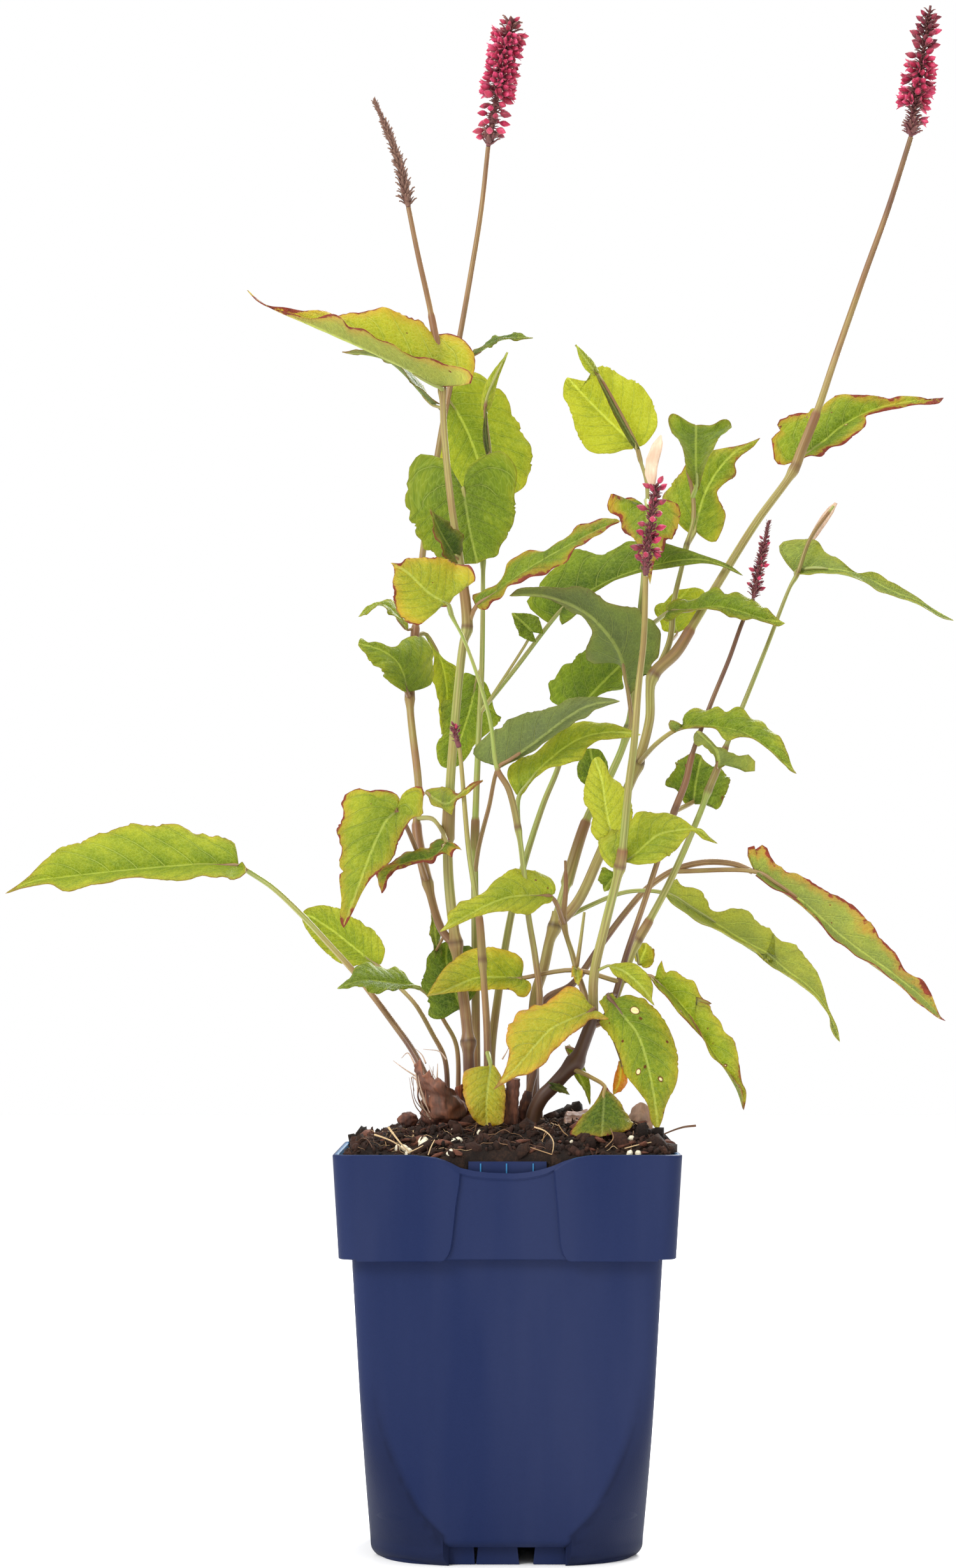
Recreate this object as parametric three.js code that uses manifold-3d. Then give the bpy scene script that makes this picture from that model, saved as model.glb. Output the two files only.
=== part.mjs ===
// A mountain fleece (Persicaria amplexicaulis) in its square blue nursery pot.
// Millimetres, +Z up. The origin is the middle of the pot's base, on the pad that it stands on.
import * as THREE from "three";
import { mergeVertices } from "three/addons/utils/BufferGeometryUtils.js";
import Module from "manifold-3d";

const wasm = await Module();
wasm.setup();

// Driving dimensions of the pot.
const POT_HEIGHT = 178;
const RIM_WIDTH = 150;
const COLLAR_HEIGHT = 45;
const COLLAR_FOOT_WIDTH = 145;
const BODY_TOP_WIDTH = 134;
const BASE_WIDTH = 118;
const WALL = 1.8;
const COLLAR_WALL = 2.9;
const RIM_CORNER = 8;
const BASE_CORNER = 35;
const SEAM_HEIGHT = 24;
const FLOOR_HEIGHT = 8;
const FLOOR_THICKNESS = 2;
const NOTCH_WIDTH = 52;
const PANEL_RECESS = 1.3;
const SCOOP_DROP = 7.6;

// Driving dimensions of the plant and its soil.
const GAP = 0.35;
const SOCKET_ROOM = 0.9;
const SOIL_EDGE = 175;
const SOIL_MOUND = 13;
const FOOT_DEPTH = 9;
const BLADE = 0.75;
const GROWTH_SEED = 11;

// The front view that the plant's places are read in: columns and rows of a 1500 by 2460 picture,
// with the third number of a place its depth in mm, plus being away from the viewer.
const VIEW = { column: 750, horizon: 1573, distance: 1560.5, reach: 5466.7, x: -12.6, z: 243 };

function perPixel(depth) {
  return (VIEW.distance + depth) / VIEW.reach;
}

function seen([column, row, depth]) {
  const scale = perPixel(depth);
  const x = (column - VIEW.column) * scale + VIEW.x;
  return new THREE.Vector3(x, depth, VIEW.z - (row - VIEW.horizon) * scale);
}

// A small repeatable random source, so that the object is the same each time.
function seeded(seed) {
  let state = seed;
  return () => {
    state = (state * 1664525 + 1013904223) % 4294967296;
    return state / 4294967296;
  };
}

// Solids: a closed geometry in, a solid for joining and cutting out, and back.
function solid(geometry) {
  const bare = new THREE.BufferGeometry();
  bare.setAttribute("position", geometry.getAttribute("position").clone());
  bare.setIndex(geometry.index ? geometry.index.clone() : null);
  const merged = mergeVertices(bare, 1e-4);
  const vertProperties = new Float32Array(merged.attributes.position.array);
  const triVerts = new Uint32Array(merged.index.array);
  return new wasm.Manifold(new wasm.Mesh({ numProp: 3, vertProperties, triVerts }));
}

function biggestBody(made) {
  const bodies = made.decompose();
  return bodies.reduce((best, body) => (body.volume() > best.volume() ? body : best));
}

function geometryOf(made) {
  const mesh = made.getMesh();
  const geometry = new THREE.BufferGeometry();
  geometry.setAttribute("position", new THREE.BufferAttribute(mesh.vertProperties, 3));
  geometry.setIndex(new THREE.BufferAttribute(mesh.triVerts, 1));
  return geometry;
}

function joined(solids) {
  return solids.reduce((whole, piece) => whole.add(piece));
}

function reshape(geometry, place) {
  const position = geometry.getAttribute("position");
  const point = new THREE.Vector3();
  for (let i = 0; i < position.count; i += 1) {
    point.fromBufferAttribute(position, i);
    const moved = place(point.clone());
    position.setXYZ(i, moved.x, moved.y, moved.z);
  }
  return geometry;
}

function block(width, depth, height, x, y, z) {
  return solid(new THREE.BoxGeometry(width, depth, height).translate(x, y, z));
}

// A tube through a list of points, with its own radius at each one and closed ends.
function tube(points, radii, sides) {
  const steps = points.length - 1;
  const route = new THREE.CatmullRomCurve3(points, false, "centripetal");
  const stations = [];
  let across = new THREE.Vector3(1, 0.2, 0.1);
  for (let i = 0; i <= steps; i += 1) {
    const along = route.getTangent(i / steps);
    across = across.clone().addScaledVector(along, -across.dot(along)).normalize();
    stations.push({ point: points[i], across, up: across.clone().cross(along) });
  }
  const round = new THREE.CylinderGeometry(1, 1, steps, sides, steps);
  return solid(
    reshape(round, (p) => {
      const i = Math.round(p.y + steps / 2);
      const { point, across: side, up } = stations[i];
      return point.clone().addScaledVector(side, p.x * radii[i]).addScaledVector(up, p.z * radii[i]);
    }),
  );
}

// A square outline with round corners: the n-th of its points, counted from the front side's middle.
const SIDE_STEPS = 2;
const CORNER_STEPS = 3;
const OUTLINE_STEPS = 4 * (SIDE_STEPS + CORNER_STEPS);

function outlinePoint(step, half, corner) {
  const perSide = SIDE_STEPS + CORNER_STEPS;
  const quarter = Math.floor(step / perSide);
  const place = step % perSide;
  const flat = half - corner;
  const point = new THREE.Vector2(half, -flat + (2 * flat * Math.min(place, SIDE_STEPS)) / SIDE_STEPS);
  if (place > SIDE_STEPS) {
    const turn = ((place - SIDE_STEPS) / CORNER_STEPS) * (Math.PI / 2);
    point.set(flat + corner * Math.cos(turn), flat + corner * Math.sin(turn));
  }
  return point.rotateAround(new THREE.Vector2(), (quarter * Math.PI) / 2);
}

// A lathe profile of [half width, height, corner radius] turned along that outline instead of a circle.
function squareLathe(profile) {
  const flat = profile.map(([half, height]) => new THREE.Vector2(half, height));
  const turned = new THREE.LatheGeometry(flat, OUTLINE_STEPS);
  const position = turned.getAttribute("position");
  for (let i = 0; i < position.count; i += 1) {
    const step = Math.floor(i / profile.length) % OUTLINE_STEPS;
    const [half, height, corner] = profile[i % profile.length];
    const point = outlinePoint(step, half, Math.min(corner, half));
    position.setXYZ(i, point.x, point.y, height);
  }
  const made = solid(turned);
  if (made.volume() > 0) return made;
  turned.setIndex(Array.from(turned.index.array).reverse());
  return solid(turned);
}

const COLLAR_FOOT = POT_HEIGHT - COLLAR_HEIGHT;

function cornerAt(height) {
  const share = Math.min(height / COLLAR_FOOT, 1);
  return BASE_CORNER + (RIM_CORNER - BASE_CORNER) * Math.sqrt(share);
}

function bodyHalf(height) {
  return (BASE_WIDTH + ((BODY_TOP_WIDTH - BASE_WIDTH) * height) / COLLAR_FOOT) / 2;
}

// The inside of the pot, drawn in by an extra amount: the soil fills it.
function insideProfile(inset) {
  const floor = FLOOR_HEIGHT + FLOOR_THICKNESS + inset;
  const shoulder = COLLAR_FOOT + WALL + inset;
  const row = (half, height, corner) => [half - inset, height, Math.max(corner - inset, 2)];
  return [
    row(bodyHalf(floor) - WALL, floor, cornerAt(floor) - WALL),
    row(bodyHalf(75) - WALL, 75, cornerAt(75) - WALL),
    row(BODY_TOP_WIDTH / 2 - WALL, shoulder, RIM_CORNER),
    row(COLLAR_FOOT_WIDTH / 2 - COLLAR_WALL, shoulder + 3, RIM_CORNER - WALL),
  ];
}

function makePot() {
  const topInside = RIM_WIDTH / 2 - COLLAR_WALL;
  const heights = [0, 3, SEAM_HEIGHT, 75];
  const outside = heights.map((z) => [bodyHalf(z) - (z === 0 ? 1 : 0), z, cornerAt(z)]);
  outside.push([BODY_TOP_WIDTH / 2, COLLAR_FOOT, RIM_CORNER]);
  outside.push([COLLAR_FOOT_WIDTH / 2, COLLAR_FOOT, RIM_CORNER]);
  outside.push([RIM_WIDTH / 2, POT_HEIGHT, RIM_CORNER]);
  const inside = insideProfile(0).reverse();
  const shell = squareLathe([
    [0, 0, 0],
    ...outside,
    [topInside, POT_HEIGHT, RIM_CORNER - WALL],
    ...inside,
    [0, FLOOR_HEIGHT + FLOOR_THICKNESS, 0],
  ]);
  const trimmed = shell.subtract(underside()).subtract(frontPanel()).subtract(rimScoop());
  return trimmed.add(labelPocket()).add(baseRibs());
}

// The hollow below the floor, with a way out at the middle of each side, and five drain holes.
function underside() {
  const half = bodyHalf(0) - WALL - 4;
  const hollow = squareLathe([
    [0, -1, 0],
    [half, -1, BASE_CORNER - 4],
    [half, FLOOR_HEIGHT, BASE_CORNER - 4],
    [0, FLOOR_HEIGHT, 0],
  ]);
  const ways = [0, Math.PI / 2].map((turn) => {
    const way = new THREE.BoxGeometry(NOTCH_WIDTH, BASE_WIDTH + 20, FLOOR_HEIGHT + 1);
    return solid(way.rotateZ(turn).translate(0, 0, FLOOR_HEIGHT / 2 - 0.5));
  });
  const drains = [0, 1, 2, 3].map((k) => {
    const angle = Math.PI / 4 + (k * Math.PI) / 2;
    const drain = new THREE.CylinderGeometry(5, 5, 12, 8).rotateX(Math.PI / 2);
    return solid(drain.translate(36 * Math.cos(angle), 36 * Math.sin(angle), FLOOR_HEIGHT));
  });
  return joined([hollow, ...ways, ...drains]);
}

// The pad under the middle, a cross of ribs to the walls, and the feet seen through each notch.
function baseRibs() {
  const height = FLOOR_HEIGHT + 0.5;
  const pad = new THREE.CylinderGeometry(16, 16, height, 12).rotateX(Math.PI / 2).translate(0, 0, height / 2);
  const pieces = [solid(pad)];
  for (let k = 0; k < 4; k += 1) {
    const angle = (k * Math.PI) / 2;
    for (const [from, to] of [[-23.5, -12], [-10, 7], [14, 25]]) {
      const foot = new THREE.BoxGeometry(to - from, 4, height);
      foot.translate((from + to) / 2, -bodyHalf(0) + 7.5, height / 2);
      pieces.push(solid(foot.rotateZ(angle)));
    }
    const rib = new THREE.BoxGeometry(44, 2, height).translate(30, 0, height / 2);
    pieces.push(solid(rib.rotateZ(angle + Math.PI / 4)));
  }
  return joined(pieces);
}

// The recessed panel in the collar's front, with its round shoulders above and its flared foot.
function frontPanel() {
  const outline = new THREE.Shape();
  outline.moveTo(-17.5, COLLAR_FOOT - 2);
  outline.lineTo(-22, COLLAR_FOOT + 0.5);
  outline.quadraticCurveTo(-17, COLLAR_FOOT + 3, -17, COLLAR_FOOT + 10);
  outline.lineTo(-14.5, POT_HEIGHT - 8);
  outline.lineTo(-14.5, POT_HEIGHT + 2);
  outline.lineTo(26, POT_HEIGHT + 2);
  outline.lineTo(26, POT_HEIGHT - 8);
  outline.lineTo(28, COLLAR_FOOT + 10);
  outline.quadraticCurveTo(28, COLLAR_FOOT + 3, 32, COLLAR_FOOT + 0.5);
  outline.lineTo(28, COLLAR_FOOT - 2);
  const cut = new THREE.ExtrudeGeometry(outline, { depth: 20, bevelEnabled: false, curveSegments: 5 });
  cut.rotateX(Math.PI / 2).translate(-6, 0, 0);
  // The collar leans out as it rises, so the cut leans with it.
  const lean = (RIM_WIDTH - COLLAR_FOOT_WIDTH) / 2 / COLLAR_HEIGHT;
  const face = -COLLAR_FOOT_WIDTH / 2 + PANEL_RECESS;
  return solid(reshape(cut, (p) => p.setY(p.y + face - (p.z - COLLAR_FOOT) * lean)));
}

// The shallow scoop in the middle of the front rim.
function rimScoop() {
  const outline = new THREE.Shape();
  outline.moveTo(-39, POT_HEIGHT + 3);
  outline.lineTo(-36, POT_HEIGHT - 1);
  outline.bezierCurveTo(-26, POT_HEIGHT - 2, -24, POT_HEIGHT - SCOOP_DROP + 1, 1, POT_HEIGHT - SCOOP_DROP);
  outline.bezierCurveTo(20, POT_HEIGHT - SCOOP_DROP + 1, 22, POT_HEIGHT - 2, 30, POT_HEIGHT - 1);
  outline.lineTo(33, POT_HEIGHT + 3);
  const cut = new THREE.ExtrudeGeometry(outline, { depth: 8, bevelEnabled: false, curveSegments: 3 });
  return solid(cut.rotateX(Math.PI / 2).translate(0, -RIM_WIDTH / 2 + 5, 0));
}

// The label pocket that stands behind the scoop, with three upright ribs on its back.
function labelPocket() {
  const face = -RIM_WIDTH / 2 + COLLAR_WALL;
  const back = block(36, 1.4, 22, 0, face + 2.6, POT_HEIGHT - 14);
  const cheeks = [-17.3, 17.3].map((x) => block(1.4, 4.5, 22, x, face + 0.6, POT_HEIGHT - 14));
  const ribs = [-12.5, -1, 10.5].map((x) => block(0.8, 1.2, 21, x, face + 1.6, POT_HEIGHT - 14));
  const foot = block(36, 4.5, 1.4, 0, face + 0.6, POT_HEIGHT - 25);
  return joined([back, ...cheeks, ...ribs, foot]);
}

// Soil: the height of its surface over a place, before lumps.
function soilHeight(x, y) {
  const reach = Math.min(Math.max(Math.abs(x), Math.abs(y)) / (RIM_WIDTH / 2), 1);
  const rise = SOIL_MOUND * (1 - reach ** 3);
  const corner = 7 * Math.exp(-((x - 58) ** 2 + (y + 40) ** 2) / 400);
  return SOIL_EDGE + rise + corner + 1.2 * Math.sin(x / 7) * Math.cos(y / 6 + 1);
}

const SOIL_RINGS = [0.94, 0.76, 0.54, 0.3];

function makeSoil(footprints) {
  const draw = seeded(GROWTH_SEED);
  const profile = insideProfile(GAP);
  const topHalf = RIM_WIDTH / 2 - COLLAR_WALL - 1;
  const wallTop = [topHalf, SOIL_EDGE - 2, RIM_CORNER - 3];
  const rings = SOIL_RINGS.map((share) => [topHalf * share, SOIL_EDGE, 10 * share]);
  const floor = profile[0][1];
  const body = squareLathe([[0, floor, 0], ...profile, wallTop, ...rings, [0, SOIL_EDGE, 0]]);
  const lumps = new Map();
  const surface = reshape(geometryOf(body), (p) => {
    if (p.z < SOIL_EDGE - 0.5) return p;
    const key = p.x.toFixed(2) + p.y.toFixed(2);
    if (!lumps.has(key)) lumps.set(key, (draw() - 0.35) * 3.4);
    return p.setZ(soilHeight(p.x, p.y) + lumps.get(key));
  });
  const pocket = block(38.5, 9, 28, 0, -RIM_WIDTH / 2 + COLLAR_WALL + 0.5, POT_HEIGHT - 13.2);
  const filled = solid(surface).subtract(pocket);
  return biggestBody(footprints.reduce((left, foot) => left.subtract(foot), filled));
}

// Stems. Each route is listed upwards as [column, row, depth], with the radius at its foot and top in mm,
// the rows of its swollen joints, and its sheaths as [from row, to row].
const STEMS = {
  tall: {
    route: [
      [738, 1745, -6], [735, 1650, -7], [735, 1635, -7], [728, 1570, -5], [715, 1480, -5], [703, 1360, -10],
      [706, 1240, -16], [715, 1120, -19], [727, 1010, -20], [733, 985, -20], [722, 880, -20],
      [708, 790, -20], [697, 680, -18], [694, 612, -16], [690, 570, -16], [676, 490, -14], [656, 400, -12],
      [641, 326, -10],
    ],
    radius: [2.7, 1.1],
    joints: [1635, 1480, 985, 612],
    sheaths: [[612, 490], [1320, 1240], [985, 900]],
    rooted: true,
  },
  pink: {
    route: [
      [715, 1484, -5], [694, 1460, -4], [671, 1385, 2], [654, 1300, 10], [657, 1240, 16], [643, 1095, 26],
      [652, 985, 34], [664, 863, 40], [691, 687, 46], [722, 525, 50], [737, 440, 50], [755, 330, 50],
      [766, 231, 50],
    ],
    radius: [1.9, 1.1],
    joints: [1385, 1095],
    sheaths: [[1095, 985], [1385, 1290]],
  },
  rear: {
    route: [
      [748, 1740, 12], [747, 1690, 12], [746, 1500, 14], [745, 1330, 16], [750, 1180, 20], [756, 1050, 22],
      [758, 900, 24], [758, 880, 24], [763, 790, 26], [768, 714, 28], [762, 633, 28], [778, 590, 29],
      [796, 553, 30],
    ],
    radius: [2.2, 0.5],
    joints: [880],
    sheaths: [[1337, 1286], [714, 633]],
    rooted: true,
  },
  bud: {
    route: [
      [765, 1740, -17], [765, 1675, -18], [764, 1615, -19], [757, 1510, -22], [752, 1440, -24],
      [745, 1397, -26], [735, 1330, -28], [724, 1203, -30], [721, 1174, -30],
    ],
    radius: [1.8, 0.9],
    joints: [1510],
    sheaths: [[1510, 1440]],
    rooted: true,
  },
  yellow: {
    route: [
      [827, 1740, -10], [832, 1705, -11], [838, 1680, -12], [847, 1570, -18], [840, 1503, -22],
      [829, 1436, -26], [821, 1359, -30], [813, 1300, -33], [798, 1238, -36], [780, 1206, -38],
      [770, 1136, -40], [751, 1066, -42], [726, 999, -44], [708, 964, -44], [688, 905, -42],
    ],
    radius: [1.7, 0.6],
    joints: [1300, 964],
    sheaths: [[1300, 1206]],
    rooted: true,
  },
  pale: {
    route: [
      [775, 1740, 19], [770, 1668, 20], [783, 1551, 24], [802, 1436, 30], [823, 1353, 36],
      [853, 1260, 42], [874, 1209, 46], [892, 1150, 50],
    ],
    radius: [2.1, 1.2],
    joints: [],
    sheaths: [],
    rooted: true,
  },
  fork: {
    route: [
      [835, 1740, 2], [835, 1700, 2], [840, 1563, 4], [853, 1519, 5], [863, 1474, 6], [870, 1455, 6],
      [874, 1430, 6],
    ],
    radius: [2.7, 2.2],
    joints: [1455],
    sheaths: [],
    rooted: true,
  },
  inner: {
    route: [
      [870, 1452, 6], [885, 1400, 12], [923, 1280, 20], [958, 1216, 26], [985, 1145, 30], [1004, 962, 36],
      [1010, 900, 38], [1015, 760, 42], [1005, 723, 43], [999, 701, 43], [932, 577, 40], [903, 541, 38],
    ],
    radius: [2.2, 0.5],
    joints: [1145],
    sheaths: [[1385, 1290], [723, 600]],
  },
  outer: {
    route: [
      [874, 1452, 6], [907, 1414, 4], [940, 1344, 2], [975, 1260, 0], [1000, 1200, -2], [1019, 1130, -2],
      [1024, 1062, -2], [1061, 1023, 0], [1090, 976, 2], [1139, 895, 6], [1187, 819, 10], [1245, 738, 14],
      [1257, 708, 15], [1283, 643, 18], [1311, 560, 22], [1357, 429, 28], [1393, 329, 32], [1429, 216, 36],
    ],
    radius: [2.4, 1.2],
    joints: [1200, 1062, 738],
    sheaths: [[738, 650], [1062, 985]],
  },
  twig: {
    route: [
      [1024, 1066, -2], [1033, 1048, 0], [1051, 1005, 6], [1058, 941, 14], [1070, 889, 20], [1077, 857, 24],
      [1088, 812, 28], [1086, 770, 30], [1078, 736, 30],
    ],
    radius: [1.6, 0.6],
    joints: [857],
    sheaths: [[812, 740]],
  },
  rootstock: {
    route: [
      [837, 1750, -21], [850, 1722, -23], [866, 1706, -24], [894, 1675, -26], [903, 1666, -26],
      [922, 1620, -27], [931, 1596, -28],
    ],
    radius: [3.4, 2.7],
    joints: [1666],
    sheaths: [],
    rooted: true,
  },
  middle: {
    route: [
      [931, 1596, -28], [932, 1530, -33], [950, 1450, -38], [972, 1362, -44], [976, 1341, -46],
      [986, 1237, -52], [995, 1166, -55], [1002, 1076, -58], [1010, 1005, -60], [1013, 904, -62],
    ],
    radius: [2.2, 1.2],
    joints: [1362],
    sheaths: [[1362, 1330]],
  },
  right: {
    route: [
      [926, 1610, -27], [950, 1597, -24], [975, 1540, -20], [998, 1480, -16], [1015, 1451, -14],
      [1040, 1405, -12], [1061, 1362, -10], [1101, 1269, -8], [1111, 1241, -8], [1126, 1205, -8],
      [1144, 1159, -8], [1165, 1109, -6], [1204, 1012, -4], [1240, 920, -2], [1250, 903, 0],
      [1271, 846, 2], [1308, 794, 4],
    ],
    radius: [1.9, 0.6],
    joints: [1480, 1241, 903],
    sheaths: [[1241, 1170], [1480, 1440], [903, 800]],
  },
  thin: {
    route: [
      [928, 1608, -28], [952, 1597, -28], [966, 1558, -25], [982, 1500, -25], [1011, 1415, -26],
      [1058, 1273, -26], [1076, 1226, -26], [1086, 1184, -25], [1115, 1105, -22], [1144, 1034, -16],
      [1165, 976, -10], [1182, 940, -8],
    ],
    radius: [1.4, 0.9],
    joints: [1273],
    sheaths: [[1273, 1180]],
  },
  short: {
    route: [
      [921, 1614, -27], [922, 1581, -22], [904, 1519, -16], [898, 1497, -14], [885, 1450, -10],
      [888, 1391, -8], [887, 1350, -8],
    ],
    radius: [1.7, 0.6],
    joints: [1450],
    sheaths: [[1450, 1365]],
  },
  sprig: {
    route: [[904, 1524, -16], [911, 1476, -20], [917, 1431, -22]],
    radius: [1, 0.6],
    joints: [],
    sheaths: [],
  },
  farLeft: {
    route: [
      [684, 1745, 4], [668, 1690, 6], [646, 1646, 12], [617, 1605, 18], [585, 1562, 24], [554, 1523, 28],
      [514, 1479, 32], [474, 1436, 34], [427, 1392, 34], [388, 1366, 33],
    ],
    radius: [1.7, 1.2],
    joints: [],
    sheaths: [],
    rooted: true,
  },
  rearLeft: {
    route: [
      [702, 1740, 30], [698, 1662, 30], [678, 1621, 32], [652, 1576, 36], [630, 1552, 40], [606, 1528, 43],
    ],
    radius: [1.3, 1],
    joints: [],
    sheaths: [],
    rooted: true,
  },
  lowLeft: {
    route: [[718, 1745, 21], [716, 1640, 20], [697, 1602, 18], [671, 1560, 14], [658, 1550, 13]],
    radius: [1.2, 0.9],
    joints: [],
    sheaths: [],
    rooted: true,
  },
  arching: {
    route: [
      [845, 1740, 15], [840, 1700, 14], [854, 1571, 18], [897, 1545, 18], [942, 1484, 18], [982, 1431, 18],
      [1015, 1394, 18], [1056, 1366, 15], [1105, 1353, 8], [1154, 1356, 0], [1180, 1367, -5],
    ],
    radius: [1.8, 1.4],
    joints: [],
    sheaths: [],
    rooted: true,
  },
};

// Leaves. A rib runs from the blade's base to its tip. left and right reach from the rib to each margin
// where the blade is widest, as [columns, rows, depth], with the blade's upper side towards a viewer who
// stands at its base. A stalk lists the places that the leaf's stalk passes on its way from its stem.
const LEAVES = [
  { name: "topFold", on: "tall", at: 612, rib: [[692, 606, -20], [560, 548, -38], [387, 454, -46]],
    left: [4, -30, -17], right: [10, -74, 8], wave: 2.2 },
  { name: "topThin", on: "tall", at: 640, rib: [[680, 632, -8], [607, 562, 4], [537, 552, 12]],
    left: [2, 5, -9], right: [2, -7, 9], small: true },
  { name: "topNarrow", on: "pink", at: 575, rib: [[745, 552, 44], [786, 530, 38], [836, 530, 30]],
    left: [0, -7, 8], right: [0, 8, -8], small: true },
  { name: "topBroad", on: "pink", at: 640, rib: [[702, 618, 56], [752, 696, 66], [811, 769, 72]],
    left: [72, -34, 6], right: [-58, 40, 4], lobe: 11 },
  { name: "heart", on: "rear", at: 880, stalk: [[742, 830, 16]], rib: [[727, 768, 4], [737, 830, 8], [749, 884, 14]],
    left: [82, -22, 3], right: [-86, -18, 3], lobe: 18 },
  { name: "heartFold", on: "tall", at: 880, rib: [[712, 868, -25], [694, 838, -30], [675, 799, -34]],
    left: [-10, 14, -6], right: [24, -12, 6], small: true },
  { name: "goldTop", on: "yellow", at: 964, rib: [[701, 950, -48], [660, 925, -56], [614, 884, -62]],
    left: [-16, 44, 0], right: [34, -44, 2], lobe: 10 },
  { name: "leftArch", on: "pink", at: 985, rib: [[638, 984, 30], [602, 948, 22], [563, 967, 12]],
    left: [0, 7, -8], right: [0, -7, 8], small: true },
  { name: "leftDark", on: "pink", at: 1095, rib: [[638, 1086, 20], [598, 1052, 10], [564, 1003, 2]],
    left: [-10, 16, -10], right: [46, -38, 16] },
  { name: "leftStrip", on: "pink", at: 1000, rib: [[668, 992, 38], [698, 1052, 42], [690, 1150, 46]],
    left: [16, -4, 6], right: [-12, 6, -2] },
  { name: "behindBud", on: "rear", at: 1050, rib: [[750, 1062, 32], [730, 1130, 38], [704, 1204, 44]],
    left: [44, 8, 4], right: [-42, -8, 3], lobe: 8 },
  { name: "leftHeart", on: "pink", at: 1385, stalk: [[652, 1330, -18]],
    rib: [[622, 1273, -32], [588, 1350, -38], [539, 1454, -44]], left: [44, 16, 0], right: [-52, -30, 0], lobe: 12 },
  { name: "holed", on: "pink", at: 1283, stalk: [[682, 1287, -8]],
    rib: [[698, 1322, -25], [655, 1356, -24], [599, 1400, -20]], left: [6, 22, -8], right: [-6, -16, 8] },
  { name: "curl", on: "pink", at: 1255, rib: [[668, 1243, 2], [704, 1262, -27], [757, 1227, -37]],
    left: [2, -16, 4], right: [0, 18, -4], small: true },
  { name: "greyUnder", on: "rear", at: 1370, stalk: [[751, 1330, 8], [767, 1267, -8]],
    rib: [[785, 1203, -26], [862, 1146, -30], [970, 1100, -36]], left: [12, 14, -6], right: [-18, -40, 6] },
  { name: "lime", on: "yellow", at: 1300, rib: [[813, 1248, -26], [895, 1170, -22], [1004, 1155, -28]],
    left: [-12, -26, 8], right: [16, 42, -4], lobe: 9 },
  { name: "brightRear", on: "pale", at: 1150, rib: [[905, 1118, 53], [945, 1078, 56], [1008, 1012, 58]],
    left: [-46, -32, 4], right: [34, 30, 4], lobe: 9 },
  { name: "greyArch", on: "inner", at: 1150, stalk: [[990, 1138, 27]],
    rib: [[986, 1090, 22], [926, 972, 0], [801, 935, -24]], left: [46, -44, -4], right: [-30, 34, 6], lobe: 9 },
  { name: "netted", on: "rear", at: 1118, stalk: [[800, 1060, 20]],
    rib: [[888, 948, 14], [1010, 886, 6], [1166, 903, -4]], left: [-16, -54, 8], right: [6, 16, -14], lobe: 13 },
  { name: "nettedSmall", on: "rear", at: 1122, rib: [[836, 992, 10], [822, 978, 8], [803, 962, 6]],
    left: [-12, 14, 0], right: [16, -16, 0], small: true },
  { name: "redEdged", on: "tall", at: 985, rib: [[747, 952, -23], [850, 880, -34], [972, 818, -40]],
    left: [-14, -22, 10], right: [12, 16, -10], wave: 2 },
  { name: "spikeHeart", on: "inner", at: 785, rib: [[1014, 796, 2], [1016, 850, -8], [1024, 916, -14]],
    left: [42, -14, -2], right: [-44, -14, -2], lobe: 9 },
  { name: "roundTop", on: "inner", at: 716, rib: [[993, 700, 50], [944, 650, 50], [888, 590, 46]],
    left: [-36, 48, 0], right: [48, -42, 0], lobe: 9 },
  { name: "lowLime", on: "short", at: 1450, rib: [[865, 1405, -26], [790, 1412, -40], [691, 1462, -46]],
    left: [0, 22, -5], right: [0, -40, 4], lobe: 6 },
  { name: "goldLow", on: "thin", at: 1540, stalk: [[900, 1522, -20]],
    rib: [[818, 1534, -14], [745, 1534, -13], [671, 1562, -14]], left: [2, 22, -1], right: [4, -44, 1], lobe: 6 },
  { name: "upright", on: "middle", at: 1362, rib: [[962, 1318, -38], [952, 1255, -34], [935, 1190, -30]],
    left: [-34, 8, 2], right: [36, -2, 2], lobe: 7 },
  { name: "uprightDark", on: "inner", at: 1240, rib: [[938, 1240, 30], [932, 1205, 32], [918, 1170, 34]],
    left: [-24, 4, 1], right: [24, -2, 1], small: true },
  { name: "besideUpright", on: "middle", at: 1366, rib: [[974, 1352, -44], [1040, 1314, -42], [1124, 1322, -42]],
    left: [-6, -38, 5], right: [8, 32, -5], lobe: 8 },
  { name: "darkUnder", on: "middle", at: 1376, rib: [[970, 1372, -34], [958, 1388, -30], [945, 1408, -26]],
    left: [20, 12, 2], right: [-16, -14, 2], small: true },
  { name: "highRight", on: "outer", at: 738, rib: [[1250, 712, 26], [1355, 654, 32], [1480, 624, 22]],
    left: [-22, -42, 5], right: [16, 28, -6], lobe: 11 },
  { name: "farRight", on: "right", at: 903, rib: [[1252, 898, 4], [1366, 900, -10], [1497, 974, -26]],
    left: [-6, 8, -14], right: [6, -40, 8], lobe: 7 },
  { name: "rightArch", on: "outer", at: 1200, stalk: [[1032, 1165, -22]],
    rib: [[1060, 1145, -32], [1155, 1138, -41], [1248, 1213, -50]], left: [2, -26, 5], right: [-4, 14, -14] },
  { name: "paleFold", on: "right", at: 1205, rib: [[1126, 1202, -14], [1130, 1185, -26], [1136, 1168, -42]],
    left: [46, 4, 4], right: [-30, -22, 4], small: true },
  { name: "darkHoled", on: "thin", at: 1273, rib: [[1072, 1260, 2], [1078, 1225, 6], [1085, 1187, 10]],
    left: [-42, -8, 0], right: [44, -2, 0], lobe: 5 },
  { name: "waistRight", on: "inner", at: 990, stalk: [[1024, 978, 22]],
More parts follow.
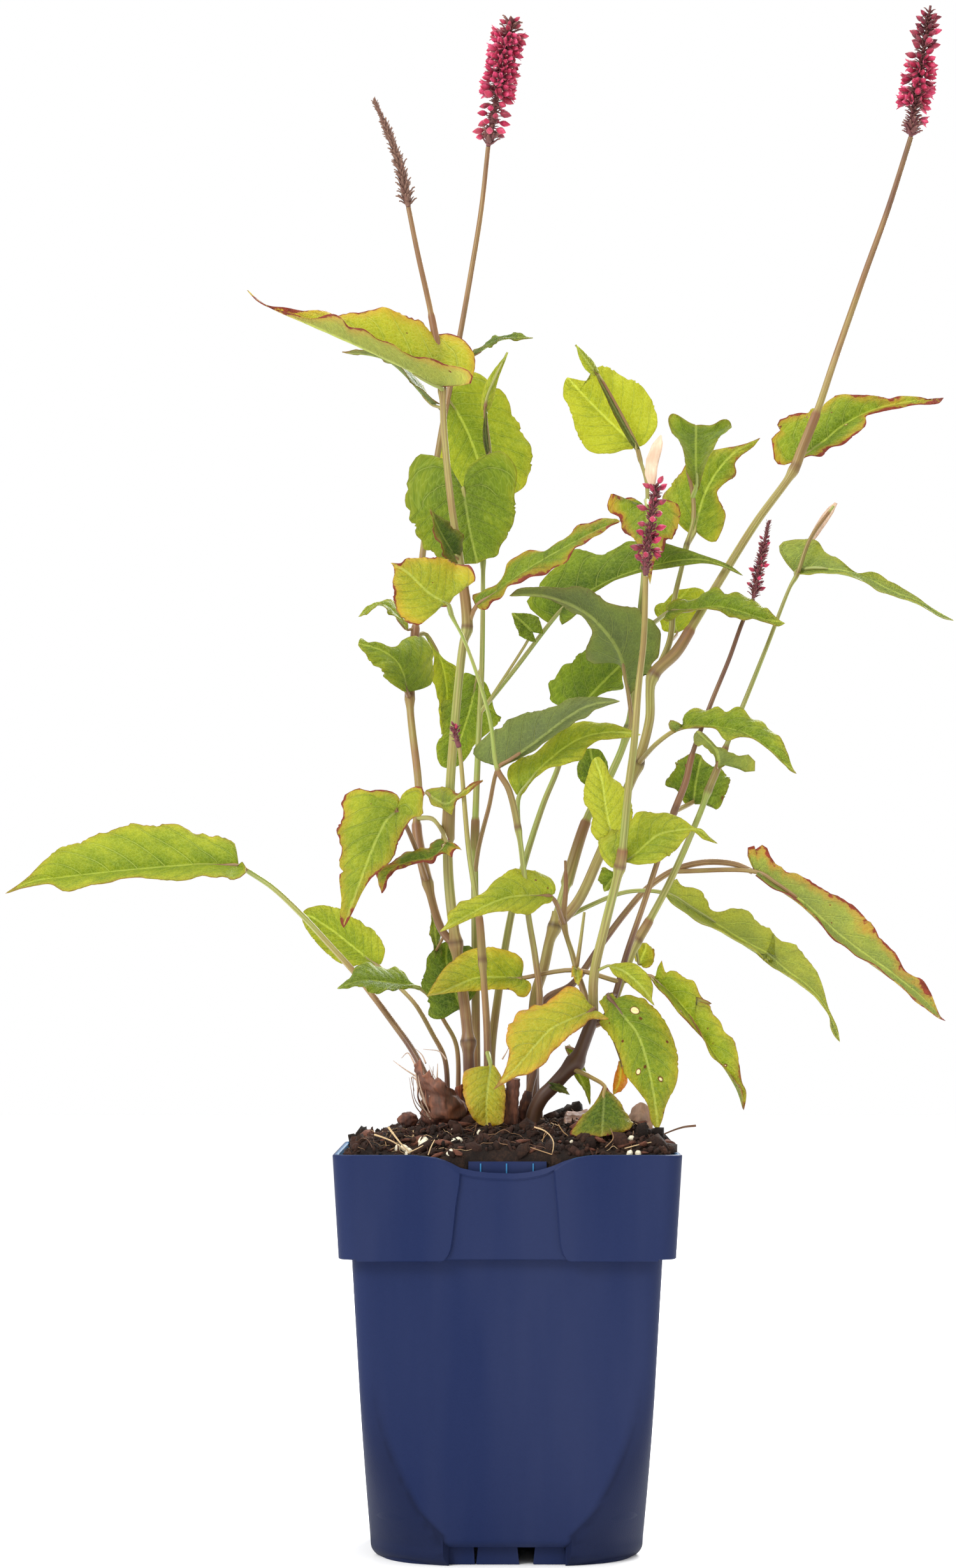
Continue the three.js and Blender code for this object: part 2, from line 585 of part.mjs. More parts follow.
    rib: [[1054, 958, 2], [1134, 948, -14], [1230, 976, -30]], left: [0, -24, 5], right: [0, 18, -10], lobe: 5 },
  { name: "roundRear", on: "twig", at: 1010, rib: [[1062, 994, 24], [1056, 958, 30], [1046, 920, 34]],
    left: [-32, -4, 0], right: [38, 4, 0], small: true },
  { name: "winged", on: "twig", at: 780, rib: [[1094, 762, 26], [1092, 726, 6], [1092, 716, -20]],
    left: [46, -44, 0], right: [-38, -50, 0], wave: 1 },
  { name: "lobedRear", on: "twig", at: 857, rib: [[1090, 832, 36], [1118, 768, 40], [1190, 689, 42]],
    left: [-54, -26, 2], right: [40, 26, 2], lobe: 8, wave: 2.4 },
  { name: "darkLow", on: "tall", at: 1600, rib: [[728, 1590, 4], [708, 1540, 6], [694, 1480, 6]],
    left: [-44, 6, 0], right: [42, -4, 0], lobe: 5 },
  { name: "lowLeft", on: "lowLeft", at: 1550, rib: [[650, 1546, 12], [590, 1537, 5], [530, 1551, -2]],
    left: [3, 17, -11], right: [0, -24, 11] },
  { name: "rearLeft", on: "rearLeft", at: 1530, rib: [[592, 1514, 44], [540, 1474, 50], [479, 1436, 54]],
    left: [-22, 30, 2], right: [24, -30, 2], lobe: 7 },
  { name: "farLeft", on: "farLeft", at: 1368, rib: [[374, 1358, 32], [205, 1362, 46], [3, 1403, 62]],
    left: [0, 20, -20], right: [4, -60, 10], lobe: 9 },
  { name: "soilOval", on: "bud", at: 1650, rib: [[770, 1670, -28], [764, 1716, -35], [762, 1764, -34]],
    left: [28, -4, 0], right: [-36, -4, 0], lobe: 4 },
  { name: "goldFront", on: "rootstock", at: 1600, rib: [[933, 1583, -38], [868, 1606, -48], [777, 1707, -54]],
    left: [24, 32, -5], right: [-28, -38, 4], lobe: 11, wave: 2 },
  { name: "spotted", on: "thin", at: 1560, rib: [[954, 1562, -34], [1006, 1640, -46], [1035, 1768, -50]],
    left: [48, -22, 3], right: [-38, 22, 3], lobe: 9, wave: 1.4 },
  { name: "lowSmall", on: "middle", at: 1525, rib: [[956, 1515, -38], [992, 1534, -42], [1027, 1577, -42]],
    left: [14, -20, 0], right: [-12, 18, 0], small: true },
  { name: "lowHoled", on: "right", at: 1482, rib: [[1004, 1512, -9], [1012, 1496, -7], [1019, 1480, -5]],
    left: [-14, -4, 0], right: [14, 2, 0], small: true },
  { name: "hanging", on: "right", at: 1540, rib: [[1020, 1532, -24], [1098, 1600, -46], [1167, 1740, -60]],
    left: [24, -22, -2], right: [-12, 12, -12], lobe: 7 },
  { name: "rightKeel", on: "fork", at: 1450, stalk: [[921, 1423, 8], [985, 1399, 8]],
    rib: [[1044, 1403, 7], [1190, 1492, -2], [1317, 1633, -14]], left: [16, -38, 8], right: [-4, 8, -15], lobe: 8 },
  { name: "farKeel", on: "arching", at: 1367, rib: [[1188, 1370, -8], [1330, 1484, -22], [1481, 1600, -42]],
    left: [18, -34, 6], right: [-4, 8, -15], lobe: 10 },
  { name: "dryOrange", on: "right", at: 1597, rib: [[972, 1664, -18], [974, 1690, -15], [965, 1717, -12]],
    left: [10, 0, 2], right: [-9, 0, 2], small: true },
  { name: "draped", on: "rootstock", at: 1675, stalk: [[928, 1690, -36]],
    rib: [[946, 1706, -46], [945, 1742, -54], [944, 1774, -60]], left: [42, 34, 0], right: [-42, 30, 0], wave: 1 },
  { name: "darkDrop", on: "rootstock", at: 1650, rib: [[890, 1645, -16], [912, 1690, -12], [925, 1732, -12]],
    left: [9, -6, 0], right: [-9, 6, 0], small: true },
  { name: "tinyLow", on: "rootstock", at: 1700, rib: [[868, 1704, -31], [880, 1708, -36], [893, 1717, -40]],
    left: [3, -6, 0], right: [-3, 6, 0], small: true },
  { name: "yellowBit", on: "short", at: 1519, rib: [[905, 1522, -22], [906, 1532, -26], [907, 1546, -28]],
    left: [9, 0, 0], right: [-9, 0, 0], small: true },
  { name: "blade", on: "pink", at: 1465, rib: [[686, 1490, 4], [682, 1452, 10], [679, 1412, 14]],
    left: [-8, 0, 0], right: [8, 0, 2], small: true },
];

// What grows on what: each node is one body of stems that branch from each other, with their leaves.
const BODIES = {
  stem_left_pair: { stems: ["tall", "pink"], colour: "#8fa648" },
  stem_rear: { stems: ["rear"], colour: "#86b02f" },
  stem_small_bud: { stems: ["bud"], colour: "#a9a25a" },
  stem_gold_leaf: { stems: ["yellow"], colour: "#b3c13a" },
  leaf_pale_stalk: { stems: ["pale"], colour: "#8fc02a" },
  stem_fork: { stems: ["fork", "inner", "outer", "twig"], colour: "#93b53a" },
  stem_rootstock: { stems: ["rootstock", "middle", "right", "thin", "short", "sprig"], colour: "#a0b03c" },
  leaf_far_left: { stems: ["farLeft"], colour: "#8bb534" },
  leaf_rear_left: { stems: ["rearLeft"], colour: "#9cc23c" },
  leaf_low_left: { stems: ["lowLeft"], colour: "#5f8f2e" },
  leaf_arching_right: { stems: ["arching"], colour: "#7a9a55" },
};

const WIDEST = 0.3;
const LONG_LEAF = 50;
const LONG_STATIONS = [0, 0.06, 0.17, 0.34, 0.55, 0.78, 1];
const SHORT_STATIONS = [0, 0.1, 0.3, 0.62, 1];
const SMALL_STATIONS = [0, 0.3, 0.65, 1];
const LOBE_SHARE = 0.35;
const TIP_WIDTH = 0.05;
const BASE_SHARE = 0.42;

function widthShare(u) {
  if (u < WIDEST) return BASE_SHARE + (1 - BASE_SHARE) * Math.sin((Math.PI / 2) * (u / WIDEST)) ** 0.6;
  const x = (u - WIDEST) / (1 - WIDEST);
  return Math.max((1 - x * x) * (1 - 0.3 * x), TIP_WIDTH);
}

function offsetOf([columns, rows, depth], scale) {
  return new THREE.Vector3(columns * scale, depth, -rows * scale);
}

// A leaf's form: any point of its middle surface from u, along the rib, and v, from margin to margin.
function leafForm(leaf, index) {
  const rib = new THREE.CatmullRomCurve3(leaf.rib.map(seen), false, "centripetal");
  const scale = perPixel(leaf.rib[1][2]);
  const along = rib.getTangent(WIDEST);
  const sides = [leaf.left, leaf.right].map((side) => {
    const reach = offsetOf(side, scale);
    return reach.addScaledVector(along, -0.7 * reach.dot(along));
  });
  const facing = sides[1].clone().sub(sides[0]).cross(along).normalize();
  const lobe = leaf.lobe ?? 4;
  const wave = leaf.wave ?? 1.3;
  const back = rib.getTangent(0).negate();
  return (u, v) => {
    const turn = new THREE.Quaternion().setFromUnitVectors(along, rib.getTangent(u));
    const spread = Math.abs(v);
    const share = widthShare(u);
    const point = rib.getPoint(u);
    const reach = sides[v < 0 ? 0 : 1].clone().applyQuaternion(turn);
    point.addScaledVector(reach, spread * share);
    const fade = Math.max(1 - u / LOBE_SHARE, 0) ** 2;
    point.addScaledVector(back, lobe * fade * spread);
    const lift = wave * spread * spread * Math.sin(2 * Math.PI * 2.3 * u + index * 1.7 + (v < 0 ? 0 : 2.1));
    const bend = lift * Math.min(share * 1.4, 1);
    return point.addScaledVector(facing.clone().applyQuaternion(turn), bend);
  };
}

function leafNormal(form, u, v) {
  const e = 0.02;
  const across = form(u, Math.min(v + e, 1)).sub(form(u, Math.max(v - e, -1)));
  const along = form(Math.min(u + e, 1), v).sub(form(Math.max(u - e, 0), v));
  return across.cross(along).normalize();
}

function stationsFor(leaf) {
  const [base, middle, tip] = leaf.rib.map(seen);
  return base.distanceTo(middle) + middle.distanceTo(tip) > LONG_LEAF ? LONG_STATIONS : SHORT_STATIONS;
}

// A blade: one grid for its upper side, the same grid turned over below it, and a rim between them.
function makeBlade(leaf, index) {
  const form = leafForm(leaf, index);
  const stations = leaf.small ? SMALL_STATIONS : stationsFor(leaf);
  const across = 2;
  const along = stations.length - 1;
  const sheet = new THREE.PlaneGeometry(2, along, across, along);
  const grid = sheet.getAttribute("position");
  const count = grid.count;
  const places = new Float32Array(count * 6);
  for (let i = 0; i < count; i += 1) {
    const row = Math.round(grid.getY(i) + along / 2);
    const v = grid.getX(i);
    const nick = Math.abs(v) > 0.9 && row % 2 === 1 && row < along ? 0.95 : 1;
    const point = form(stations[row], v * nick);
    const half = leafNormal(form, stations[row], v * nick).multiplyScalar(BLADE / 2);
    point.clone().add(half).toArray(places, i * 3);
    point.clone().sub(half).toArray(places, (count + i) * 3);
  }
  const upper = Array.from(sheet.index.array);
  const lower = upper.map((_, k) => upper[k - (k % 3) + 2 - (k % 3)] + count);
  const faces = [...upper, ...lower];
  const edge = borderOf(across, along);
  edge.forEach((a, k) => {
    const b = edge[(k + 1) % edge.length];
    faces.push(a, a + count, b + count, a, b + count, b);
  });
  const made = new THREE.BufferGeometry();
  made.setAttribute("position", new THREE.BufferAttribute(places, 3));
  made.setIndex(faces);
  return solid(made);
}

// The border of a grid whose first row is its top one, anticlockwise.
function borderOf(across, along) {
  const at = (row, column) => row * (across + 1) + column;
  const border = [];
  for (let c = 0; c < across; c += 1) border.push(at(along, c));
  for (let r = along; r > 0; r -= 1) border.push(at(r, across));
  for (let c = across; c > 0; c -= 1) border.push(at(0, c));
  for (let r = 0; r < along; r += 1) border.push(at(r, 0));
  return border;
}

// The place on a stem at a row of the view.
function onStem(stem, row) {
  const { route } = STEMS[stem];
  for (let i = 1; i < route.length; i += 1) {
    const [low, high] = [route[i - 1], route[i]];
    if (row <= low[1] && row >= high[1]) {
      const share = (low[1] - row) / (low[1] - high[1]);
      return low.map((value, k) => value + share * (high[k] - value));
    }
  }
  return route[route.length - 1];
}

// A leaf's stalk, from inside its stem to a little way along its rib, on the blade's under side.
function makeStalk(leaf, index) {
  const form = leafForm(leaf, index);
  const start = seen(onStem(leaf.on, leaf.at));
  const between = (leaf.stalk ?? []).map(seen);
  const thick = leaf.small ? 0.7 : 1.15;
  const under = (u, drop) => form(u, 0).addScaledVector(leafNormal(form, u, 0), -drop);
  const points = [start, ...between, under(0, 0), under(0.08, 0)];
  const radii = points.map((_, i) => thick * (1 - (0.3 * i) / (points.length - 1)));
  radii[radii.length - 1] = BLADE * 0.4;
  return tube(points, radii, 3);
}

// A sheath is a papery sleeve that hugs the stem between two rows and ends in a lip.
const SHEATH_SWELL = 1.4;
const LIP_ROWS = 3;

function sheathed(stem, row) {
  return STEMS[stem].sheaths.some(([from, to]) => row <= from && row >= to);
}

function stemRadius(stem, row) {
  const { route, radius, joints } = STEMS[stem];
  const share = (route[0][1] - row) / (route[0][1] - route[route.length - 1][1]);
  const plain = radius[0] + (radius[1] - radius[0]) * share;
  if (joints.includes(row)) return plain * 1.5;
  return sheathed(stem, row) ? plain * SHEATH_SWELL + 0.2 : plain;
}

// The rows where a stem's thickness is set: its route's places, its joints and the ends of its sheaths.
function stemRows(stem) {
  const { route, joints, sheaths } = STEMS[stem];
  const rows = route.map(([, row]) => ({ row, needed: joints.includes(row) }));
  sheaths.forEach(([from, to]) => {
    [from + LIP_ROWS, from, to, to - LIP_ROWS].forEach((row) => rows.push({ row, needed: true }));
  });
  rows.sort((one, other) => other.row - one.row);
  return rows.filter(({ row }, i) => i === 0 || rows[i - 1].row - row > LIP_ROWS / 2);
}

// A rooted stem goes on down into its hole in the soil.
function footOf(stem) {
  const foot = seen(STEMS[stem].route[0]);
  foot.z = soilHeight(foot.x, foot.y) - FOOT_DEPTH;
  return foot;
}

function makeStem(stem) {
  const { rooted, radius } = STEMS[stem];
  const rows = stemRows(stem);
  const points = rows.map(({ row }) => seen(onStem(stem, row)));
  const radii = rows.map(({ row }) => stemRadius(stem, row));
  const needed = rows.map((entry) => entry.needed);
  if (rooted) {
    points.unshift(footOf(stem));
    radii.unshift(radii[0]);
    needed.unshift(false);
  }
  const kept = bendsOf(points, needed);
  return tube(kept.map((i) => points[i]), kept.map((i) => radii[i]), radius[0] > 2.6 ? 6 : 5);
}

// The points of a route that its shape needs: its ends, its joints with a place on each side, and bends.
const STRAIGHT_ENOUGH = 1.3;

function bendsOf(points, needed) {
  const kept = [0];
  for (let i = 1; i < points.length - 1; i += 1) {
    const from = points[kept[kept.length - 1]];
    const chord = new THREE.Line3(from, points[i + 1]);
    const off = chord.closestPointToPoint(points[i], true, new THREE.Vector3()).distanceTo(points[i]);
    if (off > STRAIGHT_ENOUGH || needed[i - 1] || needed[i] || needed[i + 1]) kept.push(i);
  }
  return [...kept, points.length - 1];
}

function makeBody(stems) {
  const pieces = [];
  stems.forEach((stem) => pieces.push(makeStem(stem)));
  LEAVES.forEach((leaf, index) => {
    if (!stems.includes(leaf.on)) return;
    pieces.push(makeBlade(leaf, index), makeStalk(leaf, index));
  });
  return joined(pieces);
}

// The space that a rooted stem needs in the soil or between the lumps of the crown.
function stemSocket(stem) {
  const { route } = STEMS[stem];
  const points = [footOf(stem), seen(route[0]), seen(route[1])];
  points[0].z -= GAP;
  const radii = [0, 0, 1].map((i) => stemRadius(stem, route[i][1]) * 1.1 + SOCKET_ROOM);
  return tube(points, radii, 6);
}

// The crown: woody lumps, two cut stumps and the papery leaf bases that wrap the stems' feet.
const CROWN_LUMPS = [
  [694, 1750, -3, 10, 9, 7], [738, 1756, -2, 15, 14, 6], [790, 1757, 1, 15, 13, 7],
];
const STUMPS = [
  [[800, 1762, -26], [806, 1692, -28], 3],
  [[790, 1762, 4], [796, 1708, 2], 2.6],
];
const PAPERY = [
  { rib: [[700, 1750, -16], [692, 1712, -20], [664, 1682, -24]], left: [-22, 8, 2], right: [24, -14, 2] },
  { rib: [[722, 1752, -16], [722, 1700, -20], [716, 1655, -18]], left: [-14, 0, 4], right: [10, 0, 2] },
];

function makeCrown(sockets) {
  const lumps = CROWN_LUMPS.map(([column, row, depth, wide, deep, tall]) => {
    const centre = seen([column, row, depth]);
    const ball = new THREE.IcosahedronGeometry(1, 1).scale(wide, deep, tall);
    return solid(ball.translate(centre.x, centre.y, centre.z));
  });
  const stumps = STUMPS.map(([low, high, radius]) => tube([low, high].map(seen), [radius * 1.2, radius], 7));
  const papery = PAPERY.map((leaf, i) => makeBlade({ ...leaf, lobe: 0, wave: 1.8, small: true }, i));
  const whole = joined([...lumps, ...stumps, ...papery]);
  return biggestBody(sockets.reduce((left, socket) => left.subtract(socket), whole));
}

// The crown's hollow in the soil: its lumps a little larger.
function crownSocket() {
  const lumps = CROWN_LUMPS.map(([column, row, depth, wide, deep, tall]) => {
    const centre = seen([column, row, depth]);
    const ball = new THREE.IcosahedronGeometry(1, 1).scale(wide + 0.5, deep + 0.5, tall + 0.5);
    return solid(ball.translate(centre.x, centre.y, centre.z));
  });
  const stumps = STUMPS.map(([low, high, radius]) => {
    const points = [low, high].map(seen);
    points[0].z -= 1;
    return tube(points, [radius * 1.2 + 0.8, radius + 0.8], 7);
  });
  return joined([...lumps, ...stumps]);
}

// Flower spikes. girth is the rachis radius; each band gives what covers a stretch of the spike:
// its share of the height, the kind of piece, how many, and the reach and size of each in mm.
const SPIKES = {
  spike_tall: {
    rib: [[641, 324.8, -10], [628, 262, -8], [608, 205, -6], [588, 160, -4]],
    girth: [1.6, 0.6],
    rings: 18,
    colour: "#7a5244",
    bands: [],
  },
  spike_pink: {
    rib: [[766, 229.8, 50], [778, 160, 50], [790, 95, 50], [803, 34, 50]],
    girth: [1.7, 0.9],
    rings: 10,
    colour: "#c8255a",
    bands: [
      { from: 0.1, to: 0.48, kind: "bud", count: 15, reach: 8.6, size: 2.9 },
      { from: 0.42, to: 0.93, kind: "star", count: 22, reach: 8.4, size: 3.3 },
      { from: 0.92, to: 1, kind: "bud", count: 5, reach: 4.5, size: 2.4 },
    ],
  },
  spike_right: {
    rib: [[1429, 214.8, 36], [1437, 150, 36], [1449, 80, 36], [1461, 4, 36]],
    girth: [1.5, 0.8],
    rings: 14,
    colour: "#b32450",
    bands: [
      { from: 0.3, to: 0.62, kind: "star", count: 10, reach: 8, size: 3 },
      { from: 0.34, to: 0.75, kind: "bud", count: 11, reach: 8, size: 2.6 },
      { from: 0.66, to: 0.98, kind: "bud", count: 11, reach: 4.8, size: 2.2 },
    ],
  },
  spike_middle: {
    rib: [[1013, 902.8, -62], [1016, 860, -62], [1023, 810, -62], [1030, 762, -62]],
    girth: [1.9, 1],
    rings: 14,
    colour: "#8c2440",
    bands: [
      { from: 0.2, to: 0.85, kind: "bud", count: 11, reach: 8, size: 2.7 },
      { from: 0.86, to: 1, kind: "bud", count: 4, reach: 8, size: 2.3 },
    ],
  },
  spike_small: {
    rib: [[1182, 938.8, -8], [1190, 900, -8], [1198, 860, -8], [1206, 820, -8]],
    girth: [1.3, 0.6],
    rings: 14,
    colour: "#7c2a3c",
    bands: [
      { from: 0.12, to: 0.9, kind: "bud", count: 10, reach: 4.6, size: 2 },
    ],
  },
  spike_bud: {
    rib: [[720.7, 1172.8, -30], [716, 1158, -30], [714, 1148, -30], [713, 1140, -30]],
    girth: [2, 1.1],
    rings: 5,
    colour: "#7a1f35",
    bands: [],
  },
};

const GOLDEN_TURN = Math.PI * (3 - Math.sqrt(5));

// One piece of a spike, with its foot at the origin and reaching out along +Y.
function floretShape(kind, reach, size) {
  if (kind === "star") return starShape(reach, size);
  const drop = new THREE.OctahedronGeometry(1).scale(size / 2, reach / 2, size / 2);
  // The widest part of a bud lies near its outer end.
  const shift = 0.22 * reach;
  return reshape(drop, (p) => p.setY(p.y + reach / 2 + (Math.abs(p.y) < 0.01 ? shift : 0)));
}

// An open floret: a bell with a mouth of four pointed petals.
function starShape(reach, size) {
  const star = new THREE.ConeGeometry(size, reach, 8).rotateX(Math.PI).translate(0, reach / 2, 0);
  return reshape(star, (p) => {
    const slot = Math.round((Math.atan2(p.z, p.x) / Math.PI) * 4);
    const edge = Math.hypot(p.x, p.z) > size * 0.9;
    if (!edge) return p.y > reach / 2 ? p.setY(p.y - size * 0.4) : p;
    const pull = Math.abs(slot) % 2 === 1 ? 0.45 : 1;
    return p.set(p.x * pull, p.y + (pull === 1 ? 0.2 : -0.1) * size, p.z * pull);
  });
}

// The rachis: a tube whose surface stands out in a spiral of scales.
const RACHIS_SIDES = 6;
const SCALE_RELIEF = 1.7;

function makeRachis(route, girth, rings) {
  const round = new THREE.CylinderGeometry(1, 1, rings, RACHIS_SIDES, rings);
  const world = new THREE.Vector3(0, 0, 1);
  return solid(
    reshape(round, (p) => {
      const ring = Math.round(p.y + rings / 2);
      const slot = Math.round((Math.atan2(p.z, p.x) / Math.PI) * (RACHIS_SIDES / 2)) + RACHIS_SIDES;
      const scale = (ring + 2 * slot) % 3 === 0 ? SCALE_RELIEF : 1;
      const share = ring / rings;
      const thick = girth[0] + (girth[1] - girth[0]) * share;
      const spin = new THREE.Quaternion().setFromUnitVectors(world, route.getTangent(share));
      const out = new THREE.Vector3(p.x, -p.z, 0).multiplyScalar(thick * scale).applyQuaternion(spin);
      return route.getPoint(share).add(out);
    }),
  );
}

function makeSpike({ rib, girth, rings, bands }, seed) {
  const draw = seeded(seed);
  const points = rib.map(seen);
  const route = new THREE.CatmullRomCurve3(points, false, "centripetal");
  const pieces = [makeRachis(route, girth, rings)];
  let turn = 0;
  bands.forEach(({ from, to, kind, count, reach, size }) => {
    for (let k = 0; k < count; k += 1) {
      turn += GOLDEN_TURN;
      const share = from + ((to - from) * (k + 0.5)) / count;
      pieces.push(makeFloret(route, girth, { share, turn, kind, reach, size, draw }));
    }
  });
  return joined(pieces);
}

// A floret stands out from the rachis with its foot sunk in it.
function makeFloret(route, girth, { share, turn, kind, reach, size, draw }) {
  const along = route.getTangent(share);
  const out = new THREE.Vector3(1, 0, 0).applyAxisAngle(new THREE.Vector3(0, 0, 1), turn);
  out.addScaledVector(along, -out.dot(along)).normalize();
  const tilt = (kind === "star" ? 0.15 : -0.15) + (draw() - 0.5) * 0.4;
  const way = out.clone().addScaledVector(along, tilt).normalize();
  const grown = 0.85 + 0.3 * draw();
  const foot = route.getPoint(share).addScaledVector(way, 0.3);
  const spin = new THREE.Quaternion().setFromUnitVectors(new THREE.Vector3(0, 1, 0), way);
  const shape = floretShape(kind, reach * grown, size * grown).applyQuaternion(spin);
  return solid(shape.translate(foot.x, foot.y, foot.z));
}

const root = new THREE.Group();

function addPart(name, made, colour, roughness) {
  const material = new THREE.MeshStandardMaterial({ color: colour, roughness, metalness: 0 });
  const mesh = new THREE.Mesh(geometryOf(made), material);
  mesh.name = name;
  root.add(mesh);
}

const rootedStems = Object.keys(STEMS).filter((stem) => STEMS[stem].rooted);
const sockets = rootedStems.map(stemSocket);
addPart("pot", makePot(), "#2f4474", 0.5);
addPart("soil", makeSoil([...sockets, crownSocket()]), "#33241b", 0.95);
addPart("crown", makeCrown(sockets), "#5e3a28", 0.85);
Object.entries(BODIES).forEach(([name, { stems, colour }]) => {
  addPart(name, makeBody(stems), colour, 0.6);
});
Object.entries(SPIKES).forEach(([name, spike], index) => {
  addPart(name, makeSpike(spike, GROWTH_SEED + index), spike.colour, 0.7);
});

export default root;
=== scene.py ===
# %% [markdown]
# A mountain fleece (Persicaria amplexicaulis) in a square blue nursery pot. The plant is a clump of
# thin jointed stems, leaves with a heart-shaped base and a long tip, and narrow flower spikes.
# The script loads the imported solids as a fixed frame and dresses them: each leaf, stem and floret is
# made again in fine detail at the place that its solid holds.

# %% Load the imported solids
import math
import random
from collections import namedtuple

import bmesh
import bpy
import numpy as np
from mathutils import Euler, Matrix, Vector, noise


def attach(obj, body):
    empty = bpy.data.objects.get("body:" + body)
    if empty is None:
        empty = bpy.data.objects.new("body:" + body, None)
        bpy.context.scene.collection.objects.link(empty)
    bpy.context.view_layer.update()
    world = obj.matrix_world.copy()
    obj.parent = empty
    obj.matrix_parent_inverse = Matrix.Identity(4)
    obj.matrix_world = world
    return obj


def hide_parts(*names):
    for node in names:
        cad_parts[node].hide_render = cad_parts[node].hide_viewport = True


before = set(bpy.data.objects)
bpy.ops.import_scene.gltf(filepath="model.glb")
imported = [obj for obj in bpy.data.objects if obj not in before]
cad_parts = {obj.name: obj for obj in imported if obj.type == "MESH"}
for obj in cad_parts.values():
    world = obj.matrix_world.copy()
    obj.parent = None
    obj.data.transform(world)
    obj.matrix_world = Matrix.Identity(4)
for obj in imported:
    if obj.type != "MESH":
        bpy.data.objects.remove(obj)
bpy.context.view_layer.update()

MM = 0.001  # Blender works in metres, and every size below is in millimetres
BODY = "root"

# %% [markdown]
# The plant was read off one photograph, so its places are written as columns and rows of that picture,
# which is 1500 by 2460, with a depth in mm behind the middle of the pot. One function turns such a place
# into millimetres. The camera uses the same numbers, so the render lines up with the photograph.

# %% The view and its camera
PICTURE_HEIGHT = 2460
MIDDLE_COLUMN = 750
HORIZON_ROW = 1573
VIEW_DISTANCE = 1560.5
VIEW_REACH = 5466.7  # the lens's focal length in pixels
VIEW_X = -12.6
VIEW_Z = 243
LENS = 80


def seen(place):
    """Turns (column, row, depth) into a point in mm."""
    column, row, depth = place
    scale = (VIEW_DISTANCE + depth) / VIEW_REACH
    x = (column - MIDDLE_COLUMN) * scale + VIEW_X
    return np.array([x, depth, VIEW_Z - (row - HORIZON_ROW) * scale])


def linked(name, data):
    """An object in the scene for a mesh, a camera or a light."""
    made = bpy.data.objects.new(name, data)
    bpy.context.scene.collection.objects.link(made)
    return made


camera_data = bpy.data.cameras.new("camera")
camera_data.lens = LENS
camera_data.shift_y = (HORIZON_ROW - PICTURE_HEIGHT / 2) / PICTURE_HEIGHT
camera = linked("camera", camera_data)
camera.location = (VIEW_X * MM, -VIEW_DISTANCE * MM, VIEW_Z * MM)
camera.rotation_euler = (math.pi / 2, 0, 0)
bpy.context.scene.camera = camera
print("camera shift:", round(camera_data.shift_y, 4))

# %% [markdown]
# Materials are node trees. One function turns a colour written as an sRGB hex code into the linear
# values that Blender mixes, and one small function adds a node with its settings, links and colour stops.
# The short functions after it add the few kinds of node that come back in most materials.


# %% Helpers for colours and nodes
def linear(code):
    """An sRGB hex colour as linear red, green, blue and alpha."""
    values = [int(code[i : i + 2], 16) / 255 for i in (1, 3, 5)]
    return tuple(v / 12.92 if v <= 0.04045 else ((v + 0.055) / 1.055) ** 2.4 for v in values) + (1.0,)


def node(tree, kind, settings=None, inputs=None, stops=None):
    """Adds a node. Inputs are values or sockets, by name or number, and stops fill a colour ramp."""
    made = tree.nodes.new(kind)
    for name, value in (settings or {}).items():
        setattr(made, name, value)
    for name, value in (inputs or {}).items():
        if isinstance(value, bpy.types.NodeSocket):
            tree.links.new(value, made.inputs[name])
        else:
            made.inputs[name].default_value = value
    for i, (place, code) in enumerate(stops or []):
        elements = made.color_ramp.elements
        stop = elements[i] if i < 2 else elements.new(place)
        stop.position = place
        stop.color = linear(code)
    return made


def material_tree(name):
    """An empty material and its tree."""
    made = bpy.data.materials.new(name)
    made.use_nodes = True
    made.node_tree.nodes.clear()
    return made, made.node_tree


def mixed(tree, factor, first, second, blend="MIX"):
    """A colour mix of two colours or sockets."""
    settings = {"data_type": "RGBA", "blend_type": blend}
    return node(tree, "ShaderNodeMix", settings, {0: factor, 6: first, 7: second}).outputs[2]


def arithmetic(operation):
    """Gives a function that adds one line of arithmetic between values or sockets."""

    def line(tree, first, second=0.0, third=0.0, clamp=False):
        settings = {"operation": operation, "use_clamp": clamp}
        return node(tree, "ShaderNodeMath", settings, {0: first, 1: second, 2: third}).outputs[0]

    return line


plus, minus, times = (arithmetic(word) for word in ("ADD", "SUBTRACT", "MULTIPLY"))
times_plus = arithmetic("MULTIPLY_ADD")  # the first times the second, plus the third
power, larger, size_of = (arithmetic(word) for word in ("POWER", "MAXIMUM", "ABSOLUTE"))


def stored(tree, name, output="Color"):
    """A value that the mesh carries under a name."""
    return node(tree, "ShaderNodeAttribute", {"attribute_name": name}).outputs[output]


def three_of(tree, colour):
    """The three numbers that a colour carries."""
    return list(node(tree, "ShaderNodeSeparateColor", {}, {0: colour}).outputs)


def object_place(tree):
    """The place on the object, in metres."""
    return node(tree, "ShaderNodeTexCoord").outputs["Object"]


def cloudy(tree, place, scale, detail=2.0, roughness=0.5):
    """Soft noise between 0 and 1."""
    inputs = {"Vector": place, "Scale": scale, "Detail": detail, "Roughness": roughness}
    return node(tree, "ShaderNodeTexNoise", {}, inputs).outputs["Fac"]


def drawn(tree, place, height):
    """A place with its height scaled, so that a pattern is drawn out along it."""
    return node(tree, "ShaderNodeMapping", {}, {"Vector": place, "Scale": (1.0, 1.0, height)}).outputs[0]


def ramp(tree, factor, *stops):
    """A colour ramp along a factor."""
    return node(tree, "ShaderNodeValToRGB", {}, {0: factor}, stops).outputs[0]


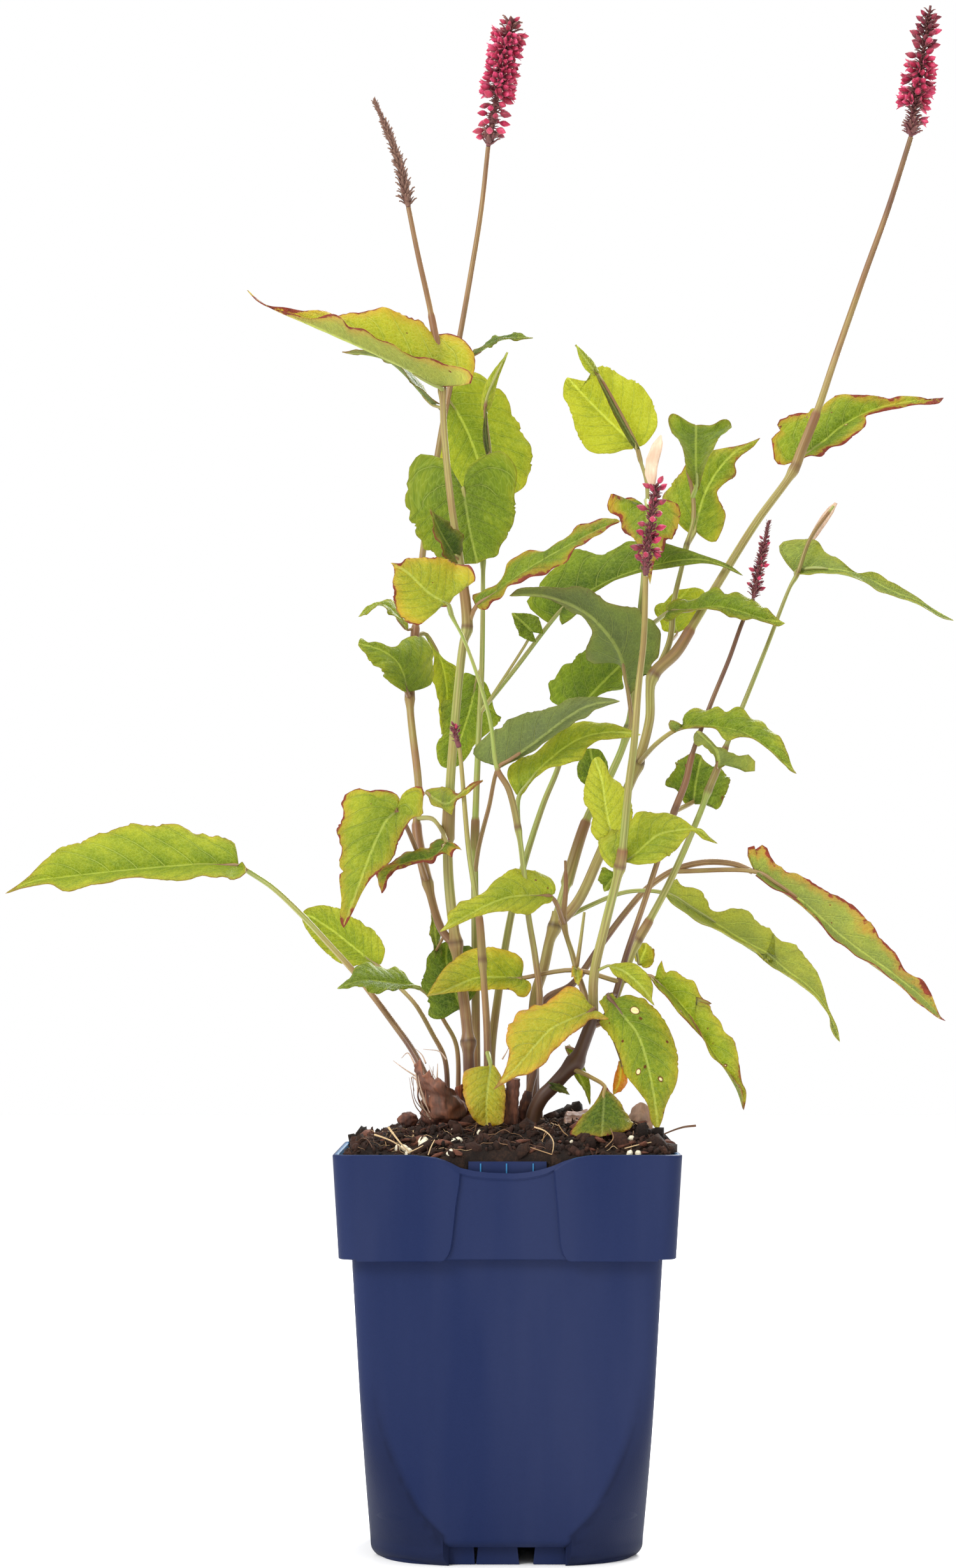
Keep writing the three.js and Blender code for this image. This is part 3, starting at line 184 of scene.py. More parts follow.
def rising(tree, value, start, end, top=1.0, smooth=False):
    """0 where a value is at its start, and the top where it is at its end or past it."""
    settings = {"interpolation_type": "SMOOTHSTEP"} if smooth else {}
    inputs = {0: value, 1: start, 2: end, 3: 0.0, 4: top}
    return node(tree, "ShaderNodeMapRange", settings, inputs).outputs[0]


def relief(tree, height, strength, millimetres):
    """The surface's direction, bent by a fine height pattern."""
    inputs = {"Height": height, "Strength": strength, "Distance": millimetres * MM}
    return node(tree, "ShaderNodeBump", {}, inputs).outputs[0]


def finished(tree, skin, glow=None, share=0.0):
    """Ends a tree with its skin, or with its skin and a share of light that shines through."""
    if glow:
        skin = node(tree, "ShaderNodeMixShader", {}, {0: share, 1: skin.outputs[0], 2: glow.outputs[0]})
    node(tree, "ShaderNodeOutputMaterial", {}, {"Surface": skin.outputs[0]})

# %% [markdown]
# The stems are listed from the soil upwards. A joint is the swollen ring where a leaf grows, and a
# sheath is the papery sleeve that wraps the stem above it. These are the same places that the solids use.
# Each stem has its radius in mm at the foot and at the top, the rows of its joints, the rows that each
# sheath starts and ends at, whether its foot goes into the soil, and the places that it passes. BODIES
# says which stems make up each node of leaves and stems.

# %% The stems and what grows together
STEMS = {
    "tall": {
        "radius": (2.7, 1.1), "joints": [1635, 1480, 985, 612],
        "sheaths": [(612, 490), (1320, 1240), (985, 900)],
        "rooted": True,
        "route": [(738, 1745, -6), (735, 1650, -7), (735, 1635, -7), (728, 1570, -5), (715, 1480, -5),
            (703, 1360, -10), (706, 1240, -16), (715, 1120, -19), (727, 1010, -20), (733, 985, -20),
            (722, 880, -20), (708, 790, -20), (697, 680, -18), (694, 612, -16), (690, 570, -16),
            (676, 490, -14), (656, 400, -12), (641, 326, -10)],
    },
    "pink": {
        "radius": (1.9, 1.1), "joints": [1385, 1095], "sheaths": [(1095, 985), (1385, 1290)],
        "route": [(715, 1484, -5), (694, 1460, -4), (671, 1385, 2), (654, 1300, 10), (657, 1240, 16),
            (643, 1095, 26), (652, 985, 34), (664, 863, 40), (691, 687, 46), (722, 525, 50), (737, 440, 50),
            (755, 330, 50), (766, 231, 50)],
    },
    "rear": {
        "radius": (2.2, 0.5), "joints": [880], "sheaths": [(1337, 1286), (714, 633)], "rooted": True,
        "route": [(748, 1740, 12), (747, 1690, 12), (746, 1500, 14), (745, 1330, 16), (750, 1180, 20),
            (756, 1050, 22), (758, 900, 24), (758, 880, 24), (763, 790, 26), (768, 714, 28), (762, 633, 28),
            (778, 590, 29), (796, 553, 30)],
    },
    "bud": {
        "radius": (1.8, 0.9), "joints": [1510], "sheaths": [(1510, 1440)], "rooted": True,
        "route": [(765, 1740, -17), (765, 1675, -18), (764, 1615, -19), (757, 1510, -22), (752, 1440, -24),
            (745, 1397, -26), (735, 1330, -28), (724, 1203, -30), (721, 1174, -30)],
    },
    "yellow": {
        "radius": (1.7, 0.6), "joints": [1300, 964], "sheaths": [(1300, 1206)], "rooted": True,
        "route": [(827, 1740, -10), (832, 1705, -11), (838, 1680, -12), (847, 1570, -18), (840, 1503, -22),
            (829, 1436, -26), (821, 1359, -30), (813, 1300, -33), (798, 1238, -36), (780, 1206, -38),
            (770, 1136, -40), (751, 1066, -42), (726, 999, -44), (708, 964, -44), (688, 905, -42)],
    },
    "pale": {
        "radius": (2.1, 1.2), "joints": [], "sheaths": [], "rooted": True,
        "route": [(775, 1740, 19), (770, 1668, 20), (783, 1551, 24), (802, 1436, 30), (823, 1353, 36),
            (853, 1260, 42), (874, 1209, 46), (892, 1150, 50)],
    },
    "fork": {
        "radius": (2.7, 2.2), "joints": [1455], "sheaths": [], "rooted": True,
        "route": [(835, 1740, 2), (835, 1700, 2), (840, 1563, 4), (853, 1519, 5), (863, 1474, 6),
            (870, 1455, 6), (874, 1430, 6)],
    },
    "inner": {
        "radius": (2.2, 0.5), "joints": [1145], "sheaths": [(1385, 1290), (723, 600)],
        "route": [(870, 1452, 6), (885, 1400, 12), (923, 1280, 20), (958, 1216, 26), (985, 1145, 30),
            (1004, 962, 36), (1010, 900, 38), (1015, 760, 42), (1005, 723, 43), (999, 701, 43),
            (932, 577, 40), (903, 541, 38)],
    },
    "outer": {
        "radius": (2.4, 1.2), "joints": [1200, 1062, 738], "sheaths": [(738, 650), (1062, 985)],
        "route": [(874, 1452, 6), (907, 1414, 4), (940, 1344, 2), (975, 1260, 0), (1000, 1200, -2),
            (1019, 1130, -2), (1024, 1062, -2), (1061, 1023, 0), (1090, 976, 2), (1139, 895, 6),
            (1187, 819, 10), (1245, 738, 14), (1257, 708, 15), (1283, 643, 18), (1311, 560, 22),
            (1357, 429, 28), (1393, 329, 32), (1429, 216, 36)],
    },
    "twig": {
        "radius": (1.6, 0.6), "joints": [857], "sheaths": [(812, 740)],
        "route": [(1024, 1066, -2), (1033, 1048, 0), (1051, 1005, 6), (1058, 941, 14), (1070, 889, 20),
            (1077, 857, 24), (1088, 812, 28), (1086, 770, 30), (1078, 736, 30)],
    },
    "rootstock": {
        "radius": (3.4, 2.7), "joints": [1666], "sheaths": [], "rooted": True,
        "route": [(837, 1750, -21), (850, 1722, -23), (866, 1706, -24), (894, 1675, -26), (903, 1666, -26),
            (922, 1620, -27), (931, 1596, -28)],
    },
    "middle": {
        "radius": (2.2, 1.2), "joints": [1362], "sheaths": [(1362, 1330)],
        "route": [(931, 1596, -28), (932, 1530, -33), (950, 1450, -38), (972, 1362, -44), (976, 1341, -46),
            (986, 1237, -52), (995, 1166, -55), (1002, 1076, -58), (1010, 1005, -60), (1013, 904, -62)],
    },
    "right": {
        "radius": (1.9, 0.6), "joints": [1480, 1241, 903],
        "sheaths": [(1241, 1170), (1480, 1440), (903, 800)],
        "route": [(926, 1610, -27), (950, 1597, -24), (975, 1540, -20), (998, 1480, -16), (1015, 1451, -14),
            (1040, 1405, -12), (1061, 1362, -10), (1101, 1269, -8), (1111, 1241, -8), (1126, 1205, -8),
            (1144, 1159, -8), (1165, 1109, -6), (1204, 1012, -4), (1240, 920, -2), (1250, 903, 0),
            (1271, 846, 2), (1308, 794, 4)],
    },
    "thin": {
        "radius": (1.4, 0.9), "joints": [1273], "sheaths": [(1273, 1180)],
        "route": [(928, 1608, -28), (952, 1597, -28), (966, 1558, -25), (982, 1500, -25), (1011, 1415, -26),
            (1058, 1273, -26), (1076, 1226, -26), (1086, 1184, -25), (1115, 1105, -22), (1144, 1034, -16),
            (1165, 976, -10), (1182, 940, -8)],
    },
    "short": {
        "radius": (1.7, 0.6), "joints": [1450], "sheaths": [(1450, 1365)],
        "route": [(921, 1614, -27), (922, 1581, -22), (904, 1519, -16), (898, 1497, -14), (885, 1450, -10),
            (888, 1391, -8), (887, 1350, -8)],
    },
    "sprig": {
        "radius": (1, 0.6), "joints": [], "sheaths": [],
        "route": [(904, 1524, -16), (911, 1476, -20), (917, 1431, -22)],
    },
    "farLeft": {
        "radius": (1.7, 1.2), "joints": [], "sheaths": [], "rooted": True,
        "route": [(684, 1745, 4), (668, 1690, 6), (646, 1646, 12), (617, 1605, 18), (585, 1562, 24),
            (554, 1523, 28), (514, 1479, 32), (474, 1436, 34), (427, 1392, 34), (388, 1366, 33)],
    },
    "rearLeft": {
        "radius": (1.3, 1), "joints": [], "sheaths": [], "rooted": True,
        "route": [(702, 1740, 30), (698, 1662, 30), (678, 1621, 32), (652, 1576, 36), (630, 1552, 40),
            (606, 1528, 43)],
    },
    "lowLeft": {
        "radius": (1.2, 0.9), "joints": [], "sheaths": [], "rooted": True,
        "route": [(718, 1745, 21), (716, 1640, 20), (697, 1602, 18), (671, 1560, 14), (658, 1550, 13)],
    },
    "arching": {
        "radius": (1.8, 1.4), "joints": [], "sheaths": [], "rooted": True,
        "route": [(845, 1740, 15), (840, 1700, 14), (854, 1571, 18), (897, 1545, 18), (942, 1484, 18),
            (982, 1431, 18), (1015, 1394, 18), (1056, 1366, 15), (1105, 1353, 8), (1154, 1356, 0),
            (1180, 1367, -5)],
    },
}
BODIES = {
    "stem_left_pair": ["tall", "pink"],
    "stem_rear": ["rear"],
    "stem_small_bud": ["bud"],
    "stem_gold_leaf": ["yellow"],
    "leaf_pale_stalk": ["pale"],
    "stem_fork": ["fork", "inner", "outer", "twig"],
    "stem_rootstock": ["rootstock", "middle", "right", "thin", "short", "sprig"],
    "leaf_far_left": ["farLeft"],
    "leaf_rear_left": ["rearLeft"],
    "leaf_low_left": ["lowLeft"],
    "leaf_arching_right": ["arching"],
}

# %% [markdown]
# Each leaf has the stem and the row that its stalk leaves from, the places that the stalk passes and a
# rib from base to tip. Then come how far its left and right half lie behind the rib in mm, how much its
# margin waves in mm, and whether it is small. REACHES is for the leaves whose outline wasn't followed: how
# far each half reaches from the rib in columns and rows, and how far the lobes reach back in mm.

# %% The leaves
Leaf = namedtuple("Leaf", "name stem row stalk rib depths wave small")
LEAVES = [Leaf(*row) for row in [
    ("topFold", "tall", 612, [], [(692, 606, -20), (560, 548, -38), (387, 454, -46)], (-17, 8), 2.2, 0),
    ("topThin", "tall", 640, [], [(680, 632, -8), (607, 562, 4), (537, 552, 12)], (-9, 9), 1.3, 1),
    ("topNarrow", "pink", 575, [], [(745, 552, 44), (786, 530, 38), (836, 530, 30)], (8, -8), 1.3, 1),
    ("topBroad", "pink", 640, [], [(702, 618, 56), (752, 696, 64), (811, 769, 68)], (6, 4), 1.3, 0),
    ("heart", "rear", 880, [(742, 830, 16)],
     [(727, 768, 4), (737, 830, 8), (749, 884, 14)], (3, 3), 1.3, 0),
    ("heartFold", "tall", 880, [], [(712, 868, -25), (694, 838, -30), (675, 799, -34)], (-6, 6), 1.3, 1),
    ("goldTop", "yellow", 964, [], [(701, 950, -48), (660, 925, -56), (614, 884, -62)], (0, 2), 1.3, 0),
    ("leftArch", "pink", 985, [], [(638, 984, 30), (602, 948, 22), (563, 967, 12)], (-8, 8), 1.3, 1),
    ("leftDark", "pink", 1095, [], [(638, 1086, 20), (598, 1052, 10), (564, 1003, 2)], (-10, 16), 1.3, 0),
    ("leftStrip", "pink", 1000, [], [(668, 992, 38), (698, 1052, 42), (690, 1150, 46)], (6, -2), 1.3, 0),
    ("behindBud", "rear", 1050, [], [(750, 1062, 32), (730, 1130, 38), (704, 1204, 44)], (4, 3), 1.3, 0),
    ("leftHeart", "pink", 1385, [(652, 1330, -18)],
     [(622, 1273, -32), (588, 1350, -38), (539, 1454, -44)], (0, 0), 1.3, 0),
    ("holed", "pink", 1283, [(682, 1287, -8)],
     [(698, 1322, -25), (655, 1356, -24), (599, 1400, -20)], (-8, 8), 1.3, 0),
    ("curl", "pink", 1255, [], [(668, 1243, 2), (704, 1262, -27), (757, 1227, -37)], (4, -4), 1.3, 1),
    ("greyUnder", "rear", 1370, [(751, 1330, 8), (767, 1267, -8)],
     [(785, 1203, -26), (862, 1146, -30), (970, 1100, -36)], (-6, 6), 1.3, 0),
    ("lime", "yellow", 1300, [], [(813, 1248, -26), (895, 1170, -22), (1004, 1155, -28)], (8, -4), 1.3, 0),
    ("brightRear", "pale", 1150, [], [(905, 1118, 53), (945, 1078, 56), (1008, 1012, 58)], (4, 4), 1.3, 0),
    ("greyArch", "inner", 1150, [(990, 1138, 27)],
     [(986, 1090, 22), (926, 972, 0), (801, 935, -24)], (-4, 6), 1.3, 0),
    ("netted", "rear", 1118, [(800, 1060, 20)],
     [(888, 948, 14), (1010, 886, 6), (1166, 903, -4)], (8, -14), 1.3, 0),
    ("nettedSmall", "rear", 1122, [], [(836, 992, 10), (822, 978, 8), (803, 962, 6)], (0, 0), 1.3, 1),
    ("redEdged", "tall", 985, [], [(747, 952, -23), (850, 880, -34), (972, 818, -40)], (10, -10), 2, 0),
    ("spikeHeart", "inner", 785, [], [(1014, 796, 2), (1016, 850, -8), (1024, 916, -14)], (-2, -2), 1.3, 0),
    ("roundTop", "inner", 716, [], [(993, 700, 50), (944, 650, 50), (888, 590, 46)], (0, 0), 1.3, 0),
    ("lowLime", "short", 1450, [], [(865, 1405, -26), (790, 1412, -40), (691, 1462, -46)], (-5, 4), 1.3, 0),
    ("goldLow", "thin", 1540, [(900, 1522, -20)],
     [(818, 1534, -14), (745, 1534, -13), (671, 1562, -14)], (-1, 1), 1.3, 0),
    ("upright", "middle", 1362, [], [(962, 1318, -38), (952, 1255, -34), (935, 1190, -30)], (2, 2), 1.3, 0),
    ("uprightDark", "inner", 1240, [], [(938, 1240, 30), (932, 1205, 32), (918, 1170, 34)], (1, 1), 1.3, 1),
    ("besideUpright", "middle", 1366, [],
     [(974, 1352, -44), (1040, 1314, -42), (1124, 1322, -42)], (5, -5), 1.3, 0),
    ("darkUnder", "middle", 1376, [],
     [(970, 1372, -34), (958, 1388, -30), (945, 1408, -26)], (2, 2), 1.3, 1),
    ("highRight", "outer", 738, [], [(1250, 712, 26), (1355, 654, 32), (1480, 624, 22)], (5, -6), 1.3, 0),
    ("farRight", "right", 903, [], [(1252, 898, 4), (1366, 900, -10), (1497, 974, -26)], (-14, 8), 1.3, 0),
    ("rightArch", "outer", 1200, [(1032, 1165, -22)],
     [(1060, 1145, -32), (1155, 1138, -41), (1248, 1213, -50)], (5, -14), 1.3, 0),
    ("paleFold", "right", 1205, [],
     [(1126, 1202, -14), (1130, 1185, -26), (1136, 1168, -42)], (4, 4), 1.3, 1),
    ("darkHoled", "thin", 1273, [], [(1072, 1260, 2), (1078, 1225, 6), (1085, 1187, 10)], (0, 0), 1.3, 0),
    ("waistRight", "inner", 990, [(1024, 978, 22)],
     [(1054, 958, 2), (1134, 948, -14), (1230, 976, -30)], (5, -10), 1.3, 0),
    ("roundRear", "twig", 1010, [], [(1062, 994, 24), (1056, 958, 30), (1046, 920, 34)], (0, 0), 1.3, 1),
    ("winged", "twig", 780, [], [(1094, 762, 26), (1092, 726, 6), (1092, 716, -20)], (0, 0), 1, 0),
    ("lobedRear", "twig", 857, [], [(1090, 832, 36), (1118, 768, 40), (1190, 689, 42)], (2, 2), 2.4, 0),
    ("darkLow", "tall", 1600, [], [(728, 1590, 4), (708, 1540, 6), (694, 1480, 6)], (0, 0), 1.3, 0),
    ("lowLeft", "lowLeft", 1550, [], [(650, 1546, 12), (590, 1537, 5), (530, 1551, -2)], (-11, 11), 1.3, 0),
    ("rearLeft", "rearLeft", 1530, [], [(592, 1514, 44), (540, 1474, 50), (479, 1436, 54)], (2, 2), 1.3, 0),
    ("farLeft", "farLeft", 1368, [], [(374, 1358, 32), (205, 1362, 46), (3, 1403, 62)], (-20, 10), 1.3, 0),
    ("soilOval", "bud", 1650, [], [(770, 1670, -28), (764, 1716, -35), (762, 1764, -34)], (0, 0), 1.3, 0),
    ("goldFront", "rootstock", 1600, [],
     [(933, 1583, -38), (868, 1606, -48), (777, 1707, -54)], (-5, 4), 2, 0),
    ("spotted", "thin", 1560, [], [(954, 1562, -34), (1006, 1640, -46), (1035, 1768, -50)], (3, 3), 1.4, 0),
    ("lowSmall", "middle", 1525, [],
     [(956, 1515, -38), (992, 1534, -42), (1027, 1577, -42)], (0, 0), 1.3, 1),
    ("lowHoled", "right", 1482, [], [(1004, 1512, -9), (1012, 1496, -7), (1019, 1480, -5)], (0, 0), 1.3, 1),
    ("hanging", "right", 1540, [],
     [(1020, 1532, -24), (1098, 1600, -46), (1167, 1740, -60)], (-2, -12), 1.3, 0),
    ("rightKeel", "fork", 1450, [(921, 1423, 8), (985, 1399, 8)],
     [(1044, 1403, 7), (1190, 1492, -2), (1317, 1633, -14)], (-15, 8), 1.3, 0),
    ("farKeel", "arching", 1367, [],
     [(1188, 1370, -8), (1330, 1484, -22), (1481, 1600, -42)], (-15, 6), 1.3, 0),
    ("dryOrange", "right", 1597, [],
     [(972, 1664, -18), (974, 1690, -15), (965, 1717, -12)], (2, 2), 1.3, 1),
    ("draped", "rootstock", 1675, [(928, 1690, -36)],
     [(946, 1706, -46), (945, 1742, -54), (944, 1774, -60)], (0, 0), 1, 0),
    ("darkDrop", "rootstock", 1650, [],
     [(890, 1645, -16), (912, 1690, -12), (925, 1732, -12)], (0, 0), 1.3, 1),
    ("tinyLow", "rootstock", 1700, [],
     [(868, 1704, -31), (880, 1708, -36), (893, 1717, -40)], (0, 0), 1.3, 1),
    ("yellowBit", "short", 1519, [],
     [(905, 1522, -22), (906, 1532, -26), (907, 1546, -28)], (0, 0), 1.3, 1),
    ("blade", "pink", 1465, [], [(686, 1490, 4), (682, 1452, 10), (679, 1412, 14)], (0, 2), 1.3, 1),
    ("shootRight", "inner", 590, [], [(933, 582, 38), (918, 562, 37), (904, 541, 36)], (3, 3), 0.3, 1),
    ("shootLeft", "rear", 650, [], [(762, 638, 27), (772, 598, 28), (797, 553, 29)], (3, 3), 0.3, 1),
    ("rolledRight", "inner", 706, [], [(1000, 703, 41), (966, 642, 40), (932, 580, 38)], (3, 3), 0.3, 1),
    ("rolledLeft", "rear", 716, [], [(767, 714, 26), (762, 676, 26), (763, 638, 26)], (3, 3), 0.3, 1),
]]
REACHES = {
    "topThin": ((2, 5), (2, -7), 4), "topNarrow": ((0, -7), (0, 8), 4),
    "heartFold": ((-10, 14), (24, -12), 4), "nettedSmall": ((-12, 14), (16, -16), 4),
    "tinyLow": ((3, -6), (-3, 6), 4), "yellowBit": ((9, 0), (-9, 0), 4), "blade": ((-8, 0), (8, 0), 4),
    "shootRight": ((-7, 5), (7, -5), 2), "shootLeft": ((-9, -4), (9, 4), 2),
    "rolledRight": ((-5, 3), (5, -3), 1), "rolledLeft": ((-5, 0), (5, 0), 1),
}

# %% [markdown]
# No two leaves of the clump look the same. Four numbers give each one its looks: how bright its green
# is, which is partly its own colour and partly painted shade and light, how far it has turned yellow,
# how red its margin is, and how spotted it is.

# %% The looks of each leaf
LEAF_LOOKS = {
    "topFold": (0.98, 0.34, 0.5, 0.3), "topThin": (0.4, 0, 0.2, 0), "topNarrow": (0.45, 0, 0.1, 0),
    "topBroad": (0.76, 0.04, 0.1, 0.1), "heart": (0.6, 0.05, 0.1, 0.05), "heartFold": (0.4, 0.1, 0.3, 0),
    "goldTop": (0.93, 0.38, 0.4, 0.1), "leftArch": (0.75, 0, 0.1, 0), "leftDark": (0.68, 0, 0.08, 0.05),
    "leftStrip": (0.8, 0, 0.05, 0), "behindBud": (0.6, 0.05, 0.05, 0), "leftHeart": (0.8, 0.16, 0.45, 0.12),
    "holed": (0.5, 0.3, 0.8, 0.6), "curl": (0.78, 0.1, 0.3, 0), "greyUnder": (0.42, 0, 0.06, 0.05),
    "lime": (0.8, 0.08, 0.1, 0.05), "brightRear": (0.5, 0, 0.05, 0), "greyArch": (0.44, 0.04, 0.12, 0.1),
    "netted": (0.5, 0, 0.08, 0), "nettedSmall": (0.55, 0, 0.05, 0), "redEdged": (0.66, 0.14, 0.75, 0.1),
    "spikeHeart": (0.75, 0.2, 0.85, 0), "roundTop": (1, 0.04, 0.05, 0), "lowLime": (0.88, 0.14, 0.1, 0.25),
    "goldLow": (0.85, 0.36, 0.15, 0.35), "upright": (1, 0, 0.08, 0), "uprightDark": (0.45, 0, 0.05, 0),
    "besideUpright": (0.85, 0.06, 0.1, 0.05), "darkUnder": (0.56, 0, 0.1, 0),
    "highRight": (0.68, 0.12, 0.62, 0.45), "farRight": (0.7, 0.02, 0.08, 0.03),
    "rightArch": (0.68, 0.04, 0.15, 0), "paleFold": (0.72, 0.05, 0.1, 0), "darkHoled": (0.5, 0.1, 0.1, 0.5),
    "waistRight": (0.62, 0.04, 0.15, 0.05), "roundRear": (0.85, 0, 0.05, 0),
    "winged": (0.55, 0.05, 0.15, 0), "lobedRear": (0.7, 0.06, 0.28, 0.05), "darkLow": (0.42, 0, 0.05, 0),
    "lowLeft": (0.6, 0, 0.05, 0), "rearLeft": (0.8, 0, 0.1, 0), "farLeft": (0.75, 0.04, 0.2, 0),
    "soilOval": (1, 0.5, 0.08, 0.35), "goldFront": (0.95, 0.5, 0.25, 0.3),
    "spotted": (0.7, 0.28, 0.15, 0.9), "lowSmall": (0.95, 0.14, 0.1, 0), "lowHoled": (0.9, 0.15, 0.2, 0.4),
    "hanging": (0.8, 0.16, 0.3, 0.45), "rightKeel": (0.88, 0.06, 0.08, 0.1),
    "farKeel": (0.8, 0.12, 0.8, 0.2), "dryOrange": (1, 0.85, 0.05, 0), "draped": (0.42, 0.3, 0.45, 0.15),
    "darkDrop": (0.62, 0.05, 0.1, 0), "tinyLow": (0.3, 0, 0.1, 0), "yellowBit": (0.8, 0.5, 0, 0),
    "blade": (0.5, 0, 0.1, 0), "shootRight": (0.85, 0, 0, 0), "shootLeft": (0.85, 0, 0.05, 0),
    "rolledRight": (0.35, 0.1, 0.2, 0), "rolledLeft": (0.25, 0.1, 0.2, 0),
}
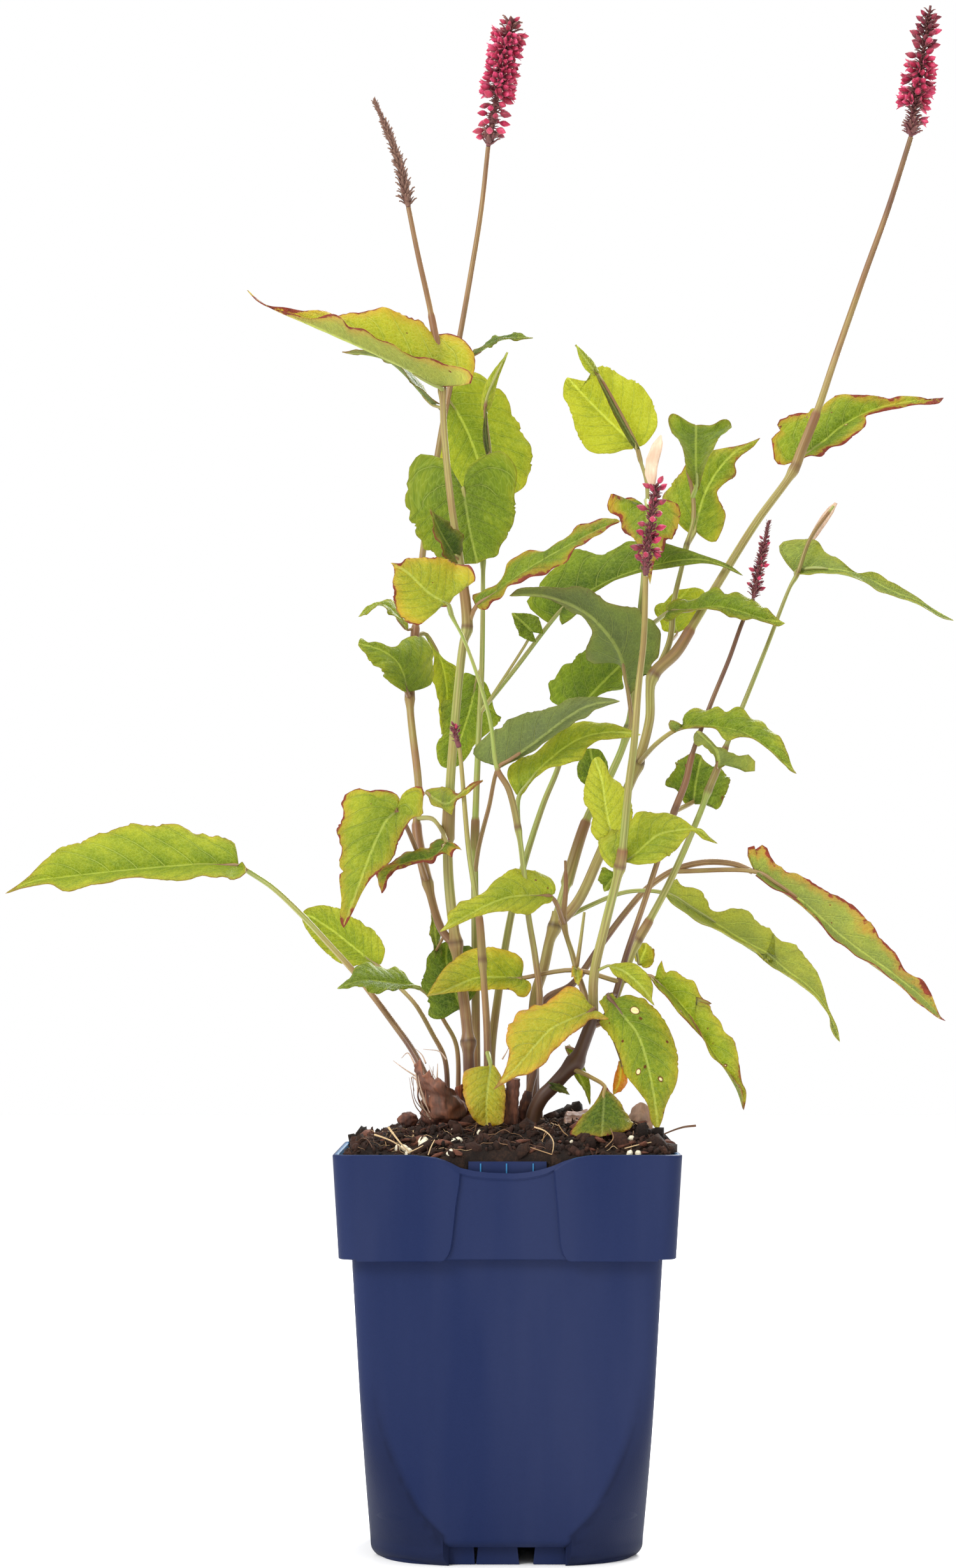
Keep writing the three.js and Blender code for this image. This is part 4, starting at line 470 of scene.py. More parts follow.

# %% [markdown]
# No rule gives the shape of a leaf that grew round a stem and was bitten, so the outlines of the larger
# leaves were followed on the photograph. Each has its rib and then its left and right margin, as
# columns and rows of the picture from the base to the tip. The first pair is a place, and each later
# pair is the step to the next place.

# %% The outlines of the larger leaves
LEAF_TRACES = {
    "topFold": (
        [692,606, -52,-28, -120,-56, -105,-45, -28,-23],
        [690,606, 25,3, 20,-3, 3,-12, -10,-11, -48,-14, -20,-8, -20,-13, -25,-13, -25,-10, -45,-10, -9,-12,
         -16,-6, -25,0, -30,-4, -60,-19, -18,-20],
        [696,604, 29,-1, 17,-13, 4,-25, -6,-23, -15,-17, -25,-8, -20,-2, -15,-10, -20,-8, -25,-3, -20,-8,
         -40,3, -30,-1, -10,-6, -40,6, -25,-3, -47,-10, -21,-21],
    ),
    "topBroad": (
        [700,620, 22,35, 16,33, 30,90],
        [705,612, 35,-28, 15,3, 17,16, 14,8, 12,17, 5,17, 13,20, 6,17, 11,15, 3,21, -5,27, -6,17, -13,11,
         -17,5, -27,0],
        [697,625, -9,75, 2,20, 10,25, 20,20, 25,15, 23,-2],
    ),
    "heart": (
        [727,768, 11,67, 11,49],
        [728,765, 1,-15, 4,-15, 9,-10, 13,-10, 27,-8, 13,5, 16,23, 1,13, -4,32, 2,15, -2,17, -13,33, -10,13,
         -5,14, -15,4, -16,8],
        [725,766, -10,-11, -15,-33, -15,-6, -25,-5, -8,7, -12,20, 2,10, -5,9, 3,11, -5,10, 1,17, 7,7, -2,13,
         9,10, 2,15, 10,10, 2,12, 16,6, 10,12, 10,5, 49,-1],
    ),
    "roundTop": (
        [997,700, -72,-70, -35,-38],
        [992,705, -14,1, -15,5, -16,2, -14,-2, -12,-6, -15,-22, -6,-14, -7,-29, -9,-16, -1,-12, 3,-14, 4,-6],
        [1000,702, 12,-5, 16,-20, 4,-14, -6,-30, -25,-33, -20,-8, -14,-11, -11,-5, -12,-3, -13,6, -5,8,
         -1,7, -6,3, -29,-5],
    ),
    "spikeHeart": (
        [1014,796, 6,84, 0,37],
        [1016,794, 9,-8, 15,-4, 26,10, 2,19, -12,32, -8,0, -7,23, -8,7, -6,9, -7,35],
        [1010,794, -20,-13, -12,2, -7,6, -6,-4, -5,-9, -6,6, 0,21, 13,5, 6,8, 3,12, 9,11, 13,12, 5,11,
         -2,11, 14,27, 5,17],
    ),
    "lobedRear": (
        [1090,832, 6,-26, 12,-36, 22,-37, 28,-27, 35,-19],
        [1086,834, -6,2, -42,-50, 14,-26, 16,-21, 7,-12, 15,-5, 13,-6, 12,-8, 11,-4, 37,-6, 30,-11],
        [1093,834, 3,4, 23,14, 7,-4, 6,-12, 7,-28, -5,-14, -7,-10, -1,-12, 17,-18, 9,-6, 4,-8, -3,-11, 5,-9,
         23,-18, 12,-15],
    ),
    "winged": (
        [1094,765, -2,-35, 0,-63],
        [1092,764, -14,-24, -6,-32, -7,-18, -16,-23, 0,-11, 6,-7, 16,10, 21,8],
        [1096,769, 10,-36, 16,-36, 9,-14, 11,-4, 7,-7, -3,-9, -7,-4, -15,4, -32,4],
    ),
    "netted": (
        [888,948, 42,-23, 45,-22, 85,-23, 50,0, 56,23],
        [880,948, -15,30, -18,-9, -14,-11, -7,-14, 3,-7, 16,-7, 5,-18, 10,-7, 6,-9, 14,-10, 20,-23, 20,0,
         14,4, 17,-4, 22,-8, 11,-6, 63,5, 85,27, 16,8, 18,14],
        [892,952, -12,16, 4,16, 13,-9, 11,-13, 12,-22, 30,-22, 40,-15, 80,-16, 30,-3, 30,4, 36,15],
    ),
    "redEdged": (
        [747,950, 68,-50, 45,-28, 80,-42, 33,-12],
        [746,948, -3,-11, 5,-8, 12,-9, 14,-3, 10,-9, 10,-14, 26,-22, 36,-12, 10,-8, 33,-17, 50,-20, 17,-4,
         7,7],
        [750,953, 13,0, 11,-10, 13,-4, 28,-22, 38,-23, 31,-8, 15,-10, 17,-22, 29,-21, 18,-11, 10,-4],
    ),
    "highRight": (
        [1255,718, 36,-25, 27,-23, 27,-16, 35,-14, 50,-10, 51,-6],
        [1250,722, -20,6, -12,-3, -7,-23, -1,-17, 14,-7, -6,-12, 8,-7, 12,-6, 15,-4, 15,0, 4,-9, 16,-3,
         7,-8, 12,-8, 17,-4, 17,3, 43,3, 11,3, 16,-5, 34,2, 16,5, 15,1, 5,-5],
        [1258,720, 14,-4, 16,1, 15,-15, 19,-7, 37,-27, 0,-14, 9,-4, 66,-14, 38,-2, 9,-10],
    ),
    "farRight": (
        [1250,898, 14,-3, 31,0, 50,7, 54,27, 50,19, 23,14, 25,12],
        [1251,900, 13,-2, 31,1, 50,9, 54,26, 50,18, 23,13, 25,9],
        [1247,899, -19,-24, -5,-15, 11,-10, 25,-3, 23,3, 13,16, 16,5, 23,20, 11,7, 23,0, 12,4, 15,10, 23,11,
         23,14, 16,13, 40,24],
    ),
    "goldTop": (
        [703,948, -29,-17, -35,-33, -26,-15],
        [701,952, -13,1, -14,10, -11,14, -10,3, -14,-3, -10,-7, -7,-14, -5,-20, -2,-21, 4,-15, -2,-12, -4,-5],
        [706,946, 7,-12, 19,-19, 12,-5, 0,-12, -8,-12, -11,0, -15,-5, -12,-7, -48,1, -14,2, -7,6, -16,0],
    ),
    "leftArch": (
        [640,987, -21,-27, -14,-11, -15,-1, -13,8, -15,12],
        [639,987, -31,-31, -14,-5, -27,16, -5,1],
        [640,985, -7,-20, -14,-19, -26,-3, -16,8, -15,17],
    ),
    "leftDark": (
        [640,1085, -6,-28, -12,-21, -24,-16, -36,-10],
        [638,1086, -13,-5, -41,-42, -21,-25, -1,-4],
        [645,1084, 36,-10, 3,-11, -5,-31, -9,-24, -10,-10, -20,2, -15,12, -10,3, -27,-8, -11,1, -10,-7, -5,9],
    ),
    "leftStrip": (
        [668,994, 24,41, 10,55, -9,63],
        [669,993, 29,43, 19,14, 2,48, -11,32, -15,23],
        [666,994, 8,18, 5,20, 5,62, 5,21, 4,38],
    ),
    "behindBud": (
        [748,1062, -10,48, -16,50, -18,46],
        [750,1060, 15,17, 16,45, 7,4, -25,27, -17,14, -11,18, -13,15, -18,6],
        [744,1060, -15,-5, -11,20, -10,23, -15,3, 1,52, -7,10, -3,12, 7,25, 13,6],
    ),
    "greyUnder": (
        [785,1203, 55,-37, 57,-43, 29,-15, 47,-8],
        [787,1204, 60,-33, 37,-25, 18,-15, 18,-7, 18,-11, 35,-13],
        [782,1202, -31,-11, -11,-8, -1,-8, 22,-22, 14,-9, 11,-2, 13,-12, 12,-7, 18,-7, 43,-9, 18,-8, 21,-5,
         29,-1, 21,3, 12,4],
    ),
    "lime": (
        [813,1248, 27,-36, 50,-43, 29,-14, 41,-7, 46,5],
        [810,1246, -11,-21, -2,-13, 4,-10, 21,-15, 25,-15, 37,-31, 14,-6, 42,-4, 21,4, 45,18],
        [815,1250, 7,-6, 14,-21, 11,-9, 18,-9, 19,-2, 20,-7, 11,-9, 7,-16, 11,-7, 39,-4, 34,-7],
    ),
    "brightRear": (
        [907,1116, 23,-28, 35,-36, 43,-40],
        [903,1116, -13,-4, -27,-14, 0,-11, -5,-16, 12,-7, 13,-20, 14,-5, 4,-7, 39,-27, 35,-5, 33,12],
        [911,1118, 14,-10, 15,-17, 28,-9, 11,-2, -2,-22, 31,-46],
    ),
    "greyArch": (
        [986,1091, -3,-25, -9,-36, -13,-25, -17,-21, -18,-18, -25,-15, -25,-10, -29,-7, -48,1],
        [990,1088, 7,-8, 14,-22, 15,-3, -4,-14, 11,-11, 5,-15, 0,-17, -4,-15, -8,-8, -15,-8, -7,-10, -11,-6,
         -39,-7, -14,-12, -14,-8, -15,-3, -28,2, -25,-2, -43,1, -16,13],
        [983,1086, -11,-42, -18,-5, -25,2, -10,-11, 0,-15, 10,-23, -7,-14, -11,-12, -14,-4, -14,-11,
         -25,-12, -32,-4, -27,0],
    ),
    "waistRight": (
        [1054,958, 15,-2, 18,0, 34,-5, 38,7, 42,14, 31,6],
        [1051,959, -7,-3, 6,-7, 5,-3, 14,-5, 25,-5, 9,-10, 9,-2, 14,0, 16,11, 18,-4, 24,9, 36,31, 12,7],
        [1053,962, -5,4, -9,3, 5,3, 16,-8, 27,-7, 14,-1, 33,4, 35,14, 29,2, 20,5, 14,-3],
    ),
    "rightArch": (
        [1060,1145, 9,-5, 15,-3, 75,9, 17,8, 18,11, 18,15, 18,18, 20,16],
        [1059,1143, 7,-6, 8,-1, 2,-6, -3,-5, 1,-6, 4,-5, 14,-6, 17,3, 19,1, 13,7, 14,-6, 11,1, 14,11, 9,1,
         12,7, 20,23, 9,15, 14,34, 6,9],
        [1059,1148, -6,-3, -5,-6, -1,-6, 3,-5, 14,6, 5,8, 47,0, 9,4, 7,7, 9,4, 21,-1, 11,1, 9,3, 41,29,
         16,19, 11,6],
    ),
    "paleFold": (
        [1126,1202, 1,-13, -3,-14, -13,-15, -17,-14],
        [1128,1206, 14,-8, 38,14, 10,-7, -1,-6, -9,-3, 0,-6, -11,-3, -7,2, -18,-11, -7,-6, -9,2, -25,-25,
         -9,-3],
        [1124,1202, -5,-20, -25,-14, -6,-7, 1,-7, 5,-8],
    ),
    "darkHoled": (
        [1088,1258, 3,-25, 9,-45],
        [1086,1260, -5,-1, -5,3, -11,-16, -7,-7, -7,-5, -7,-2, 1,-10, 13,-15, 1,-11, 10,-7, 10,-5, 11,-2,
         10,3],
        [1090,1262, 18,1, 11,3, 3,4, 6,-3, 18,-41, -2,-7, -9,-12, -5,-4, -8,2, -11,-6, -7,-7, -4,-7],
    ),
    "roundRear": (
        [1062,991, -4,-17, 1,-20, 9,-17, 17,-15],
        [1059,993, -11,-2, -9,-6, -5,-14, -8,-7, 0,-8, 4,-7, 11,-5, 19,-16, 25,-6],
        [1065,991, 17,-10, 14,-24, 10,-26, 0,-7, -8,-2, -13,0],
    ),
    "leftHeart": (
        [622,1272, -15,14, -19,37, -27,70, -22,63],
        [623,1271, 6,-19, 5,-9, 20,-9, 7,1, 5,4, -2,23, 1,18, -8,3, -9,1, -23,39, -7,23, -7,11, -11,7,
         -20,18, -9,13, -26,53, -6,8],
        [621,1270, 6,-16, -4,-8, -7,-4, -18,-3, -21,1, -18,-5, -13,5, -7,5, -1,7, -4,7, 4,12, 0,9, -9,18,
         -2,9, 3,7, 0,9, 4,6, -2,21, 2,11, 4,5, -5,5, 2,40, -1,35, 5,10],
    ),
    "holed": (
        [698,1322, -12,16, -11,7, -29,5, -28,11, -11,10, -5,15, -3,16],
        [700,1324, 11,-1, 8,4, 8,9, -7,-3, -6,3, -7,8, -7,-6, -7,1, -7,4, -4,9, -7,4, -9,-2, -37,8, -9,4,
         -11,16, -3,11, -7,9],
        [697,1320, 8,-4, -5,-2, -11,0, -9,2, -5,6, -1,9, -42,5, -9,7, -5,9, -20,12, -6,7, -1,8, 8,23],
    ),
    "curl": (
        [668,1243, 14,11, 18,7, 21,-15, 36,-22],
        [668,1240, 11,-4, 16,-2, 10,2, 11,9, 13,-7, 14,-11, 14,-3],
        [668,1246, 7,8, 5,10, 13,4, 11,11, 7,-13, 9,-11, 9,-5, 14,-14, 14,-10],
    ),
    "farLeft": (
        [374,1358, -54,-3, -32,2, -112,10, -88,10, -28,4, -20,6, -32,15],
        [375,1359, 3,-7, 6,4, 3,10, -1,8, -19,11, -17,-8, -14,1, -16,-3, -60,5, -40,-2, -20,4, -80,10,
         -18,4, -10,-2, -10,-6, -10,-1, -64,15],
        [374,1356, -4,-26, -4,-10, -26,-11, -10,2, -10,-7, -12,1, -22,-10, -26,-1, -28,3, -22,-3, -50,9,
         -50,22, -24,13, -42,38, -36,26],
    ),
    "rearLeft": (
        [592,1514, -16,-11, -54,-43, -18,-12, -18,-11, -12,0],
        [590,1515, -29,0, -10,3, -4,-6, -11,0, -8,-4, -11,-8, -18,-18, -16,-20, -8,-16, -1,-9],
        [594,1514, 5,-2, 7,-21, -2,-7, -10,-16, -13,-13, -7,-2, -9,-9, -21,-9, -9,-9, -31,-6, -10,2, -16,6,
         -4,9],
    ),
    "lowLeft": (
        [650,1546, -67,-9, -11,0, -14,3, -29,11],
        [650,1547, -10,3, -11,1, -7,4, -21,3, -13,-1, -9,-5, -16,-2, -34,1],
        [650,1544, -10,-7, -11,-12, -10,-6, -40,-6, -18,3, -14,18, -18,17],
    ),
    "darkLow": (
        [728,1590, -8,-17, -15,-47, -5,-21, 2,-29],
        [726,1589, -4,-7, -25,15, -11,2, -10,-2, -6,-6, 4,-14, -4,-6, 2,-7, -11,-13, 0,-12, 7,-18, 2,-18,
         6,-9, 10,-10, 16,-8],
        [730,1589, 6,-18, 8,-9, 7,-14, 0,-39, -7,-18, -6,-7, -9,0, -9,-2, -7,-5, -11,-1],
    ),
    "lowLime": (
        [865,1405, -30,-1, -35,3, -25,8, -25,12, -45,25, -15,10],
        [868,1408, -4,8, -14,5, -18,13, -24,-2, -30,0, -28,5, -44,20, -16,5],
        [870,1402, 2,-10, -10,-20, -42,-9, -20,3, -11,6, -19,15, -6,8, -27,16, -16,5, -7,9, -9,5, -3,7, 1,6,
         -3,7, -10,12],
    ),
    "goldLow": (
        [818,1534, -57,-1, -17,2, -54,22, -21,6],
        [820,1536, 11,5, 3,7, -8,15, -13,1, -5,-6, -8,-4, -75,2, -56,7],
        [818,1531, 3,-15, -1,-9, -6,-8, -10,-6, -18,-6, -15,-2, -33,4, -23,14, -20,18, -26,42],
    ),
    "upright": (
        [962,1318, -10,-42, -8,-53, -11,-34],
        [959,1319, -5,-4, -6,-2, -8,6, -4,-1, -5,-6, -4,-9, 2,-23, -5,-11, -7,-10, -2,-11, 13,-52, 5,-7],
        [964,1318, 19,-18, 7,-9, 3,-15, -1,-12, -5,-14, -6,-11, -7,-9, -18,-16, -4,-11, -6,-9, -6,-6, -7,1],
    ),
    "uprightDark": (
        [939,1241, -2,-22, -6,-19, -5,-26],
        [937,1240, -16,-6, -15,-16, -1,-11, 3,-12, 11,-19, 7,-2],
        [941,1240, 7,-6, 6,-11, 0,-25, -5,-11, -7,-9, -7,-3, -9,-1],
    ),
    "besideUpright": (
        [974,1352, 13,-5, 44,-37, 15,-5, 35,-4, 13,1, 14,8, 18,14],
        [974,1351, -7,6, -3,7, -8,-5, -8,-8, -6,-9, -3,-10, 0,-17, 7,-2, 12,-14, 13,1, 22,-16, 5,-6, 8,-3,
         13,-1, 12,2, 11,-2, 20,4, 28,21, 9,1, 7,5, 9,11, 11,8],
        [976,1354, 9,-1, 14,2, 29,1, 11,-5, 41,-39, 5,-8, 18,12, 23,8],
    ),
    "darkUnder": (
        [970,1372, -8,6, -8,9, -6,12],
        [971,1375, -2,9, -7,3, -6,9, -8,3],
        [967,1370, -7,-4, -6,-6, -8,0, -6,15, 8,24],
    ),
    "soilOval": (
        [770,1670, -7,65, 1,33],
        [772,1671, 4,2, 11,16, 4,13, 2,12, -1,36, -3,11, -25,7],
        [768,1670, -5,4, -19,0, -11,4, -5,6, -3,10, 2,22, 3,14, 6,15, 8,12, 8,7, 12,4],
    ),
    "goldFront": (
        [933,1583, -66,29, -14,13, -50,57, -29,28],
        [934,1586, 5,11, 19,-2, -3,3, -27,0, -6,4, -5,9, -25,18, -7,7, -9,3, -9,9, -14,23, -11,11, -14,6,
         -14,1, -15,6, -25,15],
        [933,1581, -19,-15, -4,-9, -7,-5, -11,0, -11,3, -23,15, -9,3, -12,-2, -9,8, -9,3, -11,11, -3,11,
         -7,7, -4,25, 4,10, -2,15, -7,25, -15,24],
    ),
    "spotted": (
        [954,1562, 10,11, 10,15, 24,30, 8,18, 6,18, 10,42, 8,50, 2,28],
        [956,1560, 4,-3, 5,7, 6,4, 14,-7, 18,7, 7,0, 30,27, 15,30, 5,14, 4,15, 0,32, -4,18, -14,28, -7,25,
         -7,17],
        [952,1561, -4,0, -2,7, -7,5, 5,7, 5,13, -9,7, 2,7, 18,23, 11,25, 9,31, 9,10, 26,36, 7,29, 10,13],
    ),
    "draped": (
        [949,1704, -5,79],
        [952,1705, 6,9, 9,9, 27,41, -2,7, -48,12],
        [946,1705, -7,16, -20,25, -11,11, -14,20, 5,5, 11,2, 34,-1],
    ),
    "lowSmall": (
        [956,1515, 18,6, 18,13, 18,18, 17,26],
        [956,1514, 33,-5, 9,3, 17,15, 6,9, 4,10, -2,22, 4,10],
        [956,1516, 4,9, 7,7, 11,6, 49,40],
    ),
    "lowHoled": (
        [1004,1512, 3,-11, 5,-10, 2,-12],
        [1003,1512, -5,-5, -2,-9, 3,-11, 7,-7, 8,-1],
        [1006,1513, 6,6, 8,-2, 6,-8, 1,-13, -5,-11, -8,-6],
    ),
    "hanging": (
        [1020,1532, 26,20, 22,23, 20,25, 34,55, 20,28, 15,27, 10,32],
        [1020,1531, 11,0, 3,-10, 0,-14, 5,-2, 2,13, 5,8, 10,-5, 20,15, 13,7, 10,19, 9,8, 11,3, -27,-11, 9,9,
         12,2, 7,15, 10,12, 6,17, 13,12, 11,38, 5,31, 6,12, -1,19, -3,13],
        [1020,1534, 6,11, 66,71, 11,14, 9,16, -32,-54, 25,41, 10,21, 27,25, 11,15, 8,12, 4,15, 2,21],
    ),
    "rightKeel": (
        [1044,1403, 130,80, 22,11, 24,15, -19,-13, 33,29, 34,25, 24,27, 26,58],
        [1044,1404, 16,15, 21,14, 108,64, 21,15, -26,-22, 50,40, 34,25, 14,13, 19,26, 4,16, 6,15, 7,10],
        [1044,1401, 16,-26, 11,12, 9,4, 9,1, 7,6, 5,5, 2,7, 7,8, 2,8, 9,5, 14,-1, 11,-4, 28,2, 11,7, 13,13,
         10,5, 7,12, 9,10, 23,8, 4,9, 10,8, 21,25, 8,17, 5,12, 6,29, 12,27, 5,25],
    ),
    "farKeel": (
        [1188,1370, 59,39, 21,16, 45,41, 50,38, 25,17, 50,39, 21,19, 16,17, 9,6],
        [1186,1372, 32,23, 29,18, 50,44, 16,17, 17,12, 17,15, 87,62, 38,33, 12,6],
        [1184,1367, -12,-25, 0,-11, 10,-3, -2,10, 8,-7, 9,-4, 4,6, 4,11, 10,12, 11,4, 10,7, 13,2, 12,6,
         15,5, 54,35, 15,12, 12,17, 11,10, 10,13, 27,25, 17,27, 12,10, 11,6, 16,25, 14,34, 9,8],
    ),
    "darkDrop": (
        [890,1643, 16,39, 9,18, 11,34],
        [893,1638, 5,5, 17,28, 7,15, 4,14, 0,34],
        [886,1640, 13,30, -1,10, 5,11, 14,20, 9,23],
    ),
    "dryOrange": (
        [973,1665, 1,17, -3,18, -9,18],
        [974,1665, 9,21, 1,14, -10,11, -12,7],
        [971,1665, -9,35, 0,18],
    ),
}

# %% [markdown]
# A leaf's blade is a thin living skin. Light from behind shines through it yellow-green, so the material
# mixes a satin surface with a translucent one. The pattern follows the blade: its UV map runs along the
# midrib and from margin to margin, which lets arithmetic draw the midrib, the curved side veins and the
# fine net between them. Each leaf carries its own looks as a colour attribute: how bright, how yellow,
# how red at the margin and how spotted it is.

# %% Leaf material
SIDE_VEINS = 9.0  # pairs of side veins along one blade
VEIN_LEAN = 0.18  # how far a side vein bends forward of its row of the sheet
LEAN_POWER = 1.3  # above 1, the vein bends more towards the margin
VEIN_STAGGER = 0.35  # how far the pairs are out of step, as a share of their distance
NET_SIZE = 1.5  # mm between the fine veins, a little coarser than life so that it shows

leaf_material, tree = material_tree("leaf_blade_translucent")
uv = node(tree, "ShaderNodeUVMap", {"uv_map": "blade"}).outputs[0]
tone, age, edge = three_of(tree, stored(tree, "looks"))
spotty = stored(tree, "looks", "Alpha")
under, half_width, length = three_of(tree, stored(tree, "form"))
seed = stored(tree, "form", "Alpha")

along_across = node(tree, "ShaderNodeSeparateXYZ", {}, {0: uv})
along = along_across.outputs[0]
across = times_plus(tree, along_across.outputs[1], 2.0, -1.0)
side = size_of(tree, across)
size = node(tree, "ShaderNodeCombineXYZ", {}, {
    0: times(tree, along, length),
    1: times(tree, across, half_width),
    2: times(tree, seed, 50.0),
}).outputs[0]  # the place on the blade in tenths of a metre

# The side veins leave the midrib in pairs and bend forward: their phase is constant along each vein.
lean = times(tree, power(tree, side, LEAN_POWER), VEIN_LEAN)
offset = arithmetic("GREATER_THAN")(tree, along_across.outputs[1], 0.5)
phase = times_plus(tree, minus(tree, along, lean), SIDE_VEINS, times(tree, offset, VEIN_STAGGER))
from_vein = size_of(tree, minus(tree, arithmetic("FRACT")(tree, phase), 0.5))
side_vein = rising(tree, from_vein, 0.042, 0.008, smooth=True)
side_vein = times(tree, side_vein, times_plus(tree, power(tree, side, 3.0), -0.6, 1.0))
from_rib = times(tree, side, half_width)
midrib = rising(tree, from_rib, 0.009, 0.003, smooth=True)
net = node(tree, "ShaderNodeTexVoronoi", {"feature": "DISTANCE_TO_EDGE"}, {
    "Vector": size, "Scale": 100.0 / NET_SIZE,
}).outputs["Distance"]
net_vein = rising(tree, net, 0.08, 0.02, 0.36)
veins = larger(tree, larger(tree, side_vein, midrib), net_vein)

# Green flesh: from deep shade green to the yellow-green of a blade with the light behind it.
mottle = cloudy(tree, size, 55.0, 6.0, 0.7)
cloud = cloudy(tree, size, 9.0)
patch = times_plus(tree, mottle, 0.55, times_plus(tree, cloud, 0.4, -0.475))
# Painted shade: the flesh is darker beside the side veins, where their grooves would shade it, and
# lighter between them. It is also yellower towards the margin.
painted_vein_shade = rising(tree, from_vein, 0.16, 0.03, smooth=True)
patch = plus(tree, patch, times_plus(tree, painted_vein_shade, -0.09, 0.03))
patch = plus(tree, patch, times_plus(tree, power(tree, side, 1.5), 0.16, -0.08))
flesh_place = plus(tree, tone, patch, clamp=True)
flesh = ramp(tree, flesh_place, (0.0, "#24381a"), (0.3, "#496220"), (0.62, "#7b9027"), (1.0, "#b5bb3c"))

# Age turns a blade yellow, then orange, first between the veins and towards the margin and tip.
outward = larger(tree, power(tree, side, 2.0), power(tree, along, 3.0))
old = times_plus(tree, mottle, 0.8, times_plus(tree, outward, 0.5, -0.55))
old = plus(tree, old, times_plus(tree, age, 1.5, -0.35), clamp=True)
old = times(tree, old, times(tree, age, 3.0, clamp=True), clamp=True)
autumn = ramp(tree, old, (0.0, "#b7b63a"), (0.55, "#d2bd42"), (1.0, "#d99858"))
flesh = mixed(tree, times(tree, old, 1.3, clamp=True), flesh, autumn)

# The under side is duller and greyer, and its veins stand out pale.
dull = mixed(tree, 0.6, flesh, linear("#939a6c"))
flesh = mixed(tree, under, flesh, dull)
vein_share = times(tree, veins, times_plus(tree, tone, 0.55, 0.18, clamp=True))
flesh = mixed(tree, vein_share, flesh, mixed(tree, 0.8, flesh, linear("#d3dd86")))

# A red-brown line runs along the margin, broken and wider in places, with an orange blush inside it.
edge_noise = cloudy(tree, size, 60.0)
to_edge = times(tree, minus(tree, 1.0, side), half_width)
blots = cloudy(tree, size, 11.0)
reach = plus(tree, times_plus(tree, blots, 0.12, -0.056), times_plus(tree, edge_noise, 0.05, -0.021))
reach = times(tree, reach, edge)
reach = times(tree, reach, times_plus(tree, power(tree, along, 4.0), 0.9, 1.0))
past_reach = minus(tree, to_edge, reach)
red_margin = rising(tree, past_reach, 0.006, -0.004, smooth=True)
red_margin = times(tree, red_margin, times(tree, edge, 2.5, clamp=True), clamp=True)
blush = rising(tree, past_reach, 0.05, 0.0, 0.5, smooth=True)
flesh = mixed(tree, times(tree, blush, edge), flesh, linear("#c78a45"))
flesh = mixed(tree, red_margin, flesh, mixed(tree, edge_noise, linear("#5e2f22"), linear("#b0604a")))

# Dry spots are brown with a pale middle.
spot_cells = node(tree, "ShaderNodeTexVoronoi", {}, {"Vector": size, "Scale": 20.0, "Randomness": 1.0})
spot_size = three_of(tree, spot_cells.outputs["Color"])[0]
spot_reach = times(tree, times(tree, minus(tree, spot_size, 0.42), spotty), 0.75)
past_spot = minus(tree, spot_cells.outputs["Distance"], spot_reach)
flesh = mixed(tree, rising(tree, past_spot, 0.02, -0.01), flesh, linear("#7a4a26"))
flesh = mixed(tree, rising(tree, past_spot, -0.04, -0.08), flesh, linear("#e9e4cf"))

# Side veins are pressed into the upper face and stand proud below, and the flesh swells between them.
swell = minus(tree, times(tree, net, 0.7), times(tree, side_vein, 0.5))
swell = times_plus(tree, mottle, 0.9, swell)
bump = relief(tree, swell, 0.95, 1)
skin = node(tree, "ShaderNodeBsdfPrincipled", {}, {
    "Base Color": flesh, "Roughness": 0.4, "IOR": 1.42, "Specular IOR Level": 0.38, "Normal": bump,
})
glow_colour = mixed(tree, 0.55, flesh, mixed(tree, 1.0, flesh, linear("#fff26e"), "MULTIPLY"))
glow_colour = node(tree, "ShaderNodeHueSaturation", {}, {
    "Saturation": 1.05, "Value": 1.5, "Color": glow_colour,
}).outputs[0]
glow = node(tree, "ShaderNodeBsdfTranslucent", {}, {"Color": glow_colour, "Normal": bump})
finished(tree, skin, glow, 0.55)
print("leaf material nodes:", len(tree.nodes))

# %% [markdown]
# A blade is a curved sheet around its rib, a grid of two numbers: u from base to tip and v from margin to
# margin. Each row of a large leaf runs from its rib out to its traced margins the way that a side vein
# does, and a small leaf's margins follow a rule. Waves and the quilting between the veins are formulas on
# that grid. It gives the upper face, moved down by the thickness of a leaf it gives the lower one, and a
# strip along the margin closes them.


# %% The form of a blade
WIDEST = 0.3  # the place along a small leaf where it is widest
BASE_SHARE = 0.42  # its half width at the base and at the tip, as shares of the widest
TIP_SHARE = 0.012
LOBE_SHARE = 0.35  # how far along its rib a small leaf's lobes start
LEAF_THICKNESS = 0.34
RIDGE = 0.55  # how far the midrib stands out below
QUILT = 0.5  # how far the flesh swells between two side veins
TOOTH_GAP = 3.4  # mm between the margin's teeth
TOOTH = 0.05  # their depth, as a share of the half width
FAN = 0.8  # how far the rows follow the margin's own length, so that lobes get rows of their own
FORWARD = 0.3  # how far a side vein runs forward for its reach, as a share


